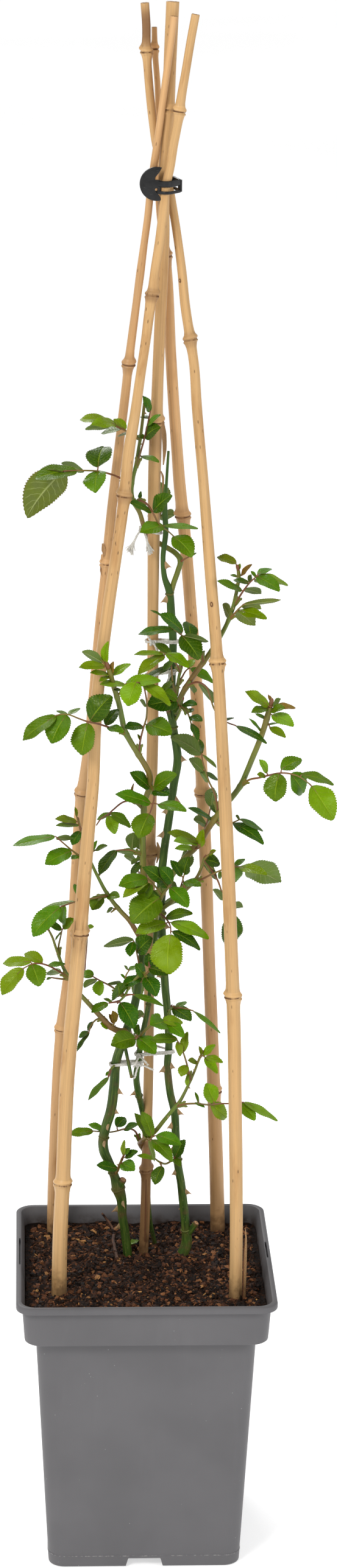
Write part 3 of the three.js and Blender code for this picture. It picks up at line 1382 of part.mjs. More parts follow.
// One leaflet: a folded, arched and waved blade with cut edges, its root sunk into its carrier at a foot.
// Both faces are split into the same triangles. The root is an edge and the tip is a point.
function leafletSolid(frame, foot, swell) {
  const { base, axis, normal, side, length, breadth, relief } = frame;
  const { edge, ribs } = bladeOutline(length);
  const lift = (along, out) => relief * (length * BLADE_ARCH * 4 * along * (1 - along)
    + length * BLADE_WAVE * Math.sin(9 * along + 2 * Math.sign(out)) * Math.abs(out)
    + BLADE_FOLD * Math.abs(out) * breadth / 2);
  const spot = (along, out) => base.clone()
    .addScaledVector(axis, along * length)
    .addScaledVector(side, out * (breadth / 2 + swell))
    .addScaledVector(normal, lift(along, out));
  const away = base.clone().sub(foot);
  const inward = away.length() > 1 ? away.normalize() : axis.clone();
  const root = foot.clone().addScaledVector(inward, -BLADE_ROOT_DEPTH - swell);
  const tip = spot(1 + swell / length, 0);
  const sheet = [
    root,
    ...edge.map(([along, out]) => spot(along, out)),
    ...edge.map(([along, out]) => spot(along, -out)),
    ...ribs.map((along) => spot(along, 0)),
  ];
  const count = sheet.length;
  const tipIndex = 2 * count;
  const right = [...edge.map((_, index) => 1 + index), tipIndex];
  const left = [...edge.map((_, index) => 1 + edge.length + index), tipIndex];
  const rib = [...ribs.map((_, index) => 1 + 2 * edge.length + index), tipIndex];
  const places = [...edge.map(([along]) => along), 1];
  const ribPlaces = [...ribs, 1];
  const faces = [[0, right[0], left[0]], [left[0], right[0], rib[0]]];
  for (const row of [right, left]) {
    let [inner, outer] = [0, 0];
    while (inner < rib.length - 1 || outer < row.length - 1) {
      const stepOut = inner === rib.length - 1
        || (outer < row.length - 1 && places[outer + 1] <= ribPlaces[inner + 1]);
      const next = stepOut ? row[outer + 1] : rib[inner + 1];
      const face = [rib[inner], row[outer], next];
      if (new Set(face).size === 3) {
        faces.push(row === right ? face : face.reverse());
      }
      outer += stepOut ? 1 : 0;
      inner += stepOut ? 0 : 1;
    }
  }
  const below = (index) => (index === tipIndex ? index : index + count);
  const under = faces.map(([a, b, c]) => [below(a), below(c), below(b)]);
  const loop = [0, ...right, ...left.slice(0, -1).reverse()];
  const rim = loop.flatMap((a, index) => {
    const b = loop[(index + 1) % loop.length];
    const quad = [[a, below(a), below(b)], [a, below(b), b]];
    return quad.filter((face) => new Set(face).size === 3);
  });
  const half = BLADE_THICKNESS / 2 + swell;
  const points = [
    ...sheet.map((point) => point.clone().addScaledVector(normal, half)),
    ...sheet.map((point) => point.clone().addScaledVector(normal, -half)),
    tip,
  ];
  return solidFromFaces(points, [...faces, ...under, ...rim]);
}

function taper(count, first, last) {
  return Array.from({ length: count }, (_, index) => first + (last - first) * index / (count - 1));
}

function shootSolid(shoot, swell = 0) {
  const stem = shoot.stem.map(seen);
  const stemRadii = taper(stem.length, shoot.girth[0] / 2 + swell, shoot.girth[1] / 2 + swell);
  const parts = [tube(stem, stemRadii, SHOOT_SIDES)];
  for (const leaf of shoot.leaves) {
    const stalk = leaf.stalk.map(seen);
    const stalkRadii = taper(stalk.length, STALK_GIRTH / 2 + swell, STALK_TAPER * STALK_GIRTH / 2 + swell);
    parts.push(tube(stalk, stalkRadii, STALK_SIDES));
    for (const leaflet of leaf.leaflets) {
      const depth = nearestDepth(leaf.stalk, leaflet);
      const frame = bladeFrame(leaflet, depth);
      if (frame.length > SMALLEST_BLADE) {
        parts.push(leafletSolid(frame, nearestOnRoute(stalk, frame.base), swell));
      }
    }
  }
  return union(parts);
}

// The depth of the stalk at the place nearest to a leaflet's base in the picture.
function nearestDepth(stalk, [across, down]) {
  let best = [Infinity, 0];
  for (let index = 0; index < stalk.length - 1; index += 1) {
    const [from, to] = [stalk[index], stalk[index + 1]];
    const [dx, dy] = [to[0] - from[0], to[1] - from[1]];
    const reach = ((across - from[0]) * dx + (down - from[1]) * dy) / (dx * dx + dy * dy);
    const share = THREE.MathUtils.clamp(reach, 0, 1);
    const distance = Math.hypot(across - from[0] - share * dx, down - from[1] - share * dy);
    if (distance < best[0]) {
      best = [distance, from[2] + share * (to[2] - from[2])];
    }
  }
  return best[1];
}

// Twine ties.
function tieSolid(tie, swell = 0) {
  const held = tie.holds.map(([node, down]) => routeAt(ROUTES[node], down));
  const middle = new THREE.Vector3();
  held.forEach(({ point }) => middle.add(point));
  middle.divideScalar(held.length);
  const first = held[0].point;
  const last = held[held.length - 1].point;
  const slope = (last.z - first.z) / Math.hypot(last.x - first.x, last.y - first.y);
  const run = new THREE.Vector3(last.x - first.x, last.y - first.y, 0).normalize();
  const loop = Array.from({ length: LOOP_STEPS }, (_, step) => {
    const turn = 2 * Math.PI * step / LOOP_STEPS;
    const out = new THREE.Vector3(Math.cos(turn), Math.sin(turn), 0);
    const gap = TWINE_RADIUS + TWINE_GAP;
    const reach = ({ point, radius }) => point.clone().addScaledVector(out, radius + gap);
    const spot = held.map(reach).reduce((best, next) => (next.dot(out) > best.dot(out) ? next : best));
    spot.z = middle.z + slope * spot.clone().sub(middle).dot(run);
    return spot;
  });
  const parts = [closedTube(loop, TWINE_RADIUS + swell, TWINE_SIDES)];
  const knotted = held[tie.knot];
  const front = loop.reduce((best, spot) => {
    const reach = spot.distanceTo(knotted.point) + spot.y;
    return reach < best.reach ? { reach, spot } : best;
  }, { reach: Infinity, spot: null }).spot;
  const knot = new THREE.OctahedronGeometry(KNOT.radius + swell, 0);
  knot.scale(...KNOT.stretch);
  knot.translate(front.x, front.y - KNOT.forward, front.z);
  parts.push(solidOf(knot));
  for (const [x, y, z] of tie.tails) {
    const start = front.clone().add(new THREE.Vector3(0, -TAIL.forward, 0));
    const bend = start.clone().add(new THREE.Vector3(x * TAIL.bend[0], y, z * TAIL.bend[1]));
    const end = start.clone().add(new THREE.Vector3(x, y, z));
    const radius = TWINE_RADIUS * TAIL.girth + swell;
    parts.push(tube([start, bend, end], [radius, radius, radius * TAIL.end], TWINE_SIDES));
  }
  return union(parts);
}

// Plant clip.
function clipOutline(circles, extra, steps) {
  return Array.from({ length: steps }, (_, step) => {
    const turn = 2 * Math.PI * step / steps;
    const out = new THREE.Vector2(Math.cos(turn), Math.sin(turn));
    const reach = ({ x, y, radius }) => new THREE.Vector2(x, y).addScaledVector(out, radius + extra);
    return circles.map(reach).reduce((best, next) => (next.dot(out) > best.dot(out) ? next : best));
  });
}

function clipSolid(swell = 0) {
  const centre = seen([...CLIP.centre, CLIP.depth]);
  const circles = Object.keys(CANES).map((name) => {
    const { point, radius } = routeAt(ROUTES[name], CLIP.centre[1]);
    return { x: point.x, y: point.y, radius: radius + CLIP.grip };
  });
  circles.push({ x: CLIP.loose.place[0], y: CLIP.loose.place[1], radius: CLIP.loose.radius });
  const bandSolid = ([low, high]) => {
    const shape = new THREE.Shape(clipOutline(circles, CLIP.band + swell, BAND_STEPS));
    shape.holes.push(new THREE.Path(clipOutline(circles, -swell, BAND_STEPS)));
    const band = new THREE.ExtrudeGeometry(shape, { depth: high - low + 2 * swell, bevelEnabled: false });
    band.translate(0, 0, centre.z + low - swell);
    return solidOf(band);
  };
  const outline = new THREE.Shape();
  const [from, to] = CLIP.arc.map(THREE.MathUtils.degToRad);
  outline.absarc(0, 0, CLIP.radius + swell, from, to, false);
  CLIP.horns.forEach(([x, z]) => outline.lineTo(x, z));
  const disc = new THREE.ExtrudeGeometry(outline, {
    depth: CLIP.thickness + 2 * swell,
    bevelEnabled: false,
    curveSegments: 9,
  });
  disc.rotateX(Math.PI / 2);
  disc.translate(centre.x, centre.y + CLIP.thickness / 2 + swell, centre.z);
  const rightEnd = Math.max(...clipOutline(circles, CLIP.band, BAND_STEPS).map(({ x }) => x));
  const [low, high] = [CLIP.lower[0], CLIP.upper[1]];
  const height = high - low;
  const middle = centre.z + (low + high) / 2;
  const bridgePlace = [rightEnd - CLIP.band / 2, CLIP.loose.place[1], middle];
  const bridge = block([CLIP.band, CLIP.bridge, height], bridgePlace);
  const [strutWidth, strutPlace] = CLIP.strut;
  const strut = block([strutWidth, CLIP.thickness, height], [centre.x + strutPlace, centre.y, middle]);
  return union([bandSolid(CLIP.upper), bandSolid(CLIP.lower), solidOf(disc), bridge, strut]);
}

// Soil. Its height over the level follows two crossed waves.
function soilHeight(x, y) {
  const wave = Math.sin(x * 0.09 + 1.3) * Math.cos(y * 0.11) + 0.6 * Math.sin(x * 0.23 - y * 0.19 + 0.5);
  return SOIL_LEVEL + SOIL_ROUGHNESS * 0.6 * wave;
}

function soilSolid(setInIt) {
  const rings = innerRings(FLOOR_HEIGHT + CLEARANCE, SOIL_LEVEL + 12, CLEARANCE);
  const filling = loft(rings);
  const across = skirtWidth(SOIL_LEVEL) + 20;
  const cell = across / SOIL_CELLS;
  const lattice = (level) => {
    const points = [];
    for (let row = 0; row <= SOIL_CELLS; row += 1) {
      for (let column = 0; column <= SOIL_CELLS; column += 1) {
        const [x, y] = [column * cell - across / 2, row * cell - across / 2];
        points.push(new THREE.Vector3(x, y, level ?? soilHeight(x, y)));
      }
    }
    return points;
  };
  const count = (SOIL_CELLS + 1) ** 2;
  const faces = [];
  const wide = SOIL_CELLS + 1;
  for (let row = 0; row < SOIL_CELLS; row += 1) {
    for (let column = 0; column < SOIL_CELLS; column += 1) {
      const a = row * wide + column;
      faces.push([a, a + 1, a + wide + 1], [a, a + wide + 1, a + wide]);
      faces.push([a + count, a + wide + 1 + count, a + 1 + count]);
      faces.push([a + count, a + wide + count, a + wide + 1 + count]);
    }
  }
  for (let step = 0; step < SOIL_CELLS; step += 1) {
    const edges = [
      [step, step + 1],
      [step * wide + SOIL_CELLS, (step + 1) * wide + SOIL_CELLS],
      [SOIL_CELLS * wide + step + 1, SOIL_CELLS * wide + step],
      [(step + 1) * wide, step * wide],
    ];
    for (const [a, b] of edges) {
      faces.push([a + count, b + count, b], [a + count, b, a]);
    }
  }
  const mould = solidFromFaces([...lattice(), ...lattice(-5)], faces);
  let soil = filling.intersect(mould);
  const draw = seededDraw(41);
  const reach = skirtWidth(SOIL_LEVEL) / 2 - WALL - CHIP.margin;
  for (let chip = 0; chip < CHIP_COUNT; chip += 1) {
    const [x, y] = [draw(-reach, reach), draw(-reach, reach)];
    const [length, breadth] = [draw(...CHIP.length), draw(...CHIP.breadth)];
    const turn = draw(0, 2 * Math.PI);
    const bark = new THREE.CylinderGeometry(breadth * 0.35, breadth * 0.62, draw(...CHIP.height), 4);
    bark.scale(length / breadth, 1, 1);
    bark.rotateX(Math.PI / 2 + draw(...CHIP.lean));
    bark.rotateZ(turn);
    bark.translate(x, y, soilHeight(x, y) + draw(...CHIP.lift));
    soil = soil.add(solidOf(bark));
  }
  return largestPiece(setInIt.reduce((rest, solid) => rest.subtract(solid), soil));
}

// What lies on the soil.
function seenOverSoil([across, down, height]) {
  return seenOnLevel(across, down, SOIL_LEVEL + height);
}

function twigSolid(swell = 0) {
  const points = FALLEN_TWIG.map(seenOverSoil);
  const [thin, thick] = TWIG_RADII;
  return tube(points, taper(points.length, thin + swell, thick + swell), STALK_SIDES + 2);
}

// The fallen leaf touches the soil at its base and at its tip.
function fallenLeafSolid(swell = 0) {
  const [base, tip] = [FALLEN_LEAF.from, FALLEN_LEAF.to].map(seenOverSoil);
  base.z = soilHeight(base.x, base.y) + FALLEN_LEAF.rest;
  tip.z = soilHeight(tip.x, tip.y) + FALLEN_LEAF.rest;
  const axis = tip.sub(base);
  const length = axis.length();
  axis.normalize();
  const side = axis.clone().cross(new THREE.Vector3(0, 0, 1)).normalize();
  const normal = side.clone().cross(axis);
  const frame = { base, axis, normal, side, length, breadth: FALLEN_LEAF.width, relief: 1 };
  return leafletSolid(frame, base.clone().addScaledVector(axis, -3), swell);
}

// The object.
const ROUTES = {};
for (const [name, cane] of Object.entries(CANES)) {
  ROUTES[name] = caneRoute(cane);
}
for (const [name, stem] of Object.entries(STEMS)) {
  ROUTES[name] = stemRoute(stem);
}
for (const [name, shoot] of Object.entries(SHOOTS)) {
  const radius = shoot.girth[0] / 2;
  ROUTES[name] = shoot.stem.map((place) => ({ point: seen(place), radius, down: place[1] }));
}

const rose = new THREE.Group();
// Each finished piece again, thicker by the clearance, for the later pieces to keep clear of.
const fat = {};

function put(name, solid, look) {
  rose.add(meshOf(name, solid, look));
}

put('pot', largestPiece(potSolid()), material(COLOURS.pot, 0.45));
for (const name of Object.keys(CANES)) {
  const colour = name.includes('front') ? COLOURS.cane_front : COLOURS.cane_back;
  put(name, routeTube(ROUTES[name], CANE_SIDES, 0), material(colour, 0.55));
  fat[name] = routeTube(ROUTES[name], CANE_SIDES, CLEARANCE);
}
for (const [name, stem] of Object.entries(STEMS)) {
  put(name, clearOf(stemSolid(stem), Object.values(fat)), material(COLOURS.stem, 0.6));
}
for (const [name, stem] of Object.entries(STEMS)) {
  fat[name] = stemSolid(stem, CLEARANCE);
}
put('fallen_twig', twigSolid(), material(COLOURS.twig, 0.85));
put('fallen_leaf', fallenLeafSolid(), material(COLOURS.leaf, 0.6));
const setInSoil = [...Object.values(fat), twigSolid(CLEARANCE), fallenLeafSolid(CLEARANCE)];
put('soil', soilSolid(setInSoil), material(COLOURS.soil, 0.95));
put('cane_clip', clearOf(clipSolid(), Object.values(fat)), material(COLOURS.clip, 0.4));
fat.cane_clip = clipSolid(CLEARANCE);
for (const [name, tie] of Object.entries(TIES)) {
  put(name, clearOf(tieSolid(tie), Object.values(fat)), material(COLOURS.twine, 0.9));
}
for (const [name, tie] of Object.entries(TIES)) {
  fat[name] = tieSolid(tie, CLEARANCE);
}
for (const [name, shoot] of Object.entries(SHOOTS)) {
  put(name, clearOf(shootSolid(shoot), Object.values(fat)), material(COLOURS.leaf, 0.5));
  fat[name] = shootSolid(shoot, CLEARANCE);
}

export default rose;
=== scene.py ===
"""Potted climbing rose: a young rose in a square plastic pot, tied to a tent of five bamboo canes.

The frame is in metres, +Z up, +Y away from the viewer, and the origin is the centre of the pot's foot.
Shapes are worked out in millimetres and written as metres in the last step of each piece.
"""
import json
import math

import bmesh
import bpy
import numpy as np
from mathutils import Matrix, Vector, noise

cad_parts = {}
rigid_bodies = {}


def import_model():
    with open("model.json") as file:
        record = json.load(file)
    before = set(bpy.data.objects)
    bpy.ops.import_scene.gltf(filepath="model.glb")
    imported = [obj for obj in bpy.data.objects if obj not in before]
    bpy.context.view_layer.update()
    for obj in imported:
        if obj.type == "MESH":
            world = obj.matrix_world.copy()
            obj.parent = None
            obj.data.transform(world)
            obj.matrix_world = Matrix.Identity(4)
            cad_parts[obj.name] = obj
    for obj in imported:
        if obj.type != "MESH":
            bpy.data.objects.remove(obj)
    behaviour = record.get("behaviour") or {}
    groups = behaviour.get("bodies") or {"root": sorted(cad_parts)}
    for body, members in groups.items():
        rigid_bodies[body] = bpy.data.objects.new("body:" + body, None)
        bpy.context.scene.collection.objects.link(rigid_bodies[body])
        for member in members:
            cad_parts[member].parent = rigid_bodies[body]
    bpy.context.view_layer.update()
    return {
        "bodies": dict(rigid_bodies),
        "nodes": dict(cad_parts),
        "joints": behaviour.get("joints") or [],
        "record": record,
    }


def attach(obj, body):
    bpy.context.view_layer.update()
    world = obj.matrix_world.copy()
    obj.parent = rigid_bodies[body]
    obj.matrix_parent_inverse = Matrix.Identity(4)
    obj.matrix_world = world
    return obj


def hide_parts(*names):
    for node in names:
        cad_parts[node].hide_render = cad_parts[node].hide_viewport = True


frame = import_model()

bl_info = {
    "name": "Potted climbing rose",
    "version": (1, 0, 0),
    "blender": (4, 5, 0),
    "location": "3D View > Sidebar > Rose",
    "description": "Makes a climbing rose in a square pot, tied to a tent of bamboo canes",
    "category": "Add Mesh",
}

MM = 0.001

# The pot's driving dimensions, in millimetres.
POT_HEIGHT = 232.5
RIM_WIDTH = 200
LIP_HEIGHT = 5.5
LIP_OVERHANG = 4.6
SKIRT_HEIGHT = 34.5
SKIRT_WIDTH = 187
SHOULDER_WIDTH = 170
BASE_WIDTH = 150
WALL = 1.8
FLOOR_HEIGHT = 9
CORNER_RADIUS = 13
SKIRT_LEVEL = POT_HEIGHT - SKIRT_HEIGHT
LIP_LEVEL = POT_HEIGHT - LIP_HEIGHT
SKIRT_TOP_WIDTH = RIM_WIDTH - 2 * LIP_OVERHANG
NOTCH_WIDTH = 27
PAD_RADIUS = 16
DRAIN_HOLE_RADIUS = 6
DRAIN_HOLE_OFFSET = 42
LABEL_SLOT = {"width": 1.3, "depth": 7, "left": 50, "right": 30}

# The soil and what is set in it.
SOIL_LEVEL = 219
SOIL_ROUGHNESS = 2.2
SOIL_PLACES = 132
CLEARANCE = 0.3
CANE_FOOT_LEVEL = 16
CANE_FOOT_REACH = 60
ROOT_LEVEL = 150

# The plant and its ties.
CANE_SIDES = 24
STEM_SIDES = 16
BLADE_FOLD = 0.24
BLADE_ARCH = 0.1
BLADE_WAVE = 0.035
VEINS = 8
VEIN_SLANT = 0.24
THORN_HEIGHT = 4.2
STALK_GIRTH = 1.7
TWINE_RADIUS = 0.85

# The point of view that the places below are seen from, as (across, down, depth):
# across and down are in the picture, and depth is the distance Y behind the pot's middle.
PICTURE = (553, 2576)
VIEW_PLACE = np.array([-94.4, -2736.4, 1461.6])
VIEW_YAW, VIEW_PITCH, VIEW_ROLL = (math.radians(angle) for angle in (2.305, 17.094, 0.59))
VIEW_FOCAL = 6225
VIEW_MIDDLE = (276.5, 1288)
SENSOR = 36


# Bamboo canes. route: places of the middle line as (across, down, width). depths: (down, depth).
# joints: (down, swelling in millimetres). stains_and_shade: brown marks, as (down, height, strength);
# most are brown staining, and the long one low on the back right cane is painted shade by the pot.
# dents: dents and cracks, as (down, turn, width as an angle, height and depth in millimetres). eyes:
# where a twig was cut off, as (across, down, height). husks: torn sheaths and slivers, as (places,
# widths, height over the middle line, thickness, tint).
CANES = {
    "cane_front_left": {
        "route": [(97, 2128, 25), (100, 2000, 24), (103, 1944, 27), (110, 1776, 24), (125.5, 1600, 25),
                  (131, 1534, 26), (144, 1376, 22), (153, 1280, 20), (155.5, 1200, 21), (177.5, 1000, 20),
                  (192.5, 900, 19), (204, 815, 23), (211.5, 740, 19), (221.5, 680, 17), (230, 620, 16),
                  (239, 560, 16), (247, 500, 17), (249.5, 485, 20), (253.5, 450, 15), (261.6, 400, 16),
                  (267.5, 350, 15), (273, 302, 15), (279, 275, 15), (284.4, 240, 15), (292, 200, 15),
                  (294.5, 183, 18), (297.5, 160, 15), (304.3, 120, 14), (314.3, 60, 14), (321, 24, 14)],
        "depths": [(2128, -46), (302, -9), (24, -7)],
        "joints": [(1944, 0.9), (1534, 0.7), (815, 0.9), (485, 0.8), (183, 0.7)],
        "stains_and_shade": [(1540, 12, 0.25), (815, 6, 0.35), (485, 5, 0.5)],
        "dents": [(1534, -1.3, 0.16, 19, 1.3)],
        "husks": [
            ([(122, 1512), (120, 1532), (119, 1556)], (0.8, 1.8, 0.5), 5.0, 0.4, (0.2, 0.3, 0.2)),
            ([(206, 806), (205, 815), (203, 826)], (1.0, 2.0, 0.6), 4.4, 0.4, (0.5, 0.3, 0.2)),
        ],
    },
    "cane_back_left": {
        "route": [(87, 2022, 20), (92, 1850, 20), (101, 1690, 21), (113, 1600, 18), (121, 1500, 18),
                  (127, 1400, 18), (134, 1304, 21), (138, 1280, 18), (167, 1000, 17), (175, 925, 20),
                  (179, 880, 16), (200.5, 690, 15), (206.5, 640, 15), (211, 598, 19), (223.5, 500, 13),
                  (230, 450, 14), (236.5, 400, 12), (242, 360, 12), (248, 302, 12), (257, 240, 12),
                  (262.6, 200, 12), (268, 160, 12), (279, 80, 12), (286, 27, 12)],
        "depths": [(2022, 73), (302, -2), (27, -2)],
        "joints": [(1690, 0.5), (1304, 0.8), (925, 0.8), (598, 1.1)],
        "stains_and_shade": [(1304, 8, 0.3), (598, 9, 0.4), (1300, 560, 0.2)],
        "husks": [
            ([(168.5, 893), (170, 903), (172, 914)], (1.2, 3.4, 1.0), 3.4, 0.6, (0.1, 0.55, 0.3)),
            ([(167.5, 911), (168, 920), (169, 930)], (1.4, 2.6, 0.6), 3.0, 0.6, (-0.4, 0.3, 0.2)),
            ([(165.5, 930), (166.5, 938), (168.5, 947)], (0.8, 2.4, 0.8), 2.8, 0.5, (0.6, 0.5, 0.2)),
        ],
    },
    "cane_centre": {
        "route": [(235.5, 2057, 15), (238, 2000, 16), (240, 1921, 20), (244, 1740, 16), (245, 1500, 18),
                  (246, 1400, 27), (250.5, 1200, 19), (251, 1000, 18), (252, 900, 20), (254.5, 740, 21),
                  (256.5, 693, 23), (259, 620, 19), (263.3, 520, 19), (268.5, 400, 19), (269, 302, 19),
                  (272, 240, 19), (276, 180, 20), (279, 100, 21), (283.4, 3, 22)],
        "depths": [(2057, 34), (302, 1), (240, 2.3), (180, 4), (120, 6), (3, 8)],
        "joints": [(1921, 1.0), (1400, 2.0), (693, 0.8), (180, 0.4)],
        "stains_and_shade": [(1965, 62, 0.7), (1400, 15, 0.5), (720, 14, 0.35), (1620, 60, 0.25)],
        "dents": [(2000, -1.2, 0.3, 40, 1.6), (1400, 0.4, 0.5, 9, 1.1)],
        "husks": [
            ([(266, 692), (269, 712), (270, 738), (268, 764)],
             (2.6, 3.6, 3.0, 0.8), 4.4, 0.35, (0.4, 0.5, 0.2)),
            ([(264, 774), (267, 782), (267, 800), (266, 809)],
             (0.8, 1.7, 1.3, 0.4), 4.4, 0.35, (0.4, 0.5, 0.2)),
            ([(248, 700), (246, 716), (247, 735)], (1.8, 1.6, 0.4), 4.4, 0.35, (0.4, 0.5, 0.2)),
            ([(236, 1383), (233, 1396), (234, 1414)], (1.6, 3.6, 0.8), 4.6, 0.7, (0.0, 0.25, 0.4)),
            ([(258, 1384), (261, 1398), (257, 1418)], (1.2, 3.4, 0.8), 4.6, 0.7, (0.2, 0.3, 0.4)),
            ([(247, 1390), (245, 1406), (246, 1432)], (1.6, 2.6, 0.6), 5.4, 0.6, (0.4, 0.5, 0.3)),
            ([(240, 1400), (242, 1414), (240, 1440)], (0.8, 2.2, 0.5), 5.2, 0.6, (-0.4, 0.1, 0.5)),
            ([(240, 1936), (239, 1985), (238, 2040)], (0.4, 1.3, 0.9), 4.0, 0.3, (1.0, 1.0, 0.0)),
        ],
    },
    "cane_back_right": {
        "route": [(357, 2014, 24), (351, 1792, 24), (344, 1600, 20), (332.5, 1302, 24), (326.5, 1200, 21),
                  (313, 1000, 20), (300, 847, 23), (295, 800, 20), (290.5, 740, 19), (280, 580, 18),
                  (275, 460, 17), (272, 420, 18), (267, 380, 14), (263, 350, 13), (260, 302, 12),
                  (260, 200, 11), (258.5, 140, 10), (254, 80, 12), (253.2, 45, 9)],
        "depths": [(2014, 76), (350, 12), (302, 13.5), (280, 18.5), (260, 21), (240, 21.5), (45, 19)],
        "joints": [(1792, 0.5), (1302, 0.9), (847, 0.8), (420, 0.8), (80, 0.4)],
        # The long mark at 1850, low by the pot, is painted shade; the two short ones are brown staining.
        "stains_and_shade": [(420, 9, 0.35), (847, 8, 0.3), (1850, 330, 0.26)],
    },
    "cane_front_right": {
        "route": [(386, 2134, 21), (385.7, 1800, 22), (382.5, 1637, 26), (381, 1600, 22), (372, 1376, 22),
                  (363.5, 1200, 20), (357, 1089, 25), (345.3, 940, 19), (334.5, 800, 17), (322.5, 660, 17),
                  (318.6, 600, 16), (312.5, 558, 21), (303.7, 500, 16), (299, 450, 15), (292.7, 400, 14),
                  (285, 350, 14), (276, 302, 14), (266, 270, 14), (257, 240, 14), (251, 200, 14),
                  (243, 120, 14), (240.5, 85, 18), (240, 40, 14), (237.6, 5, 14)],
        "depths": [(2134, -54), (400, 3), (302, 11), (275, 11), (240, 10.5), (5, 8)],
        "joints": [(1637, 0.9), (1089, 1.2), (558, 1.0), (85, 0.9)],
        "stains_and_shade": [(44, 14, 0.8), (558, 6, 0.35)],
        "dents": [(2080, -0.9, 0.16, 60, 1.2), (45, -1.6, 0.5, 12, 0.5)],
        "eyes": [(347, 993, 9), (295, 461, 7)],
        "husks": [
            ([(400, 2138), (401.5, 2100), (403, 2060), (403.5, 2030), (402.5, 2018)],
             (2.6, 2.4, 1.9, 1.1, 0.3), 1.0, 0.8, (0.25, 0.55, 0.5)),
            ([(398.5, 2136), (399.5, 2090), (401, 2034)], (0.9, 0.9, 0.4), 4.6, 0.3, (1.0, 1.0, 0.0)),
        ],
    },
}

# Rose stems. route: the middle line as (across, down, depth, width). thorns: (across, down, side), where
# side is -1 for left, 1 for right and 0 for the front. stubs: cut ends as two places and a width.
# joints: woody ones, as (down, strength, height).
STEMS = {
    "rose_stem_left": {
        "route": [(209, 2055, 31, 15), (204, 2019, 30, 15), (200.5, 1994, 28, 15), (199, 1969, 26, 17),
                  (194, 1952, 24, 21), (188.5, 1934, 22, 15), (178.5, 1908, 19, 14), (171, 1891, 17, 16),
                  (169, 1876, 16, 16), (173.5, 1853, 14, 15.5), (181, 1828, 12, 16), (187, 1790, 10, 16),
                  (190, 1748, 7, 15), (205, 1700, 1, 14), (219, 1658, 0, 14), (228, 1610, 0, 13),
                  (234, 1560, 2, 12), (237, 1499, 4, 10)],
        "thorns": [(199, 1790, 1), (193, 1823, 1), (174, 1847, 0), (171, 1875, 0), (185, 1984, -1),
                   (194, 2012, -1), (202, 1973, 0), (214, 1672, -1)],
        "stubs": [((194, 1953, 24), (202, 1938, 20), 13), ((203, 1710, 1), (216, 1770, 0), 6)],
        "joints": [(1952, 0.5, 6), (1925, 0.35, 4), (1868, 0.4, 4), (1700, 0.4, 3), (1560, 0.3, 3)],
    },
    "rose_stem_centre": {
        "route": [(254, 2042, 48, 7), (248, 2016, 47, 7), (243, 1960, 44, 7), (238, 1888, 39, 7),
                  (236, 1840, 34, 8), (232, 1818, 26, 10), (226.5, 1793, 15, 11), (223.5, 1770, 9, 10.5),
                  (228, 1738, 6, 10), (231, 1710, 5, 9), (237, 1685, 4, 9), (244, 1648, 4, 8),
                  (252, 1580, 6, 8), (257, 1511, 7, 8)],
        "thorns": [(219, 1794, -1), (233, 1700, -1), (247, 1630, 1)],
        "stubs": [],
        "joints": [(1896, 0.4, 3), (1800, 0.3, 3), (1650, 0.3, 3)],
    },
    "rose_stem_right": {
        "route": [(299, 2062, 28, 18), (306, 2042, 28, 17), (304, 2012, 27, 14), (300, 1969, 26, 14),
                  (297, 1944, 25, 13.5), (292.5, 1916, 24, 13.5), (289, 1875, 23, 14),
                  (286, 1825, 21, 13.5), (279.5, 1796, 20, 13), (275, 1755, 19, 12.5),
                  (277, 1715, 18, 12.5), (275, 1668, 18, 13), (271, 1620, 17, 13), (266, 1540, 16, 13),
                  (265, 1440, 15, 13), (272, 1380, 14, 13), (278, 1341, 14, 13), (285, 1290, 14, 13.5),
                  (291.5, 1248, 14, 14.5), (287.5, 1215, 14, 13.5), (282.5, 1180, 14, 13.5),
                  (282, 1117, 14, 13), (284, 1060, 14, 13), (280.5, 1000, 14, 13.5), (278, 972, 13, 12.5),
                  (270, 948, 10, 9), (267.5, 919, 8, 8), (272, 874, 7, 9), (270.5, 838, 7, 9),
                  (272, 812, 6, 5), (276.4, 741, 5, 4)],
        "thorns": [(279, 928, 1), (264, 983, -1), (291, 1312, 1), (261, 1371, -1), (267, 1332, -1),
                   (297, 1246, 1), (264, 1755, -1), (283, 1750, 1), (297, 1826, 1), (280, 1848, -1),
                   (283, 1887, -1), (286, 1924, -1), (304, 1957, 1), (262, 1600, -1), (274, 1520, 1)],
        "stubs": [((306, 2030, 28), (322, 2009, 24), 11), ((283, 1195, 14), (276, 1168, 9), 8)],
        "joints": [(2020, 0.25, 5), (1905, 0.5, 4), (1672, 0.4, 3), (1500, 0.3, 3), (1195, 0.5, 4),
                   (975, 0.45, 4)],
    },
}

# Twine ties. holds: the places that a loop holds together, as (node, down). knot: which of them the knot
# lies at. tails: how far its two tails reach. fray: how far they are frayed.
TIES = {
    "tie_lower_left": {
        "holds": [("rose_stem_left", 1747), ("rose_stem_centre", 1745)],
        "knot": 1, "tails": [(-3, -2, -9), (9, -2, -3)], "fray": 2.4,
    },
    "tie_lower_right": {
        "holds": [("rose_stem_centre", 1727), ("cane_centre", 1727), ("rose_stem_right", 1723)],
        "knot": 0, "tails": [(5, -5, -4), (-4, -4, -6)], "fray": 2.4,
    },
    "tie_middle": {
        "holds": [("cane_centre", 1106), ("rose_stem_right", 1102)],
        "knot": 1, "tails": [(-4, -3, -7), (4, -3, 4)], "fray": 2.4,
    },
    "tie_upper": {
        "holds": [("cane_centre", 1052), ("rose_stem_right", 1054)],
        "knot": 0, "tails": [(3, -3, -6), (-3, -3, 4)], "fray": 2.4,
    },
    "tie_top": {
        "holds": [("shoot_top", 868), ("cane_centre", 872)],
        "knot": 0, "tails": [(-7, -3, -11), (4, -6, -10)], "fray": 8.0,
    },
}

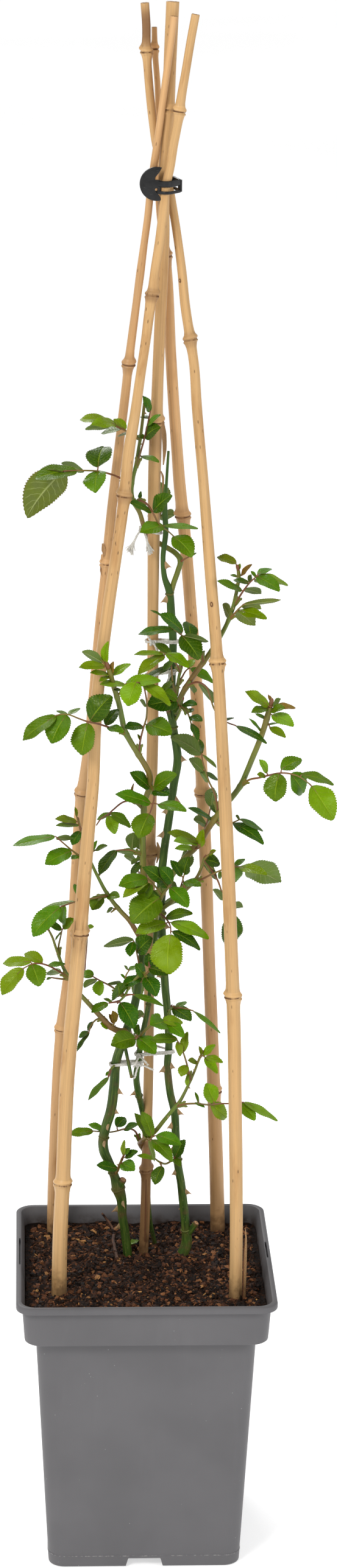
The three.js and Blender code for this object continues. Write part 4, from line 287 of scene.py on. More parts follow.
# Leafy shoots: the girth of the stem at its two ends in millimetres, and the stem's places as
# (across, down, depth).
SHOOTS = {
    "shoot_top": ((4.4, 2.2), [
        (280, 976, 14), (285, 958, 14), (292, 938, 14), (296, 920, 14), (287, 908, 18), (276, 901, 21),
        (262, 893, 24), (250, 887, 26), (241, 878, 18), (235, 862, 9), (229, 842, 3), (219, 824, -1),
        (216, 806, -4), (218, 788, -4), (223, 765, -4), (227, 740, -4), (231, 715, -4), (234, 690, -4),
        (237, 662, -4)]),
    "shoot_upper_right": ((4.6, 2.6), [
        (287, 1172, 14), (294, 1151, 10), (303, 1133, 6), (313, 1117, 2), (324, 1101, -2), (336, 1085, -3),
        (350, 1064, -4), (363, 1043, -5), (374, 1021, -8), (382, 1000, -9), (386, 982, -10),
        (390, 963, -10), (392, 946, -10), (391, 937, -10)]),
    "shoot_upper_middle": ((3.4, 2), [
        (284, 1152, 14), (290, 1138, 8), (292, 1122, 4), (295, 1106, 1), (298, 1096, 0)]),
    "shoot_middle_fan": ((2.8, 1.6), [
        (287, 1184, 14), (294, 1171, 8), (297, 1159, 2), (300, 1150, 0)]),
    "shoot_upper_left": ((5.2, 3.8), [
        (237, 1500, 4), (236, 1450, 5), (234, 1400, 5), (235, 1350, 5), (238, 1315, 4), (246, 1290, 1),
        (246, 1274, -3), (239, 1259, -7), (228, 1241, -10), (215, 1220, -14), (205, 1201, -18),
        (200, 1180, -22), (196, 1160, -26), (191, 1142, -30), (186, 1126, -34), (182, 1110, -36),
        (178, 1098, -38)]),
    "shoot_right": ((5, 4.2), [
        (266, 1462, 15), (283, 1436, 12), (302, 1412, 8), (318, 1394, 4), (333, 1374, 0), (345, 1356, -3),
        (358, 1338, -6), (370, 1322, -8), (382, 1308, -10), (395, 1290, -12), (405, 1268, -14),
        (414, 1246, -16), (424, 1222, -18), (432, 1200, -20), (438, 1180, -20), (443, 1162, -20)]),
    "shoot_right_inner": ((4, 2), [
        (264, 1494, 16), (282, 1481, 10), (302, 1464, 5), (316, 1451, 2), (325, 1438, -1), (331, 1424, -4),
        (336, 1410, -6)]),
    "shoot_heart": ((3.4, 1.8), [
        (257, 1513, 7), (260, 1495, -2), (263, 1480, -8), (270, 1466, -11), (277, 1457, -12)]),
    "shoot_left": ((4, 1.6), [
        (235, 1550, 2), (224, 1531, 1), (212, 1512, -1), (198, 1497, -3), (184, 1480, -5), (172, 1462, -7),
        (163, 1445, -9), (154, 1427, -10), (146, 1408, -12), (139, 1388, -13), (133, 1366, -14),
        (129, 1348, -14)]),
    "shoot_low_left": ((3, 1.6), [
        (229, 1614, 0), (234, 1606, -6), (230, 1602, -10), (222, 1609, -12), (212, 1622, -13),
        (203, 1638, -13), (196, 1645, -13)]),
    "shoot_lower_left": ((5.2, 1.6), [
        (209, 1693, 0), (197, 1694, -5), (182, 1687, -9), (168, 1673, -12), (154, 1658, -14),
        (142, 1645, -15), (132, 1634, -16), (122, 1620, -17), (113, 1606, -18), (104, 1590, -20),
        (97, 1572, -22), (91, 1555, -24), (86, 1540, -26), (80, 1528, -28)]),
    "shoot_low_centre": ((2.8, 1.6), [
        (226, 1718, 5), (227, 1708, -2), (232, 1699, -6), (241, 1690, -9), (252, 1682, -11),
        (262, 1679, -13)]),
    "shoot_low_middle": ((2.4, 1.6), [
        (275, 1668, 18), (279, 1660, 10), (281, 1657, 5), (284, 1654, 2)]),
    "shoot_lower_right": ((4.4, 1.8), [
        (236, 1888, 39), (230, 1878, 27), (236, 1872, 16), (245, 1867, 9), (256, 1857, 4), (268, 1842, 0),
        (282, 1825, -3), (294, 1811, -5), (303, 1795, -7), (312, 1776, -8), (320, 1758, -9),
        (326, 1742, -10), (331, 1731, -10)]),
    "shoot_base_right": ((2, 1.4), [
        (295, 1912, 24), (288, 1906, 17), (282, 1907, 14), (272, 1912, 11), (262, 1909, 8),
        (255, 1904, 5)]),
    "shoot_base_left": ((2.8, 1.6), [
        (186, 1932, 22), (194, 1921, 15), (196, 1914, 12), (200, 1905, 10), (204, 1896, 9)]),
    "shoot_side_left": ((2.4, 1.4), [
        (192, 1748, 7), (186, 1752, 1), (181, 1758, -3), (179, 1764, -5)]),
}

# The shoots' leaves. A leaf is (tones, stalk, leaflets): a letter for each leaflet's tone, its stalk's
# places, and leaflets as (across, down) of the base, (across, down) of the tip, seen width, tilt and
# bend. Tilt is in degrees from facing the viewer, past 90 it shows its underside, and bend is how much
# deeper the tip lies than the base. The tones are D dark, T middle, O olive, Y young and B bronze.
LEAVES = {
    "shoot_top": [
        ("OTTTD",
         [(218, 796, -4), (205, 789, -6), (192, 783, -8), (178, 778, -12), (160, 774, -18), (140, 773, -22),
          (122, 773, -26), (104, 774, -30)],
         [(103, 774, 44, 847, 56, 152, 14), (126, 773, 57, 786, 28, 50, -10),
          (138, 774, 101, 761, 11, 118, 12), (161, 774, 157, 808, 48, 26, -16),
          (161, 767, 170, 733, 45, 24, 18)]),
        ("YYTTYT",
         [(230, 722, -4), (215, 713, -6), (203, 706, -8), (190, 700, -12), (176, 694, -16)],
         [(174, 690, 131, 689, 17, 48, 4), (190, 697, 151, 697, 20, 30, -26),
          (180, 700, 140, 705, 9, 120, 8), (200, 704, 166, 711, 13, 60, 10),
          (206, 706, 187, 688, 16, 40, 6), (211, 712, 193, 716, 6, 60, 10)]),
        ("DTDDTT",
         [(222, 772, -4), (229, 748, -6), (236, 724, -8), (241, 703, -8), (245, 684, -8), (247, 674, -8)],
         [(246, 677, 235, 651, 13, 30, -6), (241, 699, 263, 681, 9, 50, -8),
          (238, 718, 262, 701, 24, 34, -8), (244, 687, 231, 684, 7, 55, 8), (237, 720, 226, 715, 9, 40, 4),
          (231, 749, 261, 759, 10, 55, -10)]),
        ("DDTTTD",
         [(221, 826, -1), (231, 822, -4), (241, 828, -6), (250, 841, -8), (262, 862, -8), (275, 872, -6),
          (285, 881, -4)],
         [(249, 841, 211, 824, 13, 50, -12), (251, 840, 281, 813, 26, 36, -6),
          (268, 864, 231, 874, 24, 38, -12), (269, 863, 325, 868, 11, 62, -6),
          (284, 881, 316, 914, 32, 30, -10), (230, 821, 231, 807, 6, 40, 4)]),
        ("T", [(297, 922, 13), (304, 918, 8), (312, 914, 4)], [(311, 914, 322, 908, 5, 60, 4)]),
        ("DDD",
         [(250, 887, 26), (256, 872, 34), (262, 850, 42), (268, 828, 48)],
         [(258, 868, 243, 846, 20, 130, 10), (263, 848, 286, 846, 18, 125, 8),
          (268, 828, 262, 792, 22, 140, 6)]),
    ],
    "shoot_upper_right": [
        ("TYTTTTTDO",
         [(384, 996, -9), (392, 982, -13), (402, 967, -18), (411, 956, -22), (420, 948, -26)],
         [(421, 947, 459, 970, 22, 40, -12), (423, 946, 473, 961, 14, 55, 8),
          (418, 952, 452, 962, 9, 118, 22), (420, 948, 412, 938, 6, 40, 2),
          (423, 943, 446, 934, 10, 50, 14), (397, 970, 357, 954, 13, 50, -8),
          (402, 967, 428, 975, 12, 120, 8), (408, 958, 383, 952, 10, 46, 6),
          (409, 957, 412, 944, 8, 130, 4)]),
        ("OOOYO",
         [(376, 1018, -8), (384, 1009, -12), (392, 1000, -16), (400, 993, -20)],
         [(401, 992, 461, 985, 8, 112, -6), (397, 994, 428, 1000, 14, 130, 10),
          (389, 1004, 418, 1027, 24, 148, 8), (391, 1003, 438, 1016, 17, 42, -10),
          (378, 1014, 366, 992, 13, 120, 10)]),
        ("OOBT",
         [(392, 946, -10), (390, 938, -10), (388, 932, -9)],
         [(388, 925, 356, 915, 15, 42, 4), (391, 937, 394, 926, 7, 30, 2), (395, 946, 413, 927, 8, 45, -4),
          (390, 948, 378, 944, 5, 50, 4)]),
        ("DDDDDDD",
         [(334, 1088, -3), (330, 1074, -8), (320, 1061, -11), (308, 1051, -12), (296, 1042, -12),
          (284, 1033, -12)],
         [(300, 1038, 262, 1009, 20, 44, -8), (285, 1033, 227, 1042, 15, 55, -6),
          (312, 1047, 308, 1021, 24, 40, 12), (304, 1044, 342, 1053, 9, 112, -12),
          (298, 1044, 327, 1083, 34, 32, -12), (330, 1077, 336, 1069, 5, 120, 2),
          (268, 1013, 247, 1002, 4, 60, 6)]),
        ("DDDD",
         [(304, 1131, 6), (314, 1123, 0), (326, 1121, -4), (338, 1128, -7), (345, 1146, -8),
          (352, 1166, -9), (361, 1180, -10), (373, 1187, -12), (387, 1192, -18)],
         [(328, 1122, 350, 1154, 13, 125, 8), (387, 1192, 438, 1221, 12, 58, -12),
          (366, 1184, 384, 1179, 4, 60, 4), (314, 1124, 318, 1138, 10, 130, 6)]),
    ],
    "shoot_upper_middle": [
        ("TYYYT",
         [(296, 1104, 1), (290, 1092, -6), (281, 1080, -9), (271, 1074, -11), (262, 1070, -12)],
         [(281, 1079, 255, 1056, 14, 42, 8), (268, 1073, 220, 1075, 9, 60, -8),
          (270, 1076, 226, 1107, 19, 38, -14), (272, 1073, 310, 1096, 18, 40, -12),
          (284, 1085, 267, 1102, 10, 50, -2)]),
        ("YT",
         [(292, 1126, 5), (299, 1112, 4), (307, 1100, 6), (312, 1097, 7)],
         [(308, 1097, 319, 1083, 14, 44, 4), (312, 1098, 350, 1121, 15, 42, -2)]),
        ("DT",
         [(289, 1140, 9), (284, 1124, 0), (282, 1106, -4), (281, 1092, -6)],
         [(281, 1094, 238, 1116, 12, 60, -6), (284, 1118, 265, 1137, 10, 50, -4)]),
    ],
    "shoot_middle_fan": [
        ("DDDD",
         [(297, 1159, 2), (306, 1168, -2), (311, 1179, -5), (314, 1190, -8), (320, 1202, -10)],
         [(299, 1157, 323, 1157, 12, 50, -8), (311, 1177, 332, 1184, 13, 45, -8),
          (314, 1188, 325, 1216, 12, 42, -8), (308, 1171, 318, 1164, 8, 45, 4)]),
        ("DTD",
         [(296, 1163, 4), (293, 1158, -2), (290, 1155, -5)],
         [(291, 1152, 242, 1159, 35, 32, -12), (291, 1150, 265, 1134, 16, 44, -2),
          (293, 1158, 285, 1172, 9, 40, -2)]),
    ],
    "shoot_upper_left": [
        ("YTYBYYY",
         [(181, 1108, -36), (176, 1099, -38), (172, 1091, -39), (166, 1083, -40)],
         [(172, 1095, 130, 1096, 15, 42, -8), (169, 1088, 135, 1070, 15, 125, 6),
          (173, 1091, 177, 1054, 13, 30, -2), (183, 1108, 186, 1087, 9, 35, -2),
          (185, 1110, 214, 1090, 13, 45, 6), (179, 1108, 148, 1105, 9, 50, -8),
          (180, 1112, 163, 1119, 8, 40, -8)]),
        ("YYT",
         [(192, 1146, -29), (198, 1136, -32), (205, 1125, -35)],
         [(205, 1124, 164, 1124, 12, 60, -6), (206, 1123, 264, 1117, 20, 46, 8),
          (200, 1134, 187, 1133, 6, 55, -3)]),
        ("TTTTTDDT",
         [(206, 1206, -17), (196, 1200, -26), (176, 1194, -36), (160, 1189, -41), (145, 1186, -43),
          (128, 1180, -44), (112, 1174, -44), (98, 1174, -44), (90, 1176, -44)],
         [(92, 1176, 37, 1216, 25, 40, -8), (109, 1174, 84, 1221, 40, 26, -10),
          (112, 1174, 131, 1163, 8, 58, 10), (110, 1174, 93, 1167, 6, 60, 8),
          (144, 1188, 134, 1241, 40, 24, -6), (148, 1184, 183, 1143, 41, 30, 2),
          (174, 1192, 194, 1165, 20, 38, 8), (176, 1195, 203, 1203, 13, 45, -8)]),
        ("YYDTDO",
         [(228, 1241, -10), (230, 1218, -14), (235, 1197, -17), (240, 1180, -18), (241, 1157, -19),
          (238, 1136, -20), (232, 1123, -31), (225, 1121, -39)],
         [(224, 1121, 210, 1160, 38, 24, -8), (233, 1123, 280, 1159, 18, 36, -8),
          (234, 1193, 205, 1196, 15, 45, -8), (240, 1190, 282, 1205, 33, 30, -10),
          (240, 1160, 230, 1150, 7, 120, 6), (230, 1216, 226, 1206, 4, 40, 0)]),
        ("DTDTTT",
         [(246, 1290, 1), (251, 1298, -5), (253, 1310, -8), (250, 1324, -9), (246, 1336, -10)],
         [(246, 1295, 214, 1269, 21, 40, -6), (252, 1295, 289, 1271, 25, 36, -8),
          (253, 1298, 277, 1306, 20, 46, -12), (247, 1320, 190, 1304, 20, 42, -8),
          (259, 1321, 306, 1332, 17, 46, -16), (245, 1337, 228, 1377, 39, 26, -10)]),
        ("TYTB",
         [(236, 1330, 5), (222, 1316, 4), (204, 1317, 2), (186, 1330, -2), (177, 1338, -4), (166, 1345, -6),
          (158, 1356, -9)],
         [(182, 1337, 159, 1346, 9, 50, 6), (177, 1340, 189, 1370, 20, 30, -4),
          (181, 1336, 215, 1359, 15, 44, 4), (216, 1316, 219, 1287, 5, 40, 8)]),
        ("TTDTD",
         [(234, 1404, 5), (226, 1401, 1), (217, 1397, -2), (203, 1396, -5), (191, 1397, -8)],
         [(216, 1394, 219, 1368, 33, 142, 8), (226, 1402, 192, 1398, 11, 124, -6),
          (191, 1397, 162, 1437, 19, 48, -6), (230, 1408, 216, 1420, 8, 120, 4),
          (233, 1416, 214, 1440, 12, 50, 2)]),
        ("DDD",
         [(236, 1440, 5), (226, 1430, 22), (224, 1414, 38), (230, 1396, 48)],
         [(224, 1414, 204, 1406, 20, 128, 8), (225, 1408, 248, 1404, 20, 128, 8),
          (230, 1396, 232, 1362, 24, 140, 8)]),
    ],
    "shoot_right": [
        ("YTTTTYYTT",
         [(438, 1180, -20), (441, 1170, -21), (444, 1161, -22)],
         [(441, 1160, 403, 1136, 18, 36, -8), (440, 1164, 413, 1170, 13, 44, -8),
          (438, 1182, 419, 1172, 6, 55, 4), (448, 1161, 460, 1148, 9, 130, 8),
          (444, 1168, 467, 1163, 13, 42, -8), (446, 1174, 482, 1192, 21, 38, -10),
          (442, 1195, 469, 1211, 13, 42, -4), (437, 1191, 458, 1187, 3, 66, 4),
          (430, 1203, 409, 1180, 5, 55, 2)]),
        ("BB",
         [(443, 1162, -20), (446, 1159, -18), (450, 1158, -15)],
         [(446, 1159, 440, 1141, 6, 35, 2), (451, 1159, 485, 1163, 10, 48, 2)]),
        ("YYTTTTY",
         [(395, 1292, -12), (402, 1285, -16), (412, 1280, -21), (424, 1278, -26), (440, 1274, -32),
          (460, 1270, -38), (475, 1271, -43), (493, 1277, -48), (508, 1288, -52)],
         [(438, 1270, 426, 1248, 12, 35, -2), (436, 1276, 422, 1272, 9, 45, -2),
          (461, 1264, 495, 1247, 23, 40, 6), (458, 1271, 451, 1317, 40, 26, -6),
          (477, 1272, 499, 1303, 32, 32, 8), (494, 1272, 548, 1289, 15, 52, 8),
          (511, 1291, 547, 1347, 43, 26, -8)]),
        ("DDDTDYDD",
         [(358, 1338, -6), (356, 1320, -5), (351, 1301, -3), (343, 1284, -2), (337, 1266, -1),
          (332, 1248, 0), (331, 1240, 0)],
         [(334, 1266, 311, 1246, 18, 140, 8), (342, 1284, 327, 1266, 12, 130, 10),
          (338, 1270, 358, 1281, 8, 60, 4), (331, 1239, 281, 1210, 27, 150, 10),
          (331, 1238, 327, 1214, 8, 30, -6), (333, 1240, 355, 1261, 6, 115, 4),
          (357, 1336, 346, 1323, 11, 40, 6), (352, 1302, 345, 1300, 3, 50, 4)]),
        ("DDDD",
         [(352, 1347, -4), (364, 1355, -8), (374, 1354, -10), (383, 1351, -14), (394, 1346, -18)],
         [(394, 1346, 432, 1365, 9, 62, 6), (394, 1346, 387, 1340, 6, 120, 4),
          (382, 1352, 433, 1386, 19, 44, -12), (348, 1346, 309, 1327, 9, 58, -8)]),
        ("OYYY",
         [(318, 1394, 4), (325, 1394, -2), (329, 1391, -6)],
         [(325, 1382, 275, 1367, 15, 50, -4), (324, 1386, 286, 1382, 12, 56, -20),
          (329, 1391, 333, 1363, 15, 28, -4), (318, 1393, 287, 1394, 10, 50, -4)]),
        ("DDD",
         [(333, 1374, 0), (336, 1362, 14), (341, 1346, 26), (346, 1326, 34)],
         [(339, 1354, 318, 1346, 18, 128, 8), (341, 1348, 362, 1346, 18, 128, 8),
          (346, 1326, 350, 1294, 22, 138, 8)]),
    ],
    "shoot_right_inner": [
        ("YD",
         [(336, 1411, -6), (344, 1403, -9), (352, 1398, -12)],
         [(343, 1404, 354, 1397, 7, 45, -4), (336, 1412, 361, 1420, 22, 40, 2)]),
        ("TTYTT",
         [(318, 1449, 2), (332, 1444, -4), (346, 1437, -9), (362, 1430, -13), (376, 1425, -15),
          (390, 1424, -19), (404, 1425, -22)],
         [(385, 1423, 402, 1411, 9, 45, 6), (384, 1425, 386, 1450, 22, 34, 8),
          (391, 1424, 438, 1436, 15, 42, -16), (405, 1425, 460, 1449, 42, 150, 14),
          (360, 1431, 361, 1444, 8, 30, 4)]),
        ("DDDD",
         [(335, 1413, -6), (346, 1428, -5), (357, 1446, -8), (364, 1466, -12), (370, 1484, -16),
          (376, 1500, -19)],
         [(357, 1445, 335, 1421, 11, 128, 12), (367, 1478, 350, 1461, 11, 126, 8),
          (372, 1486, 398, 1490, 14, 130, 10), (377, 1501, 378, 1554, 35, 30, 6)]),
        ("DDT",
         [(302, 1464, 5), (302, 1452, -1), (300, 1443, -4), (303, 1436, -6)],
         [(298, 1440, 280, 1413, 14, 42, 4), (302, 1436, 310, 1408, 21, 34, -4),
          (301, 1449, 330, 1455, 14, 46, -10)]),
        ("DDDD",
         [(282, 1481, 10), (290, 1470, 26), (298, 1452, 36), (304, 1430, 42)],
         [(292, 1464, 276, 1450, 18, 128, 8), (297, 1456, 320, 1452, 20, 128, 8),
          (304, 1430, 304, 1396, 22, 138, 8), (284, 1478, 296, 1484, 10, 60, -4)]),
    ],
    "shoot_heart": [
        ("DDT",
         [(277, 1457, -12), (280, 1452, -12), (282, 1447, -12)],
         [(275, 1457, 235, 1425, 22, 38, -10), (283, 1450, 262, 1426, 22, 36, -4),
          (279, 1458, 309, 1490, 26, 32, -10)]),
        ("TT",
         [(261, 1490, -4), (262, 1482, -10), (262, 1476, -14)],
         [(262, 1475, 216, 1516, 50, 24, -12), (259, 1482, 250, 1462, 10, 46, 2)]),
        ("TYT",
         [(266, 1472, -9), (258, 1460, -8), (249, 1450, -9), (242, 1443, -10)],
         [(242, 1444, 195, 1455, 24, 38, -8), (242, 1446, 202, 1474, 18, 38, -16),
          (248, 1452, 231, 1479, 26, 34, -4)]),
        ("YTYYD",
         [(259, 1498, -1), (268, 1505, -8), (276, 1514, -13), (280, 1524, -16), (280, 1534, -17)],
         [(272, 1517, 223, 1533, 22, 44, -10), (271, 1508, 316, 1500, 16, 46, -4),
          (280, 1515, 343, 1541, 20, 44, -8), (280, 1535, 277, 1601, 54, 22, -8),
          (282, 1530, 329, 1560, 17, 42, -2)]),
        ("DDD",
         [(260, 1495, -2), (268, 1492, 20), (270, 1480, 36), (272, 1462, 44)],
         [(268, 1490, 250, 1484, 18, 128, 12), (268, 1484, 290, 1482, 18, 128, 8),
          (272, 1462, 268, 1430, 22, 138, 8)]),
    ],
    "shoot_left": [
        ("OTOD",
         [(133, 1364, -14), (129, 1352, -15), (126, 1342, -15)],
         [(126, 1350, 91, 1345, 12, 42, -8), (129, 1355, 92, 1356, 8, 62, -12),
          (126, 1342, 123, 1326, 5, 35, 0), (132, 1366, 118, 1388, 17, 34, -4)]),
        ("TTTT",
         [(147, 1411, -12), (138, 1409, -14), (131, 1406, -16), (118, 1397, -20), (105, 1386, -24),
          (91, 1374, -28)],
         [(90, 1374, 21, 1389, 15, 58, -8), (93, 1376, 116, 1379, 11, 128, 10),
          (117, 1398, 74, 1420, 26, 36, -8), (130, 1406, 117, 1411, 8, 50, -6)]),
        ("TT",
         [(145, 1404, -12), (152, 1399, -8), (158, 1396, -6)],
         [(156, 1397, 176, 1389, 8, 50, -4), (152, 1398, 159, 1381, 7, 45, 2)]),
        ("TTTTTT",
         [(178, 1471, -6), (162, 1474, -11), (142, 1478, -14), (122, 1482, -18), (110, 1486, -22),
          (99, 1490, -26)],
         [(168, 1473, 151, 1495, 34, 30, -6), (176, 1472, 196, 1473, 14, 44, -8),
          (134, 1479, 122, 1452, 14, 45, 10), (122, 1481, 68, 1493, 7, 66, 6),
          (99, 1490, 53, 1538, 33, 34, -8), (106, 1488, 103, 1520, 16, 40, 6)]),
        ("T", [(192, 1490, -4), (186, 1496, -6), (182, 1499, -8)], [(185, 1491, 175, 1499, 8, 120, -3)]),
    ],
    "shoot_low_left": [
        ("DDDDDD",
         [(232, 1604, -9), (240, 1600, -12), (246, 1592, -13), (244, 1580, -13)],
         [(237, 1603, 222, 1585, 18, 40, -4), (244, 1590, 276, 1601, 20, 38, -6),
          (238, 1605, 257, 1636, 26, 30, -10), (232, 1606, 201, 1620, 17, 42, -8),
          (243, 1588, 243, 1566, 20, 36, 2), (240, 1600, 256, 1612, 8, 60, 8)]),
        ("TTT",
         [(212, 1622, -13), (206, 1612, -12), (207, 1602, -11), (212, 1594, -10)],
         [(211, 1594, 225, 1587, 7, 55, 4), (210, 1593, 204, 1586, 6, 120, 2),
          (206, 1608, 198, 1600, 4, 40, 0)]),
        ("DTTYT",
         [(203, 1638, -13), (196, 1632, -12), (190, 1626, -12), (178, 1618, -12), (166, 1612, -12),
          (152, 1604, -12)],
         [(194, 1638, 193, 1617, 34, 42, -12), (176, 1616, 198, 1615, 10, 110, 6),
          (153, 1604, 134, 1598, 18, 45, 6), (164, 1611, 163, 1636, 25, 32, -4),
          (158, 1608, 138, 1622, 12, 126, 4)]),
        ("TDT",
         [(196, 1645, -13), (190, 1646, -14), (178, 1648, -16)],
         [(177, 1648, 150, 1663, 14, 42, -6), (197, 1647, 221, 1689, 31, 30, -6),
          (184, 1647, 170, 1640, 5, 50, 4)]),
        ("T", [(205, 1635, -13), (213, 1634, -14), (221, 1634, -14)], [(220, 1634, 268, 1652, 9, 60, -4)]),
        ("TDD",
         [(232, 1604, -8), (229, 1588, -6), (225, 1568, -5), (220, 1548, -6)],
         [(219, 1544, 170, 1554, 15, 118, -8), (225, 1564, 249, 1540, 30, 34, -4),
          (219, 1547, 213, 1571, 17, 38, -8)]),
    ],
    "shoot_lower_left": [
        ("YYTYTT",
         [(113, 1608, -18), (104, 1600, -22), (92, 1593, -26), (78, 1586, -32), (66, 1583, -36),
          (52, 1584, -40), (40, 1590, -44)],
         [(51, 1580, 4, 1582, 17, 44, 4), (70, 1581, 40, 1566, 18, 42, 6), (52, 1584, 65, 1620, 38, 26, -8),
          (38, 1591, 2, 1634, 27, 32, -6), (79, 1586, 107, 1583, 8, 58, 4),
          (99, 1598, 77, 1597, 11, 60, 10)]),
        ("YTT",
         [(97, 1572, -22), (96, 1556, -20), (99, 1541, -19), (102, 1527, -18)],
         [(103, 1526, 121, 1509, 15, 40, 0), (101, 1526, 82, 1520, 12, 45, -4),
          (101, 1530, 90, 1545, 3, 50, 2)]),
        ("YT",
         [(122, 1620, -17), (132, 1606, -8), (138, 1596, -4), (140, 1578, 0), (143, 1540, 2),
          (143, 1524, 2)],
         [(143, 1523, 154, 1522, 12, 45, 0), (141, 1560, 128, 1540, 14, 120, 8)]),
        ("BBY",
         [(182, 1687, -9), (187, 1682, -13), (189, 1677, -15)],
         [(189, 1680, 185, 1661, 12, 36, -2), (186, 1681, 179, 1666, 7, 40, -2),
          (178, 1688, 165, 1681, 11, 40, -4)]),
        ("DDD",
         [(172, 1676, -11), (160, 1674, -15), (151, 1682, -18), (146, 1695, -19)],
         [(153, 1679, 143, 1693, 8, 50, 2), (146, 1696, 129, 1704, 9, 46, 2),
          (146, 1697, 126, 1727, 7, 56, -6)]),
        ("T", [(112, 1609, -18), (98, 1608, -22), (84, 1606, -26)], [(84, 1606, 76, 1609, 4, 50, 0)]),
    ],
    "shoot_low_centre": [
        ("TTD",
         [(227, 1708, -2), (226, 1705, -7), (225, 1704, -10)],
         [(222, 1706, 183, 1717, 31, 28, -10), (226, 1705, 256, 1730, 27, 30, -8),
          (225, 1701, 227, 1683, 12, 40, 0)]),
        ("TYTT",
         [(262, 1679, -13), (268, 1679, -14), (274, 1680, -15)],
         [(270, 1679, 248, 1684, 27, 40, -14), (266, 1676, 300, 1680, 16, 50, 2),
          (274, 1681, 302, 1703, 19, 36, -8), (262, 1677, 254, 1665, 10, 36, 0)]),
        ("DDD",
         [(227, 1708, -2), (217, 1700, 10), (214, 1682, 28), (218, 1662, 40), (226, 1640, 50)],
         [(214, 1680, 196, 1670, 18, 128, 8), (215, 1674, 236, 1666, 20, 128, 8),
          (226, 1640, 232, 1606, 22, 138, 8)]),
    ],
    "shoot_low_middle": [
        ("DTT",
         [(281, 1657, 5), (296, 1656, 3), (308, 1658, 1), (318, 1661, -1)],
         [(284, 1656, 314, 1676, 21, 40, -12), (318, 1661, 362, 1697, 7, 62, -4),
          (290, 1655, 305, 1645, 8, 60, 10)]),
    ],
    "shoot_lower_right": [
        ("OYYYO",
         [(328, 1737, -10), (332, 1734, -11), (337, 1737, -12)],
         [(331, 1734, 327, 1719, 6, 36, -2), (333, 1734, 353, 1716, 11, 40, 2),
          (337, 1737, 366, 1745, 11, 44, -2), (336, 1738, 357, 1763, 14, 34, -10),
          (324, 1746, 309, 1742, 9, 44, -6)]),
        ("TYYYY",
         [(313, 1774, -8), (310, 1762, -12), (306, 1746, -14), (301, 1730, -15), (296, 1717, -15),
          (290, 1708, -15)],
         [(291, 1707, 247, 1708, 16, 46, -2), (302, 1728, 307, 1695, 13, 34, 6),
          (291, 1711, 296, 1735, 12, 40, -4), (306, 1750, 297, 1768, 19, 30, -6),
          (309, 1764, 307, 1785, 7, 40, -6)]),
        ("YYTTYY",
         [(288, 1818, -4), (302, 1814, -8), (320, 1813, -11), (345, 1815, -15), (362, 1813, -18),
          (376, 1813, -21), (390, 1811, -24), (400, 1811, -26)],
         [(351, 1811, 338, 1780, 26, 30, 2), (345, 1814, 372, 1837, 23, 34, 6),
          (320, 1811, 336, 1819, 5, 58, -4), (326, 1812, 320, 1794, 5, 40, 2),
          (393, 1812, 419, 1840, 21, 36, -6), (400, 1811, 456, 1841, 11, 60, 4)]),
        ("TTTTY",
         [(243, 1868, 10), (243, 1870, 2), (246, 1871, -3), (252, 1867, -6)],
         [(243, 1869, 221, 1829, 15, 42, -4), (249, 1867, 233, 1826, 19, 34, 4),
          (256, 1865, 297, 1880, 20, 38, -8), (249, 1872, 283, 1908, 20, 34, -14),
          (244, 1873, 254, 1908, 8, 118, -8)]),
        ("DDTT",
         [(230, 1878, 27), (226, 1866, 24), (220, 1857, 22), (212, 1854, 21), (203, 1855, 21),
          (192, 1858, 22), (180, 1860, 23), (165, 1859, 23), (150, 1858, 22)],
         [(191, 1851, 206, 1836, 18, 30, 6), (203, 1856, 226, 1847, 10, 50, -6),
          (153, 1858, 113, 1863, 14, 40, -2), (172, 1858, 145, 1847, 10, 46, 2)]),
    ],
    "shoot_base_right": [
        ("DT",
         [(288, 1906, 17), (287, 1903, 13), (286, 1901, 11)],
         [(287, 1903, 303, 1872, 18, 36, 6), (285, 1903, 296, 1916, 11, 36, -6)]),
        ("DY",
         [(264, 1910, 8), (264, 1913, 6), (265, 1916, 5)],
         [(266, 1916, 254, 1946, 20, 32, -8), (255, 1904, 225, 1898, 7, 56, 2)]),
    ],
    "shoot_base_left": [
        ("YTDTD",
         [(200, 1905, 10), (202, 1900, 7), (204, 1897, 5)],
         [(202, 1899, 204, 1873, 8, 36, 2), (204, 1897, 213, 1886, 8, 40, 2),
          (205, 1902, 226, 1891, 11, 44, -2), (199, 1911, 221, 1922, 21, 36, -8),
          (193, 1920, 159, 1914, 15, 42, -6)]),
    ],
    "shoot_side_left": [
        ("TT",
         [(181, 1758, -3), (180, 1764, -5), (178, 1770, -6)],
         [(178, 1770, 144, 1807, 10, 56, -4), (181, 1760, 173, 1767, 5, 46, 0)]),
    ],
}

# The plant clip that gathers the canes: a thin disc with two horns, a neck and a double ring.
CLIP = {
    "centre": (257, 302), "depth": -10.4, "radius": 12.2, "thickness": 2.2, "arc": (72, 288),
    "horns": [(2.2, -8.8), (-2.4, -3.2), (3.6, -3.2), (3.6, 2.8), (-2.4, 3), (2, 8.4)], "band": 1.5,
    "upper": (-2.2, 2.4), "lower": (-7.2, -5), "loose": {"place": (15.6, -2), "radius": 3.2},
}

# What lies on the soil, as (across, down, height over the soil's level): a dead twig and a fallen leaf.
FALLEN_TWIG = [(168, 1994, 12.5), (172, 1999, 7), (180, 2010, 2.5), (186, 2040, 2), (192, 2068, 2)]
FALLEN_LEAF = {"from": (214, 2045, 2.5), "to": (229, 2037, 3.5), "width": 6}


# Sizes and colours that a user would change.
def length_setting(name, description, default):
    return bpy.props.FloatProperty(name=name, description=description, default=default * MM,
                                   min=0, unit="LENGTH", precision=5)


def colour_setting(name, description, default):
    return bpy.props.FloatVectorProperty(name=name, description=description, subtype="COLOR_GAMMA",
                                         size=3, min=0, max=1, default=default)


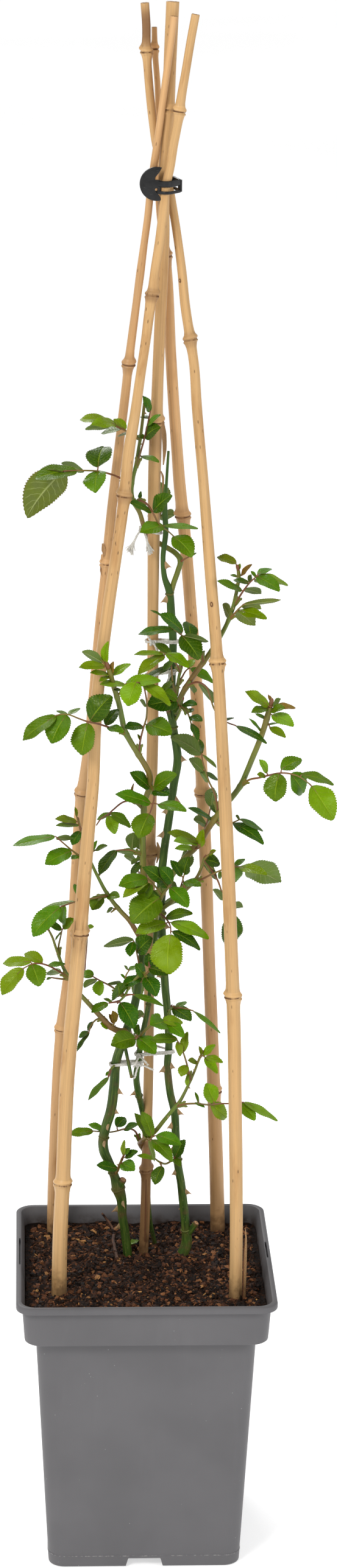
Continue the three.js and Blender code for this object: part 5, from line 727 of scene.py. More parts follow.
class RosePotSettings(bpy.types.PropertyGroup):
    colour: colour_setting("Plastic colour", "Colour of the pot's moulded plastic", (0.375, 0.37, 0.378))
    roughness: bpy.props.FloatProperty(name="Roughness", description="How matt the plastic is",
                                       default=0.46, min=0, max=1, subtype="FACTOR")


class RoseSoilSettings(bpy.types.PropertyGroup):
    chips: bpy.props.IntProperty(name="Bark chips", description="Number of chips on the soil",
                                 default=8200, min=0, max=10000)
    chip_size: length_setting("Chip size", "Length of the largest bark chip", 10.5)
    colour: colour_setting("Soil colour", "Colour of the moist potting soil", (0.115, 0.068, 0.045))


class RoseCaneSettings(bpy.types.PropertyGroup):
    pale: colour_setting("Pale cane", "Colour of the pale canes", (0.765, 0.612, 0.415))
    brown: colour_setting("Brown cane", "Colour of the brown canes", (0.80, 0.63, 0.435))


class RoseLeafSettings(bpy.types.PropertyGroup):
    thickness: length_setting("Blade thickness", "Thickness of a leaflet's blade", 0.42)
    teeth: length_setting("Tooth spacing", "Distance between the teeth of a leaflet's edge", 1.75)
    dark: colour_setting("Grown leaf", "Upper side of a grown leaf", (0.15, 0.31, 0.012))
    middle: colour_setting("Leaf", "Upper side of a leaf", (0.29, 0.45, 0.01))
    light: colour_setting("Young leaf", "Upper side of a young leaf", (0.44, 0.57, 0.03))
    olive: colour_setting("Olive leaf", "Upper side of a leaf that is not yet green", (0.38, 0.43, 0.06))
    bronze: colour_setting("New leaf", "Upper side of an unfolding leaf", (0.50, 0.35, 0.15))
    underside: colour_setting("Underside", "Lower side of a leaf", (0.36, 0.44, 0.20))


class RoseTwineSettings(bpy.types.PropertyGroup):
    radius: length_setting("Twine radius", "Radius of the cotton twine", TWINE_RADIUS)
    colour: colour_setting("Twine colour", "Colour of the cotton twine", (0.86, 0.85, 0.82))


class RoseStageSettings(bpy.types.PropertyGroup):
    floor: colour_setting("Floor colour", "Colour of the plain floor", (0.93, 0.93, 0.93))
    light: bpy.props.FloatProperty(name="Light", description="Strength of the soft light",
                                   default=1.0, min=0, max=10)


GROUPS = {
    "rose_pot": RosePotSettings,
    "rose_soil": RoseSoilSettings,
    "rose_cane": RoseCaneSettings,
    "rose_leaf": RoseLeafSettings,
    "rose_twine": RoseTwineSettings,
    "rose_stage": RoseStageSettings,
}


# Picture places.
def view_axes():
    cos, sin = math.cos, math.sin
    ahead = np.array([sin(VIEW_YAW) * cos(VIEW_PITCH), cos(VIEW_YAW) * cos(VIEW_PITCH), -sin(VIEW_PITCH)])
    level = np.array([cos(VIEW_YAW), -sin(VIEW_YAW), 0])
    upright = np.cross(level, ahead)
    return (ahead, level * cos(VIEW_ROLL) + upright * sin(VIEW_ROLL),
            upright * cos(VIEW_ROLL) - level * sin(VIEW_ROLL))


AHEAD, RIGHT, UP = view_axes()


def unit(vector):
    return vector / max(np.linalg.norm(vector), 1e-9)


def sight_line(across, down):
    return (AHEAD + RIGHT * ((across - VIEW_MIDDLE[0]) / VIEW_FOCAL)
            + UP * ((VIEW_MIDDLE[1] - down) / VIEW_FOCAL))


def seen(place):
    """The point at a place (across, down, depth) of the picture."""
    line = sight_line(place[0], place[1])
    return VIEW_PLACE + line * ((place[2] - VIEW_PLACE[1]) / line[1])


def seen_size(pixels, place):
    line = sight_line(place[0], place[1])
    return pixels * (place[2] - VIEW_PLACE[1]) / line[1] / VIEW_FOCAL


def seen_over_soil(place):
    """The point at (across, down) of the picture that lies place[2] over the soil's level."""
    line = sight_line(place[0], place[1])
    return VIEW_PLACE + line * ((SOIL_LEVEL + place[2] - VIEW_PLACE[2]) / line[2])


# Meshes. A skin gathers the parts of one piece.
class Skin:
    def __init__(self):
        self.points, self.grain, self.tint, self.faces, self.looks = [], [], [], [], []
        self.count = 0

    def add(self, points, faces, grain, tint, look=0):
        points = np.asarray(points, float).reshape(-1, 3)
        size, first = len(points), self.count
        self.points.append(points)
        self.grain.append(np.broadcast_to(np.asarray(grain, float), (size, 3)))
        self.tint.append(np.broadcast_to(np.asarray(tint, float), (size, 3)))
        self.faces.extend([tuple(first + index for index in face) for face in faces])
        self.looks.extend([look] * len(faces))
        self.count += size


def plain_mesh(name, points, faces):
    mesh = bpy.data.meshes.new(name)
    mesh.from_pydata((np.asarray(points) * MM).tolist(), [], faces)
    return mesh


def add_object(name, data):
    made = bpy.data.objects.new(name, data)
    bpy.context.scene.collection.objects.link(made)
    return made


def piece_from(name, mesh, looks, nodes, sharp):
    """Makes a finished piece of a mesh: its looks, its place on the body and what it stands for."""
    mesh.materials.clear()
    for look in looks:
        mesh.materials.append(look)
    mesh.polygons.foreach_set("use_smooth", np.ones(len(mesh.polygons), bool))
    mesh.set_sharp_from_angle(angle=math.radians(sharp))
    mesh.validate()
    piece = add_object(name, mesh)
    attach(piece, "root")
    if nodes:
        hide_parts(*nodes)
    return piece


def skin_piece(name, skin, looks, nodes, sharp):
    mesh = plain_mesh(name, np.concatenate(skin.points), skin.faces)
    for label, rows in (("grain", skin.grain), ("tint", skin.tint)):
        attribute = mesh.attributes.new(label, "FLOAT_VECTOR", "POINT")
        attribute.data.foreach_set("vector", np.concatenate(rows).astype(np.float32).ravel())
    piece = piece_from(name, mesh, looks, nodes, sharp)
    piece.data.polygons.foreach_set("material_index", np.array(skin.looks, np.int32))
    return piece


def circle(count):
    """Evenly spaced turns of a full circle."""
    return np.linspace(0, 2 * math.pi, count, endpoint=False)


def reach_along(line):
    """How far along a line each of its places lies."""
    return np.concatenate([[0], np.cumsum(np.linalg.norm(np.diff(line, axis=0), axis=1))])


def only_first(values):
    """A tint for each row of a tube, with values in its first channel."""
    return np.outer(values, [1, 0, 0])


def ring_faces(rows, sides, ends=(True, True), first=0):
    """Faces over rows of equal rings, from the ring that starts at first, with the ends that are told."""
    last = first + (rows - 1) * sides
    faces = [tuple(range(first + sides - 1, first - 1, -1))] if ends[0] else []
    for low in range(first, last, sides):
        for side in range(sides):
            after = (side + 1) % sides
            faces.append((low + side, low + after, low + sides + after, low + sides + side))
    return faces + ([tuple(range(last, last + sides))] if ends[1] else [])


def smooth_line(points, spacing):
    """Finer places on a smooth line through the given ones, and how far along each one lies."""
    points = np.asarray(points, float)
    keep = np.concatenate([[True], np.linalg.norm(np.diff(points, axis=0), axis=1) > 1e-6])
    points = points[keep]
    reach = reach_along(points)
    if len(points) < 3:
        slopes = np.broadcast_to((points[-1] - points[0]) / reach[-1], points.shape)
    else:
        slopes = np.gradient(points, reach, axis=0)
    if np.ndim(spacing) == 0:
        at = np.linspace(0, reach[-1], max(2, int(math.ceil(reach[-1] / spacing)) + 1))
    else:
        at = np.asarray(spacing, float)
    index = np.clip(np.searchsorted(reach, at, side="right") - 1, 0, len(points) - 2)
    span = (reach[index + 1] - reach[index])[:, None]
    t = (at - reach[index])[:, None] / span
    line = ((2 * t**3 - 3 * t**2 + 1) * points[index] + (t**3 - 2 * t**2 + t) * span * slopes[index]
            + (3 * t**2 - 2 * t**3) * points[index + 1] + (t**3 - t**2) * span * slopes[index + 1])
    return line, at, reach


def smooth_loop(loop, count):
    """A closed row of places, evenly spaced on a smoothed line."""
    points = np.asarray(loop, float)
    for _ in range(2):
        points = 0.25 * np.roll(points, 1, axis=0) + 0.5 * points + 0.25 * np.roll(points, -1, axis=0)
    return even_loop(points, max(12, count))


def even_loop(points, count):
    """Evenly spaced places on a closed line."""
    closed = np.concatenate([points, points[:1]])
    reach = reach_along(closed)
    at = np.linspace(0, reach[-1], count, endpoint=False)
    return np.stack([np.interp(at, reach, closed[:, axis]) for axis in range(closed.shape[1])], axis=1)


def sweep(skin, line, radii, axes, at, sides, faces, tint, look, drift, shape):
    """Rings round a line. shape(turn, at) scales them, and grain holds the place on a straightened tube."""
    turn = circle(sides)
    cos, sin = np.cos(turn), np.sin(turn)
    reach = np.outer(radii, np.ones(sides))
    if shape is not None:
        reach = reach * shape(*np.meshgrid(turn, at))
    points = (line[:, None] + axes[0][:, None] * (reach * cos)[..., None]
              + axes[1][:, None] * (reach * sin)[..., None])
    grain = np.stack([np.outer(radii, cos) + drift[0], np.outer(radii, sin) + drift[1],
                      np.outer(at, np.ones(sides))], axis=-1) * MM
    tint = np.asarray(tint, float)
    if tint.ndim == 2:
        tint = np.repeat(tint, sides, axis=0)
    skin.add(points, faces, grain.reshape(-1, 3), tint, look)


def tube(skin, line, radii, sides, tint, look=0, at=None, seed=0, shape=None, ends=(True, True)):
    """A closed tube along a line. Returns the directions along, across and out at each place."""
    line = np.asarray(line, float)
    radii = np.broadcast_to(np.asarray(radii, float), len(line))
    if at is None:
        at = reach_along(line)
    along = np.gradient(line, axis=0)
    along /= np.maximum(np.linalg.norm(along, axis=1, keepdims=True), 1e-9)
    across = [np.array([1.0, 0.2, 0.1])]
    for direction in along:
        across.append(unit(across[-1] - direction * across[-1].dot(direction)))
    across = np.array(across[1:])
    out = np.cross(along, across)
    faces = ring_faces(len(line), sides, ends)
    sweep(skin, line, radii, (across, out), at, sides, faces, tint, look, (31 * seed, 17 * seed), shape)
    return along, across, out


def ring_tube(skin, line, radius, sides, tint, look=0, shape=None, seed=0):
    """A tube along a line that closes on itself."""
    line = np.asarray(line, float)
    rows = len(line)
    along = np.roll(line, -1, axis=0) - np.roll(line, 1, axis=0)
    along /= np.linalg.norm(along, axis=1, keepdims=True)
    out = np.cross(along, [0, 0, 1])
    out /= np.linalg.norm(out, axis=1, keepdims=True)
    faces = [tuple(corner % (rows * sides) for corner in reversed(face))
             for face in ring_faces(rows + 1, sides, (False, False))]
    sweep(skin, line, np.full(rows, radius), (out, np.cross(out, along)), reach_along(line), sides, faces,
          tint, look, (31 * seed, 0), shape)


def lump(skin, centre, axes, tint, look=0, rings=6, sides=8, seed=0, rough=0.0):
    """A small closed rounded body: axes are three directions with their lengths."""
    axes = np.asarray(axes, float)
    points = [centre - axes[2]]
    for ring in range(1, rings):
        height, width = -math.cos(math.pi * ring / rings), math.sin(math.pi * ring / rings)
        for side, turn in enumerate(circle(sides)):
            spread = width * (1 + rough * noise.noise(Vector((ring * 1.7 + seed, side * 1.3, seed * 0.7))))
            points.append(centre + (axes[0] * math.cos(turn) + axes[1] * math.sin(turn)) * spread
                          + axes[2] * height)
    points.append(centre + axes[2])
    top = len(points) - 1 - sides
    faces = ring_faces(rings - 1, sides, (False, False), 1)
    for side in range(sides):
        after = (side + 1) % sides
        faces += [(0, 1 + after, 1 + side), (top + side, top + after, top + sides)]
    skin.add(points, faces, (np.array(points) - centre) * MM, tint, look)


def strip(skin, line, widths, thickness, side, tint, look=0, seed=0, curl=0.0):
    """A thin closed strip along a line, as wide as told, bowed across."""
    line = np.asarray(line, float)
    along = np.gradient(line, axis=0)
    along /= np.linalg.norm(along, axis=1, keepdims=True)
    side = side - along * np.sum(side * along, axis=1, keepdims=True)
    side /= np.linalg.norm(side, axis=1, keepdims=True)
    normal = np.cross(along, side)
    spots = np.linspace(1, -1, 5)
    top = (line[:, None] + side[:, None] * (np.outer(widths / 2, spots))[..., None]
           + normal[:, None] * (curl * np.outer(widths, spots**2))[..., None])
    shape = (len(line), len(spots))
    grain = np.stack([np.outer(widths / 2, spots), np.full(shape, 9.0 * seed),
                      np.outer(reach_along(line), np.ones(len(spots)))], axis=-1).reshape(-1, 3) * MM
    sheet(skin, top, top - normal[:, None] * thickness, grain, tint, look)


def sheet(skin, top, bottom, grain, tint, look):
    """A closed sheet between two grids of points."""
    rows, wide = top.shape[:2]
    size = rows * wide
    index = np.arange(size).reshape(rows, wide)
    a, b = index[:-1, :-1].ravel(), index[:-1, 1:].ravel()
    c, d = index[1:, 1:].ravel(), index[1:, :-1].ravel()
    loop = np.concatenate([index[:, 0][::-1], index[0, 1:], index[1:, -1], index[-1, 1:-1][::-1]])
    after = np.roll(loop, -1)
    faces = np.concatenate([np.stack(corners, axis=1) for corners in (
        (a, b, c, d), (a + size, d + size, c + size, b + size), (loop, loop + size, after + size, after))])
    skin.add(np.concatenate([top.reshape(-1, 3), bottom.reshape(-1, 3)]), faces.tolist(),
             np.concatenate([grain, grain]), tint, look)


def draw_for(name):
    """A seeded draw for a piece, the same each time."""
    return np.random.default_rng(sum(ord(letter) * (index + 1) for index, letter in enumerate(name)))


# Materials.
def linear(colour):
    return tuple(channel / 12.92 if channel <= 0.04045 else ((channel + 0.055) / 1.055) ** 2.4
                 for channel in colour) + (1.0,)


def shade(colour, *factors):
    """A colour times one factor, or times one for each channel."""
    factors = factors if len(factors) == 3 else factors * 3
    return tuple(min(1.0, channel * factor) for channel, factor in zip(colour, factors))


def give(tree, socket, value):
    if isinstance(value, bpy.types.NodeSocket):
        tree.links.new(value, socket)
    else:
        socket.default_value = value


def add_node(tree, kind, inputs=(), **settings):
    """A node with its settings, and with values or links for its inputs."""
    made = tree.nodes.new(kind)
    for key, value in settings.items():
        setattr(made, key, value)
    for key, value in dict(inputs).items():
        give(tree, made.inputs[key], value)
    return made


class Finish:
    """A material under construction. base is its colour so far, and over lays another colour on it."""

    def __init__(self, name):
        self.material = bpy.data.materials.new(name)
        self.material.use_nodes = True
        self.tree = self.material.node_tree
        self.shader = next(n for n in self.tree.nodes if n.type == "BSDF_PRINCIPLED")
        self.base = None

    def node(self, kind, inputs=(), **settings):
        return add_node(self.tree, kind, inputs, **settings)

    def place(self):
        return self.node("ShaderNodeTexCoord").outputs["Object"]

    def attribute(self, name):
        return self.node("ShaderNodeAttribute", attribute_name=name).outputs["Vector"]

    def parts(self, vector):
        return self.node("ShaderNodeSeparateXYZ", {0: vector}).outputs

    def tint(self):
        return self.parts(self.attribute("tint"))

    def scaled(self, vector, scale):
        """A vector and a scale, or a stretched vector where the scale differs by direction."""
        if isinstance(scale, tuple):
            return self.node("ShaderNodeMapping", {"Vector": vector, "Scale": scale}).outputs[0], 1
        return vector, scale

    def noise(self, vector, scale, detail=3.0, rough=0.55, twist=0.0):
        vector, scale = self.scaled(vector, scale)
        return self.node("ShaderNodeTexNoise", {"Vector": vector, "Scale": scale, "Detail": detail,
                                                "Roughness": rough, "Distortion": twist}).outputs[0]

    def spots(self, vector, scale, feature="F1"):
        vector, scale = self.scaled(vector, scale)
        return self.node("ShaderNodeTexVoronoi", {"Vector": vector, "Scale": scale},
                         feature=feature).outputs["Distance"]

    def maths(self, operation, first, second=0.0, third=0.0):
        return self.node("ShaderNodeMath", {0: first, 1: second, 2: third}, operation=operation).outputs[0]

    def times(self, first, second):
        return self.maths("MULTIPLY", first, second)

    def plus(self, first, second):
        return self.maths("ADD", first, second)

    def minus(self, first, second):
        return self.maths("SUBTRACT", first, second)

    def span(self, value, low, high, start=0.0, end=1.0):
        return self.node("ShaderNodeMapRange", {"Value": value, "From Min": low, "From Max": high,
                                                "To Min": start, "To Max": end},
                         interpolation_type="SMOOTHSTEP").outputs[0]

    def ramp(self, value, *stops):
        made = self.node("ShaderNodeValToRGB", {0: value})
        elements = made.color_ramp.elements
        while len(elements) < len(stops):
            elements.new(0.5)
        for element, (at, colour) in zip(elements, stops):
            element.position = at
            element.color = linear(colour)
        return made.outputs[0]

    def mix(self, share, first, second, blend="MIX"):
        made = self.node("ShaderNodeMix", data_type="RGBA", blend_type=blend, clamp_factor=True)
        give(self.tree, made.inputs["Factor"], share)
        colours = [socket for socket in made.inputs if socket.type == "RGBA"]
        for socket, value in zip(colours, (first, second)):
            give(self.tree, socket, value if isinstance(value, bpy.types.NodeSocket) else linear(value))
        return next(socket for socket in made.outputs if socket.type == "RGBA")

    def over(self, share, colour, blend="MIX"):
        self.base = self.mix(share, self.base, colour, blend)

    def varied(self, colour, hue, saturation, value):
        return self.node("ShaderNodeHueSaturation", {"Hue": hue, "Saturation": saturation, "Value": value,
                                                     "Color": colour}).outputs[0]

    def bump(self, height, depth, below=None):
        """Relief of a depth in millimetres where height runs from 0 to 1."""
        made = self.node("ShaderNodeBump", {"Height": height, "Distance": depth * MM, "Strength": 1.0})
        if below is not None:
            give(self.tree, made.inputs["Normal"], below)
        return made.outputs[0]

    def done(self, rough, normal, **more):
        for label, value in {"Base Color": self.base, "Roughness": rough, **more}.items():
            give(self.tree, self.shader.inputs[label.replace("_", " ")], value)
        if normal is not None:
            give(self.tree, self.shader.inputs["Normal"], normal)
        return self.material


def pot_finish(settings):
    look = Finish("pot_plastic")
    colour, place = settings.colour, look.place()
    height = look.parts(place)[2]
    cloud = look.noise(place, 14)
    flow = look.noise(place, (60, 60, 9), 4)
    look.base = look.mix(look.span(cloud, 0.3, 0.7), shade(colour, 0.965), shade(colour, 1.03))
    look.over(look.span(flow, 0.52, 0.75, 0, 0.25), shade(colour, 1.09))
    speck = look.times(look.span(look.spots(place, 260), 0.1, 0.06),
                       look.span(look.noise(place, 90, 2), 0.6, 0.66))
    look.over(look.times(speck, 0.6), (0.70, 0.70, 0.70))
    weld = look.maths("COMPARE", height, 9.3 * MM, 0.45 * MM)
    crumbly = look.span(look.noise(place, 420), 0.46, 0.6)
    look.over(look.times(weld, look.times(crumbly, 0.5)), (0.62, 0.61, 0.60))
    dirt = look.times(look.span(height, 0.2305, 0.217),
                      look.span(look.noise(place, 120, 4), 0.35, 0.65, 0.35, 1))
    look.over(look.times(dirt, look.tint()[0]), (0.20, 0.15, 0.12))
    scratch = look.noise(place, (900, 900, 60), 2, 0.5, 0.4)
    rough = look.plus(look.span(cloud, 0.2, 0.8, -0.05, 0.06), settings.roughness)
    return look.done(look.plus(rough, look.span(scratch, 0.55, 0.75, 0, 0.12)),
                     look.bump(flow, 0.12, look.bump(look.noise(place, 900, 2), 0.02)),
                     Specular_IOR_Level=0.25)


def soil_finish(settings):
    look = Finish("potting_soil")
    place = look.place()
    grit = look.spots(place, 420)
    coarse = look.noise(place, 160, 5, 0.65)
    look.base = look.ramp(coarse, (0.3, shade(settings.colour, 0.55)), (0.52, settings.colour),
                          (0.66, (0.26, 0.16, 0.10)), (0.8, (0.40, 0.26, 0.16)))
    look.over(look.span(grit, 0.1, 0.6, 0.75, 0), (0.04, 0.028, 0.02), "MULTIPLY")
    return look.done(look.span(coarse, 0.3, 0.7, 0.72, 0.95), look.bump(coarse, 2.2, look.bump(grit, 0.9)),
                     Specular_IOR_Level=0.12)


def chip_finish():
    look = Finish("bark_chips")
    streak = look.noise(look.attribute("grain"), (90, 900, 900), 4, 0.6)
    patch = look.noise(look.place(), 300, 4, 0.6)
    look.base = look.ramp(look.parts(look.attribute("chip"))[0], (0.0, (0.07, 0.04, 0.028)),
                          (0.45, (0.15, 0.09, 0.055)), (0.7, (0.28, 0.165, 0.10)),
                          (0.88, (0.46, 0.28, 0.165)), (0.965, (0.63, 0.42, 0.26)),
                          (1.0, (0.78, 0.58, 0.34)))
    look.over(look.span(streak, 0.38, 0.62, 0.55, 0), (0.05, 0.032, 0.024))
    look.over(look.span(patch, 0.52, 0.7, 0, 0.35), (0.52, 0.33, 0.21))
    return look.done(look.span(patch, 0.3, 0.7, 0.55, 0.85), look.bump(streak, 0.5, look.bump(patch, 0.35)),
                     Specular_IOR_Level=0.2)


def cane_finish(name, colour):
    """Bamboo. tint is (scar of a joint, or its pale band below 0, brown staining and painted shade, sawn
    end).
    """
    look = Finish(name)
    grain = look.attribute("grain")
    scarred, stained_and_shaded, sawn = look.tint()
    fibre = look.noise(grain, (1400, 1400, 14), 4, 0.6)
    wide = look.noise(grain, (420, 420, 7), 3, 0.5)
    cloud = look.noise(grain, (90, 90, 16), 4, 0.6)
    look.base = look.ramp(wide, (0.28, shade(colour, 0.94)), (0.5, colour), (0.72, shade(colour, 1.04)))
    look.over(look.span(fibre, 0.56, 0.34, 0, 0.2), shade(colour, 0.66))
    look.over(look.span(cloud, 0.52, 0.72, 0, 0.5), shade(colour, 0.80, 0.70, 0.58))
    look.over(look.span(cloud, 0.46, 0.26, 0, 0.4), shade(colour, 1.04, 1.08, 1.16))
    fleck = look.times(look.span(look.spots(grain, (300, 300, 90)), 0.17, 0.08),
                       look.span(cloud, 0.44, 0.6))
    look.over(look.times(fleck, 0.7), (0.27, 0.18, 0.11))
    broken = look.span(look.noise(grain, (190, 190, 60)), 0.4, 0.52, 0.25, 1)
    scar = look.times(look.span(scarred, 0.2, 0.8), broken)
    look.over(look.span(scarred, -0.1, -0.5, 0, 0.6), shade(colour, 1.1))
    look.over(look.times(scar, 0.9), (0.33, 0.21, 0.13))
    # Brown staining, and painted shade low by the pot in the same brown.
    look.over(stained_and_shaded, (0.40, 0.26, 0.16))
    look.over(sawn, look.mix(look.span(look.noise(grain, 1500, 2), 0.4, 0.6), (0.72, 0.58, 0.40),
                             (0.50, 0.37, 0.24)))
    height = look.plus(look.parts(look.place())[2],
                       look.span(look.noise(grain, 130), 0.3, 0.7, -0.006, 0.006))
    look.over(look.span(height, 0.243, 0.219, 0, 0.72), (0.24, 0.15, 0.09))
    return look.done(look.plus(look.span(cloud, 0.3, 0.7, 0.36, 0.52), look.times(scar, 0.3)),
                     look.bump(fibre, 0.07, look.bump(wide, 0.05)), Specular_IOR_Level=0.26)


def bark_finish():
    """The green bark of the rose's main stems. tint is (woody joint, green of the upper stem)."""
    look = Finish("rose_bark")
    grain, tint = look.attribute("grain"), look.tint()
    streak = look.noise(grain, (700, 700, 60), 4, 0.6)
    cloud = look.noise(grain, 55, 4, 0.6)
    look.base = look.ramp(streak, (0.3, (0.14, 0.23, 0.06)), (0.5, (0.23, 0.33, 0.10)),
                          (0.7, (0.36, 0.43, 0.17)))
    look.over(look.span(cloud, 0.56, 0.74, 0, 0.65), (0.37, 0.27, 0.17))
    look.over(look.span(look.spots(grain, (420, 420, 210)), 0.16, 0.08, 0, 0.55), (0.50, 0.46, 0.30))
    look.over(tint[0], (0.42, 0.33, 0.18))
    look.over(tint[1], (0.22, 0.34, 0.12))
    return look.done(look.span(cloud, 0.3, 0.7, 0.42, 0.6), look.bump(streak, 0.22, look.bump(cloud, 0.3)),
                     Specular_IOR_Level=0.25)


def thorn_finish():
    look = Finish("rose_thorns")
    patch = look.noise(look.place(), 500)
    look.base = look.ramp(look.tint()[0], (0.0, (0.46, 0.40, 0.24)), (0.35, (0.66, 0.52, 0.36)),
                          (0.75, (0.60, 0.40, 0.28)), (1.0, (0.36, 0.20, 0.13)))
    look.over(look.span(patch, 0.4, 0.7, 0, 0.4), (0.74, 0.64, 0.47))
    return look.done(look.span(patch, 0.3, 0.7, 0.38, 0.6), look.bump(patch, 0.1))


def cut_finish():
    """The pale cut wood of a pruned stub, with its rings and a browned edge."""
    look = Finish("cut_wood")
    patch = look.noise(look.place(), 700)
    look.base = look.ramp(look.tint()[0], (0.0, (0.52, 0.34, 0.22)), (0.25, (0.72, 0.56, 0.38)),
                          (0.6, (0.66, 0.49, 0.33)), (0.85, (0.42, 0.27, 0.17)), (1.0, (0.30, 0.19, 0.12)))
    look.over(look.span(patch, 0.42, 0.66, 0, 0.5), (0.34, 0.22, 0.14))
    return look.done(look.span(patch, 0.3, 0.7, 0.6, 0.85), look.bump(patch, 0.25))


def stalk_finish():
    """Young stems, leaf stalks and stipules: olive green that reddens with tint."""
    look = Finish("rose_stalks")
    streak = look.noise(look.attribute("grain"), (900, 900, 50), 3, 0.6)
    look.base = look.ramp(look.tint()[0], (0.0, (0.36, 0.46, 0.08)), (0.4, (0.46, 0.45, 0.13)),
                          (0.72, (0.50, 0.31, 0.16)), (1.0, (0.43, 0.20, 0.13)))
    look.over(look.span(streak, 0.35, 0.65, 0.4, 0), (0.29, 0.22, 0.12))
    look.over(look.span(streak, 0.6, 0.75, 0, 0.35), (0.55, 0.56, 0.30))
    return look.done(look.span(streak, 0.3, 0.7, 0.4, 0.55), look.bump(streak, 0.15))


def leaf_finish(settings):
    """Both sides of a blade. grain is (out, along, size) and tint is (tone, draw, underside)."""
    look = Finish("rose_leaf")
    place = look.place()
    out, along, _ = look.parts(look.attribute("grain"))
    tone, draw, under = look.tint()
    spread = look.maths("ABSOLUTE", out)
    share = look.maths("DIVIDE", tone, 4.0)
    cloud = look.noise(place, 75)
    mottle = look.noise(place, 520, 4, 0.6)

    # Veins: a midrib, slanting side veins that waver a little, and a fine net between them.
    slant = look.minus(along, look.times(spread, VEIN_SLANT))
    waver = look.span(look.noise(place, 160, 2), 0.2, 0.8, -0.016, 0.016)
    phase = look.maths("FRACT", look.times(look.plus(slant, waver), VEINS))
    away = look.maths("ABSOLUTE", look.minus(phase, 0.5))
    lateral = look.times(look.span(away, 0.10, 0.0), look.span(spread, 0.98, 0.6))
    vein = look.maths("MAXIMUM", look.span(spread, 0.075, 0.02), look.times(lateral, 0.62))
    net = look.span(look.spots(place, 620, "DISTANCE_TO_EDGE"), 0.10, 0.0)

    look.base = look.varied(
        look.ramp(share, (0.0, settings.dark), (0.25, settings.middle), (0.5, settings.light),
                  (0.75, settings.olive), (1.0, settings.bronze)),
        look.span(draw, 0, 1, 0.485, 0.512), look.span(cloud, 0.3, 0.7, 1.06, 0.94),
        look.times(look.span(draw, 0, 1, 0.84, 1.16), look.span(cloud, 0.3, 0.7, 0.86, 1.16)))
    look.over(look.span(mottle, 0.5, 0.75, 0, 0.22), (0.49, 0.60, 0.03))
    look.over(look.times(vein, 0.42), (0.60, 0.70, 0.16))
    look.over(look.times(net, 0.10), (0.54, 0.64, 0.08))
    reddened = look.plus(look.times(look.span(tone, 1.6, 3.6), 0.5), 0.14)
    look.over(look.times(look.span(spread, 0.9, 1.0), reddened), (0.46, 0.22, 0.10))
    top = look.base

    pale = look.mix(look.span(share, 0.2, 1.0, 0, 0.6), settings.underside, top)
    look.base = look.varied(pale, 0.5, look.span(cloud, 0.3, 0.7, 0.9, 1.1),
                            look.span(draw, 0, 1, 0.88, 1.1))
    look.over(look.times(vein, 0.5), (0.66, 0.68, 0.46))
    look.over(look.times(net, 0.22), (0.38, 0.45, 0.24))
    look.base = look.mix(under, top, look.base)

    relief = look.times(look.minus(look.times(net, -0.25), vein), look.minus(1.0, look.times(under, 2.0)))
    return look.done(look.plus(look.span(cloud, 0.3, 0.7, 0.22, 0.36), look.times(under, 0.26)),
                     look.bump(relief, 0.26, look.bump(mottle, 0.08)),
                     Specular_IOR_Level=0.22, Specular_Tint=(0.9, 1.0, 0.5, 1.0))


def twine_finish(settings):
    look = Finish("cotton_twine")
    fluff = look.noise(look.attribute("grain"), (1900, 1900, 700), 4, 0.65)
    look.base = look.ramp(fluff, (0.3, shade(settings.colour, 0.78)), (0.55, settings.colour),
                          (0.75, shade(settings.colour, 1.1)))
    look.over(look.span(look.noise(look.place(), 90), 0.5, 0.7, 0, 0.35), (0.62, 0.57, 0.47))
    return look.done(look.span(fluff, 0.3, 0.7, 0.85, 0.98), look.bump(fluff, 0.28), Sheen_Weight=0.3)


def clip_finish():
    look = Finish("clip_plastic")
    place = look.place()
    cloud = look.noise(place, 130)
    scuff = look.noise(place, (300, 300, 2400))
    look.base = look.mix(look.span(cloud, 0.35, 0.65), (0.07, 0.07, 0.072), (0.11, 0.11, 0.113))
    look.over(look.span(scuff, 0.62, 0.75, 0, 0.3), (0.36, 0.36, 0.36))
    return look.done(look.span(cloud, 0.3, 0.7, 0.34, 0.5),
                     look.bump(look.noise(place, 1400, 2), 0.03, look.bump(scuff, 0.05)),
                     Specular_IOR_Level=0.3)


def twig_finish():
    look = Finish("dead_twig")
    streak = look.noise(look.attribute("grain"), (800, 800, 120), 4, 0.65)
    look.base = look.ramp(streak, (0.3, (0.16, 0.10, 0.07)), (0.5, (0.30, 0.19, 0.13)),
                          (0.72, (0.44, 0.30, 0.21)))
    return look.done(look.span(streak, 0.3, 0.7, 0.7, 0.92), look.bump(streak, 0.35))


def floor_finish(settings):
    look = Finish("studio_floor")
    cloud = look.noise(look.place(), 0.7, 2)
    look.base = look.mix(look.span(cloud, 0.3, 0.7), settings.floor, shade(settings.floor, 0.985))
    return look.done(look.span(cloud, 0.3, 0.7, 0.75, 0.8), None, Emission_Color=look.base,
                     Emission_Strength=0.62)


# Pot.
def rounded_square(half, radius, steps):
    """A ring with round corners; half is half its width."""
    ring = []
    for corner in range(4):
        middle = (corner + 0.5) * math.pi / 2
        x, y = (math.copysign(half - radius, value) for value in (math.cos(middle), math.sin(middle)))
        for turn in np.linspace(corner, corner + 1, steps + 1) * math.pi / 2:
            ring.append((x + radius * math.cos(turn), y + radius * math.sin(turn)))
    return ring


def body_half(level):
    return (BASE_WIDTH + (SHOULDER_WIDTH - BASE_WIDTH) * level / SKIRT_LEVEL) / 2


def skirt_half(level):
    share = (level - SKIRT_LEVEL) / (LIP_LEVEL - SKIRT_LEVEL)
    return (SKIRT_WIDTH + (SKIRT_TOP_WIDTH - SKIRT_WIDTH) * share) / 2


def ring_body(rings):
    """Points and faces of a closed body over rings of equal length."""
    return [point for ring in rings for point in ring], ring_faces(len(rings), len(rings[0]))


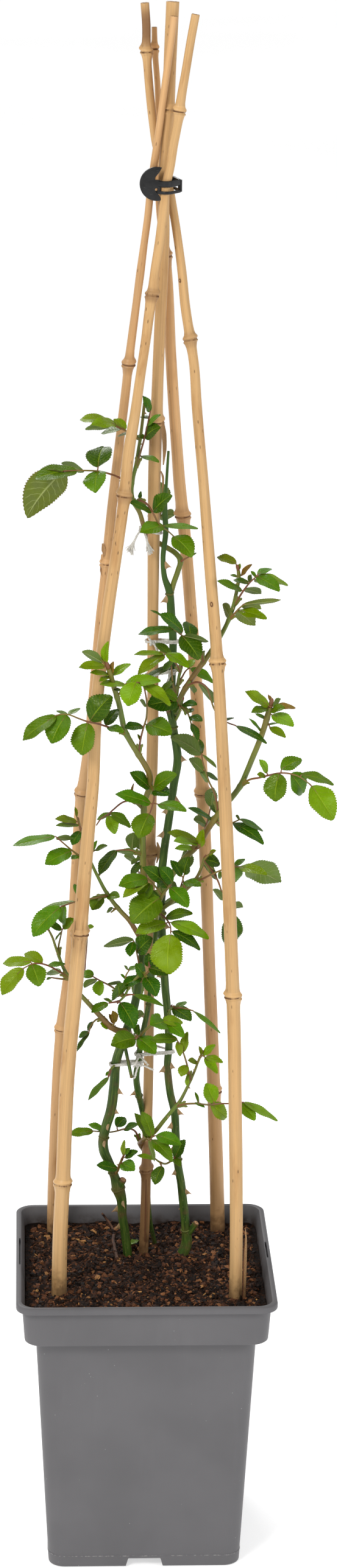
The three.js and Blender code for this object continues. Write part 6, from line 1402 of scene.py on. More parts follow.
def outward(mesh):
    """Merges doubles and turns all faces outwards."""
    form = bmesh.new()
    form.from_mesh(mesh)
    bmesh.ops.remove_doubles(form, verts=form.verts, dist=1e-7)
    bmesh.ops.recalc_face_normals(form, faces=form.faces)
    form.to_mesh(mesh)
    form.free()


def prism(outline, low, high, axis):
    """A cutter: an outline in two directions, drawn out along the third."""
    at = "xyz".index(axis)
    rings = [[(*spot[:at], level, *spot[at:]) for spot in outline] for level in (low, high)]
    return ring_body(rings)


def cut_from(base, cutters):
    """Takes cutters out of a base object one by one and returns the mesh that stays."""
    for points, faces in cutters:
        cutter = add_object("cutter", plain_mesh("cutter", points, faces))
        outward(cutter.data)
        cut = base.modifiers.new("cut", "BOOLEAN")
        cut.operation, cut.solver, cut.object = "DIFFERENCE", "EXACT", cutter
        graph = bpy.context.evaluated_depsgraph_get()
        left = bpy.data.meshes.new_from_object(base.evaluated_get(graph))
        base.modifiers.remove(cut)
        bpy.data.objects.remove(cutter)
        base.data = left
    return base.data


def pot_profile():
    """The pot's skin as (half width, corner radius, level), from under its floor round to its floor."""
    widths = (BASE_WIDTH, SHOULDER_WIDTH, SKIRT_WIDTH, RIM_WIDTH)
    foot, shoulder, skirt, lip = (width / 2 for width in widths)
    under, inner = FLOOR_HEIGHT - WALL, CORNER_RADIUS - WALL
    neck = skirt_half(LIP_LEVEL)
    rows = [(8, 3, under), (60, inner, under), (foot - WALL - 0.6, inner, under),
            (foot - WALL, inner, under - 0.6), (foot - WALL, inner, 0.4), (foot - WALL + 0.4, inner, 0),
            (foot - 0.7, CORNER_RADIUS - 0.7, 0), (foot - 0.15, CORNER_RADIUS - 0.2, 0.3)]
    outer = [(foot, 0.9), (body_half(9.0), 9.0), (body_half(9.2) + 0.22, 9.25),
             (body_half(9.6) + 0.16, 9.7), (body_half(10) - 0.1, 10.1)]
    outer += [(body_half(level) - 0.1, level) for level in np.linspace(10, SKIRT_LEVEL - 2, 15)[1:]]
    for half, level, steps in (
            (shoulder, SKIRT_LEVEL, ((0, -1), (0.3, -0.35), (1, -0.02))),
            (skirt, SKIRT_LEVEL, ((-1.6, 0), (-0.6, 0.25), (-0.1, 0.8), (0.05, 1.6)))):
        outer += [(half + wider, level + higher) for wider, higher in steps]
    outer += [(skirt_half(level), level)
              for level in (SKIRT_LEVEL + 8, SKIRT_LEVEL + 16, SKIRT_LEVEL + 23, LIP_LEVEL - 0.9)]
    for half, level, steps in (
            (neck, LIP_LEVEL, ((0.5, -0.25), (1.2, 0))),
            (lip, LIP_LEVEL, ((-0.8, 0), (-0.2, 0.3), (0, 0.9))),
            (lip, POT_HEIGHT, ((0, -1.7), (-0.25, -0.8), (-0.9, -0.2)))):
        outer += [(half + wider, level + higher) for wider, higher in steps]
    rows += [(half, CORNER_RADIUS, level) for half, level in outer]
    rows += [(lip - 1.7, CORNER_RADIUS - 1, POT_HEIGHT), (lip - 3.3, inner + 0.6, POT_HEIGHT),
             (lip - 4, inner + 0.2, POT_HEIGHT - 0.25), (lip - 4.4, inner, POT_HEIGHT - 0.9)]
    for half, level in ((neck, LIP_LEVEL - 2), (skirt_half(SKIRT_LEVEL + 12), SKIRT_LEVEL + 12),
                        (skirt_half(SKIRT_LEVEL), SKIRT_LEVEL + WALL + 0.8), (shoulder, SKIRT_LEVEL + WALL),
                        (body_half(100), 100), (body_half(FLOOR_HEIGHT), FLOOR_HEIGHT)):
        rows.append((half - WALL, inner, level))
    return rows + [(60, inner, FLOOR_HEIGHT), (8, 3, FLOOR_HEIGHT)]


def lip_wobble(x, y, level):
    """The small roughness that the mould's gate leaves on the front of the lip."""
    if level < LIP_LEVEL or y > -RIM_WIDTH / 2 + LIP_OVERHANG or abs(x - 4) > 14:
        return 0.0
    return 0.28 * noise.noise(Vector((x * 0.9, level * 1.3, 3.1))) - 0.12


def pot_cutters():
    """What is taken out of the pot: notches in its foot, four drain holes and two slots in the lip."""
    rise = FLOOR_HEIGHT - WALL
    half = NOTCH_WIDTH / 2
    notch = [(-half - 1.3, -1), (half + 1.3, -1), (half - 0.7, rise - 0.6), (half - 1.3, rise - 0.05),
             (-half + 1.3, rise - 0.05), (-half + 0.7, rise - 0.6)]
    near, far = BASE_WIDTH / 2 - WALL - 3, BASE_WIDTH / 2 + 5
    cutters = [prism(notch, *reach, axis) for axis in "yx" for reach in ((near, far), (-far, -near))]
    hole = [(DRAIN_HOLE_RADIUS * math.cos(turn), DRAIN_HOLE_RADIUS * math.sin(turn)) for turn in circle(24)]
    for x in (-DRAIN_HOLE_OFFSET, DRAIN_HOLE_OFFSET):
        for y in (-DRAIN_HOLE_OFFSET, DRAIN_HOLE_OFFSET):
            cutters.append(prism([(x + a, y + b) for a, b in hole], 0, FLOOR_HEIGHT + 3, "z"))
    middle, thick = RIM_WIDTH / 2 - LIP_OVERHANG / 2 - 0.6, LABEL_SLOT["width"] / 2
    for x, reach in ((-middle, LABEL_SLOT["left"] / 2), (middle, LABEL_SLOT["right"] / 2)):
        slot = [(x + a * thick, 8 + b * reach) for a, b in ((-1, -1), (1, -1), (1, 1), (-1, 1))]
        cutters.append(prism(slot, POT_HEIGHT - LABEL_SLOT["depth"] / 2, POT_HEIGHT + 2, "z"))
    return cutters


def make_pot(settings):
    rings = [[(x, y, level) for x, y in rounded_square(half, radius, 10)]
             for half, radius, level in pot_profile()]
    shell = add_object("pot_shell", plain_mesh("pot_shell", *ring_body(rings)))
    outward(shell.data)
    mesh = cut_from(shell, pot_cutters())
    rims = ((PAD_RADIUS - 0.6, 0), (PAD_RADIUS, 0.6), (PAD_RADIUS, FLOOR_HEIGHT - WALL + 0.5))
    pad = plain_mesh("pad", *ring_body([
        [(radius * math.cos(turn), radius * math.sin(turn), level) for turn in circle(32)]
        for radius, level in rims]))
    outward(pad)
    form = bmesh.new()
    form.from_mesh(mesh)
    form.from_mesh(pad)
    inside = form.verts.layers.float_vector.new("tint")
    for corner in form.verts:
        x, y, level = corner.co / MM
        corner.co.y += lip_wobble(x, y, level) * MM
        inner = (skirt_half(level) if level > SKIRT_LEVEL else body_half(level)) - CORNER_RADIUS
        over = math.hypot(max(0, abs(x) - inner), max(0, abs(corner.co.y / MM) - inner))
        within = over < CORNER_RADIUS - WALL + 0.3 and level > FLOOR_HEIGHT - 0.5
        corner[inside] = Vector((float(within), 0, 0))
    bmesh.ops.triangulate(form, faces=[face for face in form.faces if len(face.verts) > 4])
    form.to_mesh(mesh)
    form.free()
    bpy.data.meshes.remove(pad)
    bpy.data.objects.remove(shell)
    piece_from("pot_body", mesh, [pot_finish(settings)], ["pot"], sharp=32)


# Soil and bark.
def soil_height(x, y):
    wave = math.sin(x * 0.09 + 1.3) * math.cos(y * 0.11) + 0.6 * math.sin(x * 0.23 - y * 0.19 + 0.5)
    return SOIL_LEVEL + SOIL_ROUGHNESS * 0.6 * wave


def crumbs(x, y):
    """The soil's lumps over its even height."""
    place = Vector((x, y, 0))
    return (1.5 * noise.noise(place * 0.14) + 0.9 * noise.noise(place * 0.45 + Vector((7, 3, 1)))
            + 0.5 * noise.noise(place * 1.3))


def soil_ring(half, radius):
    return even_loop(np.array(rounded_square(half, radius, 6)), SOIL_PLACES)


def soil_rings(count):
    """Rings of the soil's top from its rim to near its middle."""
    half, radius = skirt_half(SOIL_LEVEL) - WALL - CLEARANCE, CORNER_RADIUS - WALL
    return [[(x, y, soil_height(x, y) + crumbs(x, y)) for x, y in soil_ring(half * share, radius * share)]
            for share in 1 - np.arange(count) / count]


def make_soil(settings):
    narrow = WALL + CLEARANCE
    under = [[(x, y, level) for x, y in soil_ring(half - narrow, CORNER_RADIUS - WALL)] for half, level in (
        (body_half(FLOOR_HEIGHT), FLOOR_HEIGHT + CLEARANCE), (body_half(SKIRT_LEVEL), SKIRT_LEVEL + narrow),
        (skirt_half(SKIRT_LEVEL + 2.5), SKIRT_LEVEL + 2.9), (skirt_half(SOIL_LEVEL), SOIL_LEVEL - 4))]
    mesh = plain_mesh("soil_bed", *ring_body(under + soil_rings(72)))
    outward(mesh)
    piece_from("soil_bed", mesh, [soil_finish(settings)], ["soil"], sharp=80)
    scatter_chips(settings)


def chip_shape(name, draw, size, sides):
    """One irregular bark chip of a few faces, a millimetre and more across, lying flat."""
    form = bmesh.new()
    for ring, height in ((1.0, -0.4), (0.78, 0.5)):
        for side in range(sides):
            turn = 2 * math.pi * (side + draw.uniform(-0.3, 0.3)) / sides
            spread = ring * draw.uniform(0.6, 1.0)
            form.verts.new((size[0] / 2 * spread * math.cos(turn), size[1] / 2 * spread * math.sin(turn),
                            size[2] * (height + draw.uniform(-0.22, 0.22))))
    bmesh.ops.convex_hull(form, input=form.verts)
    bmesh.ops.delete(form, geom=[v for v in form.verts if not v.link_faces], context="VERTS")
    bmesh.ops.recalc_face_normals(form, faces=form.faces)
    mesh = bpy.data.meshes.new(name)
    form.to_mesh(mesh)
    form.free()
    grain = mesh.attributes.new("grain", "FLOAT_VECTOR", "POINT")
    grain.data.foreach_set("vector", np.array([v.co for v in mesh.vertices], np.float32).ravel() * MM * 9)
    return bpy.data.objects.new(name, mesh)


def chip_tree(shapes):
    """Geometry nodes that strew chips of several shapes over a surface, each with a draw of its own."""
    tree = bpy.data.node_groups.new("strewn_chips", "GeometryNodeTree")
    sockets = {}
    for label, kind in (("Geometry", "Geometry"), ("Chips", "Int"), ("Largest", "Float"),
                        ("Finish", "Material")):
        made = tree.interface.new_socket(label, in_out="INPUT", socket_type="NodeSocket" + kind)
        sockets[label] = made.identifier
    tree.interface.new_socket("Geometry", in_out="OUTPUT", socket_type="NodeSocketGeometry")

    def add(kind, inputs=(), **settings):
        return add_node(tree, kind, inputs, **settings).outputs

    def chance(low, high, seed, output=1, **settings):
        return add("FunctionNodeRandomValue", {"Min": low, "Max": high, "Seed": seed}, **settings)[output]

    given = add("NodeGroupInput")
    face_area = add("GeometryNodeInputMeshFaceArea")[0]
    area = add("GeometryNodeAttributeStatistic", {0: given["Geometry"], 2: face_area}, domain="FACE")["Sum"]
    density = add("ShaderNodeMath", {0: given["Chips"], 1: area}, operation="DIVIDE")[0]
    spread = add("GeometryNodeDistributePointsOnFaces",
                 {"Mesh": given["Geometry"], "Density": density, "Seed": 7})["Points"]
    forms = [add("GeometryNodeObjectInfo", {"Object": shape}, transform_space="ORIGINAL")["Geometry"]
             for shape in shapes]
    gather = add_node(tree, "GeometryNodeGeometryToInstance")
    for form in reversed(forms):
        tree.links.new(form, gather.inputs[0])
    size = add("ShaderNodeMath", {0: chance(0, 1, 3), 1: 1.9}, operation="POWER")[0]
    scale = add("ShaderNodeMapRange", {"Value": size, "To Min": 0.26, "To Max": 1.0})[0]
    scale = add("ShaderNodeMath", {0: scale, 1: given["Largest"]}, operation="MULTIPLY")[0]
    lean = chance((-0.75, -0.75, 0.0), (0.75, 0.75, 6.283), 11, "Value", data_type="FLOAT_VECTOR")
    placed = add("GeometryNodeInstanceOnPoints", {
        "Points": spread, "Instance": gather.outputs[0], "Pick Instance": True,
        "Rotation": add("FunctionNodeEulerToRotation", {0: lean})[0], "Scale": scale})[0]
    named = add("GeometryNodeStoreNamedAttribute",
                {"Geometry": placed, "Name": "chip", "Value": chance(0.0, 1.0, 19)},
                data_type="FLOAT", domain="INSTANCE")[0]
    loose = add("GeometryNodeRealizeInstances", {0: named})[0]
    finished = add("GeometryNodeSetMaterial", {"Geometry": loose, "Material": given["Finish"]})[0]
    add("NodeGroupOutput", {0: finished})
    return tree, sockets


def scatter_chips(settings):
    draw = draw_for("chips")
    sizes = [(1.0, 0.62, 0.22), (1.0, 0.42, 0.20), (0.9, 0.34, 0.14), (0.8, 0.66, 0.34), (1.15, 0.20, 0.10),
             (0.6, 0.5, 0.36), (1.3, 0.11, 0.07)]
    shapes = [chip_shape(f"chip_{index}", draw, size, 5) for index, size in enumerate(sizes)]
    edge = skirt_half(SOIL_LEVEL) - WALL - 4.6
    points, faces = ring_body([ring for ring in soil_rings(40) if max(abs(x) for x, _, _ in ring) < edge])
    ground = add_object("soil_chips_ground", plain_mesh("soil_chips_ground", points, faces[1:]))
    tree, sockets = chip_tree(shapes)
    finish = chip_finish()
    strew = ground.modifiers.new("strew", "NODES")
    strew.node_group = tree
    for label, value in (("Chips", settings.chips), ("Largest", settings.chip_size), ("Finish", finish)):
        strew[sockets[label]] = value
    graph = bpy.context.evaluated_depsgraph_get()
    mesh = bpy.data.meshes.new_from_object(ground.evaluated_get(graph))
    ground.modifiers.remove(strew)
    for scratch in (ground, *shapes):
        bpy.data.objects.remove(scratch)
    piece_from("soil_chips", mesh, [finish], [], sharp=25)


# Canes. A route is (points, radii, heights in the picture), from the foot up.
def make_route(places, widths, foot_down):
    """A route through places, with a foot added at the first one."""
    points = [seen(place) for place in places]
    radii = [seen_size(width, place) / 2 for width, place in zip(widths, places)]
    return [points[0].copy()] + points, [radii[0]] + radii, [foot_down] + [place[1] for place in places]


def depth_at(name, down):
    downs, depths = zip(*sorted(CANES[name]["depths"]))
    return float(np.interp(down, downs, depths))


def cane_route(name):
    cane = CANES[name]
    places = [(across, down, depth_at(name, down)) for across, down, _ in cane["route"]]
    route = make_route(places, [width for _, _, width in cane["route"]], 2400)
    foot = route[0][0]
    foot[:2] = np.clip(foot[:2], -CANE_FOOT_REACH, CANE_FOOT_REACH)
    foot[2] = CANE_FOOT_LEVEL
    return route


def route_at(route, down):
    """The point, radius and direction of a route at a height of the picture."""
    points, radii, downs = route
    index = max(1, next(step for step, value in enumerate(downs) if value <= down))
    share = (downs[index - 1] - down) / (downs[index - 1] - downs[index])
    point = points[index - 1] + (points[index] - points[index - 1]) * share
    radius = radii[index - 1] + (radii[index] - radii[index - 1]) * share
    return point, radius, unit(points[index] - points[index - 1])


def reach_at(route, reach, down):
    """How far along a route a height of the picture lies."""
    return float(np.interp(-down, [-value for value in route[2]], reach))


def swell(away, width, power=2):
    """A smooth rise to 1 where away is 0, and as wide as told."""
    return np.exp(-(away / width) ** power)


def angle_between(turn, side):
    return np.angle(np.exp(1j * (turn - side)))


def spaced(length, coarse, fine, reach, centres):
    """Distances along a length: coarse steps, and fine ones near some centres."""
    places = [0.0]
    at = 0.0
    while at < length:
        near = any(abs(at + fine - centre) < reach for centre in centres)
        at += fine if near else coarse
        places.append(min(at, length))
    if places[-1] - places[-2] < fine / 2:
        places.pop(-2)
    return np.array(places)


def make_cane(name, seed, finish):
    cane, route = CANES[name], cane_route(name)
    points, radii, downs = route
    reach = reach_along(points)
    marks = [(reach_at(route, reach, down), swelling) for down, swelling in cane["joints"]]
    joints = [down for down, _ in cane["joints"]]
    plain = [index for index, down in enumerate(downs) if down not in joints]
    line, at, _ = smooth_line(points, spaced(reach[-1], 4.0, 0.55, 7.0, [mark for mark, _ in marks]))
    girth = np.interp(at, reach[plain], np.array(radii)[plain])
    draw = draw_for(name)
    turns = draw.uniform(0, 2 * math.pi, len(marks))
    phase = draw.uniform(0, 2 * math.pi, 3)

    def shape(turn, along):
        form = 1 + 0.010 * np.sin(3 * turn + phase[0] + along * 0.004) + 0.006 * np.sin(7 * turn + phase[1])
        form = form + 0.008 * np.sin(along * 0.05 + phase[2])
        width = np.interp(along, at, girth)
        for (mark, swelling), side in zip(marks, turns):
            off = along - mark - 0.8 * np.cos(turn - side)
            bulge = (1.3 * swelling + 0.25) * swell(off, 4.4)
            ridge = 0.75 * swell(off - 1.9, 1.3) + 0.5 * swell(off + 1.3, 0.7)
            bud_scar = 0.7 * swell(off - 3.0, 2.0) * swell(angle_between(turn, side), 0.35)
            form = form + (bulge + ridge - 0.45 * swell(off, 0.6) + bud_scar) / width
        for down, side, wide, tall, depth in cane.get("dents", ()):
            place = reach_at(route, reach, down)
            dent = swell(angle_between(turn, side), wide) * swell(along - place, tall, 4)
            form = form - depth / width * dent
        return form

    scars, stain_and_shade = np.zeros(len(at)), np.zeros(len(at))
    for mark, _ in marks:
        off = at - mark
        scars += swell(off, 0.75) - 0.8 * swell(off - 2.6, 1.5) + 0.4 * swell(off + 1.9, 0.5)
    # Brown staining, and painted shade where a long mark darkens a cane low by the pot.
    for down, tall, strength in cane["stains_and_shade"]:
        stain_and_shade = np.maximum(stain_and_shade, strength * swell(at - reach_at(route, reach, down), tall, 4))
    skin = Skin()
    tint = np.stack([scars, stain_and_shade, stain_and_shade * 0], axis=1)
    axes = tube(skin, line, girth, CANE_SIDES, tint, 0, at, seed, shape, ends=(True, False))
    cane_top(skin, line[-1], [directions[-1] for directions in axes], girth[-1], at[-1], seed, shape)
    for places, widths, over, thickness, tint in cane.get("husks", ()):
        husk = [seen((across, down, depth_at(name, down) - over)) for across, down in places]
        fine, along, ends = smooth_line(husk, 2.0)
        strip(skin, fine, np.interp(along, ends, widths), thickness, RIGHT, tint, seed=4, curl=0.16)
    for across, down, tall in cane.get("eyes", ()):
        add_eye(skin, route, across, down, tall)
    skin_piece(name + "_shaft", skin, [finish], [name], sharp=50)


def cane_top(skin, end, axes, radius, at, seed, shape):
    """The sawn end of a cane: a rough wall round a hollow, joined to the last ring of the shaft."""
    along, across, out = axes
    turn = circle(CANE_SIDES)
    outer = radius * shape(*np.meshgrid(turn, np.array([at])))[0]
    hollow = np.full(CANE_SIDES, radius * 0.42)
    rows = [(outer * 0.96, 0.25), (outer * 0.6 + hollow * 0.4, 0.3), (hollow * 1.08, 0.1), (hollow, -0.5),
            (hollow * 0.85, -min(9.0, radius * 3))]
    draw = draw_for(f"top{seed}")
    points, tints = [], []
    for index, (reach, height) in enumerate(rows):
        rough = draw.uniform(-0.12, 0.12, CANE_SIDES) if index < 3 else np.zeros(CANE_SIDES)
        points.append(end + along * (height + rough)[:, None] + across * (reach * np.cos(turn))[:, None]
                      + out * (reach * np.sin(turn))[:, None])
        tints.append(np.tile([0.0, 0.0 if index < 3 else 0.5, 1.0], (CANE_SIDES, 1)))
    points, tints = np.concatenate(points), np.concatenate(tints)
    faces = ring_faces(len(rows) + 1, CANE_SIDES, (False, True), -CANE_SIDES)
    grain = (points - end + np.array([31 * seed, 17 * seed, at])) * MM
    skin.add(points, faces, grain, tints)


def add_eye(skin, route, across, down, tall):
    """The round scar of a twig on a cane: a brown rim and a pale middle."""
    point, radius, along = route_at(route, down)
    centre = seen((across, down, point[1] - radius * 0.98))
    size = seen_size(tall, (across, down, point[1])) / 2
    for share, over, tint in ((1.0, 0.0, (1.0, 0.7, 0.0)), (0.5, 0.2, (0.0, 0.1, 0.6))):
        lump(skin, centre - AHEAD * over, (RIGHT * size * 0.55 * share, along * size * share, AHEAD * 0.5),
             tint, rings=6, sides=12)


def make_canes(settings):
    looks = {"pale": cane_finish("bamboo_pale", settings.pale),
             "brown": cane_finish("bamboo_brown", settings.brown)}
    for seed, name in enumerate(CANES):
        colour = "brown" if "back" in name else "pale"
        make_cane(name, seed + 1, looks[colour])


# Plant clip.
def hull_outline(circles, extra):
    """A band's outline round some circles, a little outside them."""
    rows = []
    for turn in circle(72):
        out = np.array([math.cos(turn), math.sin(turn)])
        spots = [np.array([x, y]) + out * (radius + extra) for x, y, radius in circles]
        rows.append(max(spots, key=lambda spot: spot.dot(out)))
    return rows


def rounded_plate(outline, thick, bevel):
    """Rings of an upright plate over an outline, with rounded edges."""
    outline = np.asarray(outline, float)
    run = np.roll(outline, -1, axis=0) - np.roll(outline, 1, axis=0)
    run /= np.maximum(np.linalg.norm(run, axis=1, keepdims=True), 1e-9)
    inward = np.stack([-run[:, 1], run[:, 0]], axis=1)
    rows = [(bevel, -thick), (bevel * 0.3, bevel * 0.3 - thick), (0, bevel - thick)]
    rows += [(inset, -height) for inset, height in reversed(rows)]
    return [[(x, -height, z) for x, z in outline + inward * inset] for inset, height in rows]


def soft_corners(corners, share=0.25):
    """Corners cut back on both sides."""
    rows = [corners[0]]
    for before, corner, after in zip(corners, corners[1:], corners[2:]):
        for near in (before, after):
            rows.append(tuple(c + (n - c) * share for n, c in zip(near, corner)))
    return rows + [corners[-1]]


def make_clip():
    skin = Skin()
    centre = seen((*CLIP["centre"], CLIP["depth"]))
    circles = []
    for name in CANES:
        point, radius, _ = route_at(cane_route(name), CLIP["centre"][1])
        circles.append((point[0], point[1], radius + 0.9))
    loose = CLIP["loose"]
    circles.append((*loose["place"], loose["radius"]))
    half = CLIP["band"] / 2
    middle = hull_outline(circles, half)
    for low, high in (CLIP["upper"], CLIP["lower"]):
        tall = (high - low) / 2

        def flat_band(turn, _):
            # A rounded rectangle: as thick as the band and as tall as told.
            return (np.abs(np.cos(turn)) ** 4 / half**4 + np.abs(np.sin(turn)) ** 4 / tall**4) ** -0.25
        ring_tube(skin, [(x, y, centre[2] + (low + high) / 2) for x, y in middle], 1.0, 16, (0, 0, 0),
                  shape=flat_band)
    low, high = CLIP["lower"][0], CLIP["upper"][1]
    right = max(x for x, _ in middle)
    spine = [(right, loose["place"][1], centre[2] + level) for level in (low + 0.6, high - 0.6)]
    tube(skin, smooth_line(spine, 1.0)[0], 1.5, 12, (0, 0, 0),
         shape=lambda turn, at: 1 + 0.5 * np.abs(np.sin(turn)) ** 3)
    start, end = (math.radians(angle) for angle in CLIP["arc"])
    outline = [(CLIP["radius"] * math.cos(turn), CLIP["radius"] * math.sin(turn))
               for turn in np.linspace(start, end, 40)]
    plate = rounded_plate(outline + soft_corners(CLIP["horns"]), CLIP["thickness"] / 2, 0.35)
    points, faces = ring_body(plate)
    points = np.array(points) + centre
    skin.add(points, faces, points * MM, (0, 0, 0))
    strut = [(centre[0] + 1.9, centre[1] + 0.2, centre[2] + level) for level in np.linspace(low, high, 8)]
    tube(skin, strut, 1.4, 12, (0, 0, 0))
    piece = skin_piece("cane_clip_body", skin, [clip_finish()], ["cane_clip"], sharp=35)
    outward(piece.data)


# Rose stems.
def stem_route(name):
    rows = STEMS[name]["route"]
    route = make_route([row[:3] for row in rows], [row[3] for row in rows], 2300)
    route[0][0][2] = ROOT_LEVEL
    return route


def perpendicular(along):
    first = unit(np.cross(along, [0.31, 0.17, 0.93] if abs(along[2]) < 0.9 else [1, 0.2, 0]))
    return first, np.cross(along, first)


def any_side(along, draw):
    """A drawn direction square to another."""
    first, second = perpendicular(along)
    angle = draw.uniform(0, 2 * math.pi)
    return first * math.cos(angle) + second * math.sin(angle)


def prickle(skin, root, out, along, height, foot, look, chance):
    """A rose's thorn: a long foot on the stem, drawn out and bent down to a sharp tip."""
    flank = np.cross(along, out)
    points, tints = [], []
    for share in np.linspace(0, 1, 7):
        narrow = (1 - share) ** 1.5
        centre = root + out * height * share - along * height * (0.10 * share + 0.30 * share**2)
        for turn in circle(8):
            points.append(centre + along * math.cos(turn) * foot * (narrow + 0.02)
                          + flank * math.sin(turn) * foot * 0.42 * (narrow + 0.03))
            tints.append((min(1.0, 0.12 + 0.9 * abs(share - 0.35)), share, chance))
    skin.add(points, ring_faces(7, 8), np.array(points) * MM, tints, look)


def stub(skin, start, end, radius, seed):
    """A pruned stub: green bark up to a browned edge, and a pale cut face."""
    line, at, _ = smooth_line([start, start + (end - start) * 0.5, end], 1.2)
    dark = np.clip((at / at[-1] - 0.82) / 0.18, 0, 1)
    radii = radius * (1 - 0.12 * at / at[-1] + 0.05 * swell(at - at[-1] + 1, 0.8))
    along, across, out = tube(skin, line, radii, STEM_SIDES, only_first(dark * 0.8), seed=seed)
    points, tints = [], []
    for reach, height in ((1.0, 0.05), (0.86, 0.30), (0.55, 0.22), (0.25, 0.12), (0.06, 0.10)):
        for angle in circle(STEM_SIDES):
            wave = 0.1 * noise.noise(Vector((reach * 3 + seed, math.cos(angle) * 2, math.sin(angle) * 2)))
            points.append(line[-1] + along[-1] * (height + wave)
                          + (across[-1] * math.cos(angle) + out[-1] * math.sin(angle)) * radii[-1] * reach)
            tints.append((reach, 0, 0))
    skin.add(points, ring_faces(5, STEM_SIDES), np.array(points) * MM, tints, 2)


def make_stem(name, looks, seed):
    stem, route = STEMS[name], stem_route(name)
    line, at, reach = smooth_line(route[0], 2.2)
    girth = np.interp(at, reach, route[1])
    draw = draw_for(name)
    phase = draw.uniform(0, 6.28, 4)

    def shape(turn, along):
        form = 1 + 0.035 * np.sin(2 * turn + phase[0] + along * 0.02)
        form = form + 0.02 * np.sin(5 * turn + along * 0.03)
        return form + 0.025 * np.sin(along * 0.21 + phase[1]) * np.sin(turn + phase[2])

    rough = np.zeros(len(at))
    for down, strength, tall in stem["joints"]:
        rough = np.maximum(rough, strength * swell(at - reach_at(route, reach, down), tall))
    green = np.clip((at - reach_at(route, reach, 1500)) / 260, 0, 0.8)
    skin = Skin()
    tube(skin, line, girth, STEM_SIDES, np.stack([rough, green, green * 0], axis=1), 0, at, seed, shape)
    for down, strength, tall in stem["joints"]:
        point, radius, along = route_at(route, down)
        first, second = perpendicular(along)
        ring = [point + along * (0.35 * math.sin(3 * turn + down))
                + radius * 1.02 * (first * math.cos(turn) + second * math.sin(turn)) for turn in circle(20)]
        ring_tube(skin, ring, 0.55 + 0.35 * strength, 6, (strength, 0, 0), seed=seed)
    for _, down, side in stem["thorns"]:
        point, radius, along = route_at(route, down)
        sideways = RIGHT * (side or 0.3) + AHEAD * (-0.35 if side else -1)
        out = unit(sideways - along * sideways.dot(along))
        size = THORN_HEIGHT * (1.05 + 0.4 * draw.random())
        prickle(skin, point + out * radius * 0.75, out, along, size, 3.7, 1, draw.random())
    for start, end, width in stem["stubs"]:
        stub(skin, seen(start), seen(end), seen_size(width, start) / 2, seed + draw.random())
    for _ in range(int(at[-1] / 55)):
        place = draw.uniform(reach[1] + 8, at[-1] - 10)
        index = int(np.searchsorted(at, place)) - 1
        along = unit(line[index + 1] - line[index])
        out = any_side(along, draw)
        if out.dot(AHEAD) > -0.2:
            root = line[index] + out * girth[index] * 0.75
            prickle(skin, root, out, along, draw.uniform(2.2, 3.8), 2.2, 1, draw.random())
    skin_piece(name + "_bark", skin, looks, [name], sharp=50)


def make_stems():
    looks = [bark_finish(), thorn_finish(), cut_finish()]
    for seed, name in enumerate(STEMS):
        make_stem(name, looks, seed + 21)


# Leafy shoots.
TONES = "DTYOB"
COLUMNS = np.array([-1, -0.8, -0.52, -0.24, -0.06, 0, 0.06, 0.24, 0.52, 0.8, 1])
FEW_COLUMNS = np.array([-1, -0.55, 0, 0.55, 1])


class BladeFrame:
    """Where a blade starts, its directions and its size. relief is how much of its arching shows."""

    def __init__(self, base, tip, normal, breadth, relief=1.0):
        self.base, self.breadth, self.relief = base, breadth, relief
        self.length = np.linalg.norm(tip - base)
        self.axis = (tip - base) / self.length
        self.normal = normal
        self.side = np.cross(self.axis, normal)


def leaflet_frame(leaflet, depth):
    base_across, base_down, tip_across, tip_down, width, tilt, bend = leaflet
    place = (base_across, base_down, depth)
    base, tip = seen(place), seen((tip_across, tip_down, depth + bend))
    axis = unit(tip - base)
    lateral = unit(np.cross(axis, AHEAD))
    lateral = lateral * math.copysign(1, lateral[2])
    facing = unit(-AHEAD + axis * AHEAD.dot(axis))
    cos, sin = math.cos(math.radians(tilt)), math.sin(math.radians(tilt))
    breadth = min(seen_size(width, place) / max(abs(cos), 0.34), 0.92 * np.linalg.norm(tip - base))
    return BladeFrame(base, tip, facing * cos + lateral * sin, breadth, cos**2)


def nearest_on(points, target):
    """The place on a line nearest to a target; the distance counts as many axes as the target has."""
    best = (1e9, None)
    axes = len(target)
    for start, end in zip(points, points[1:]):
        run = end - start
        share = (target - start[:axes]).dot(run[:axes]) / max(run[:axes].dot(run[:axes]), 1e-9)
        foot = start + run * min(1, max(0, share))
        best = min(best, (np.linalg.norm(target - foot[:axes]), foot), key=lambda found: found[0])
    return best[1]


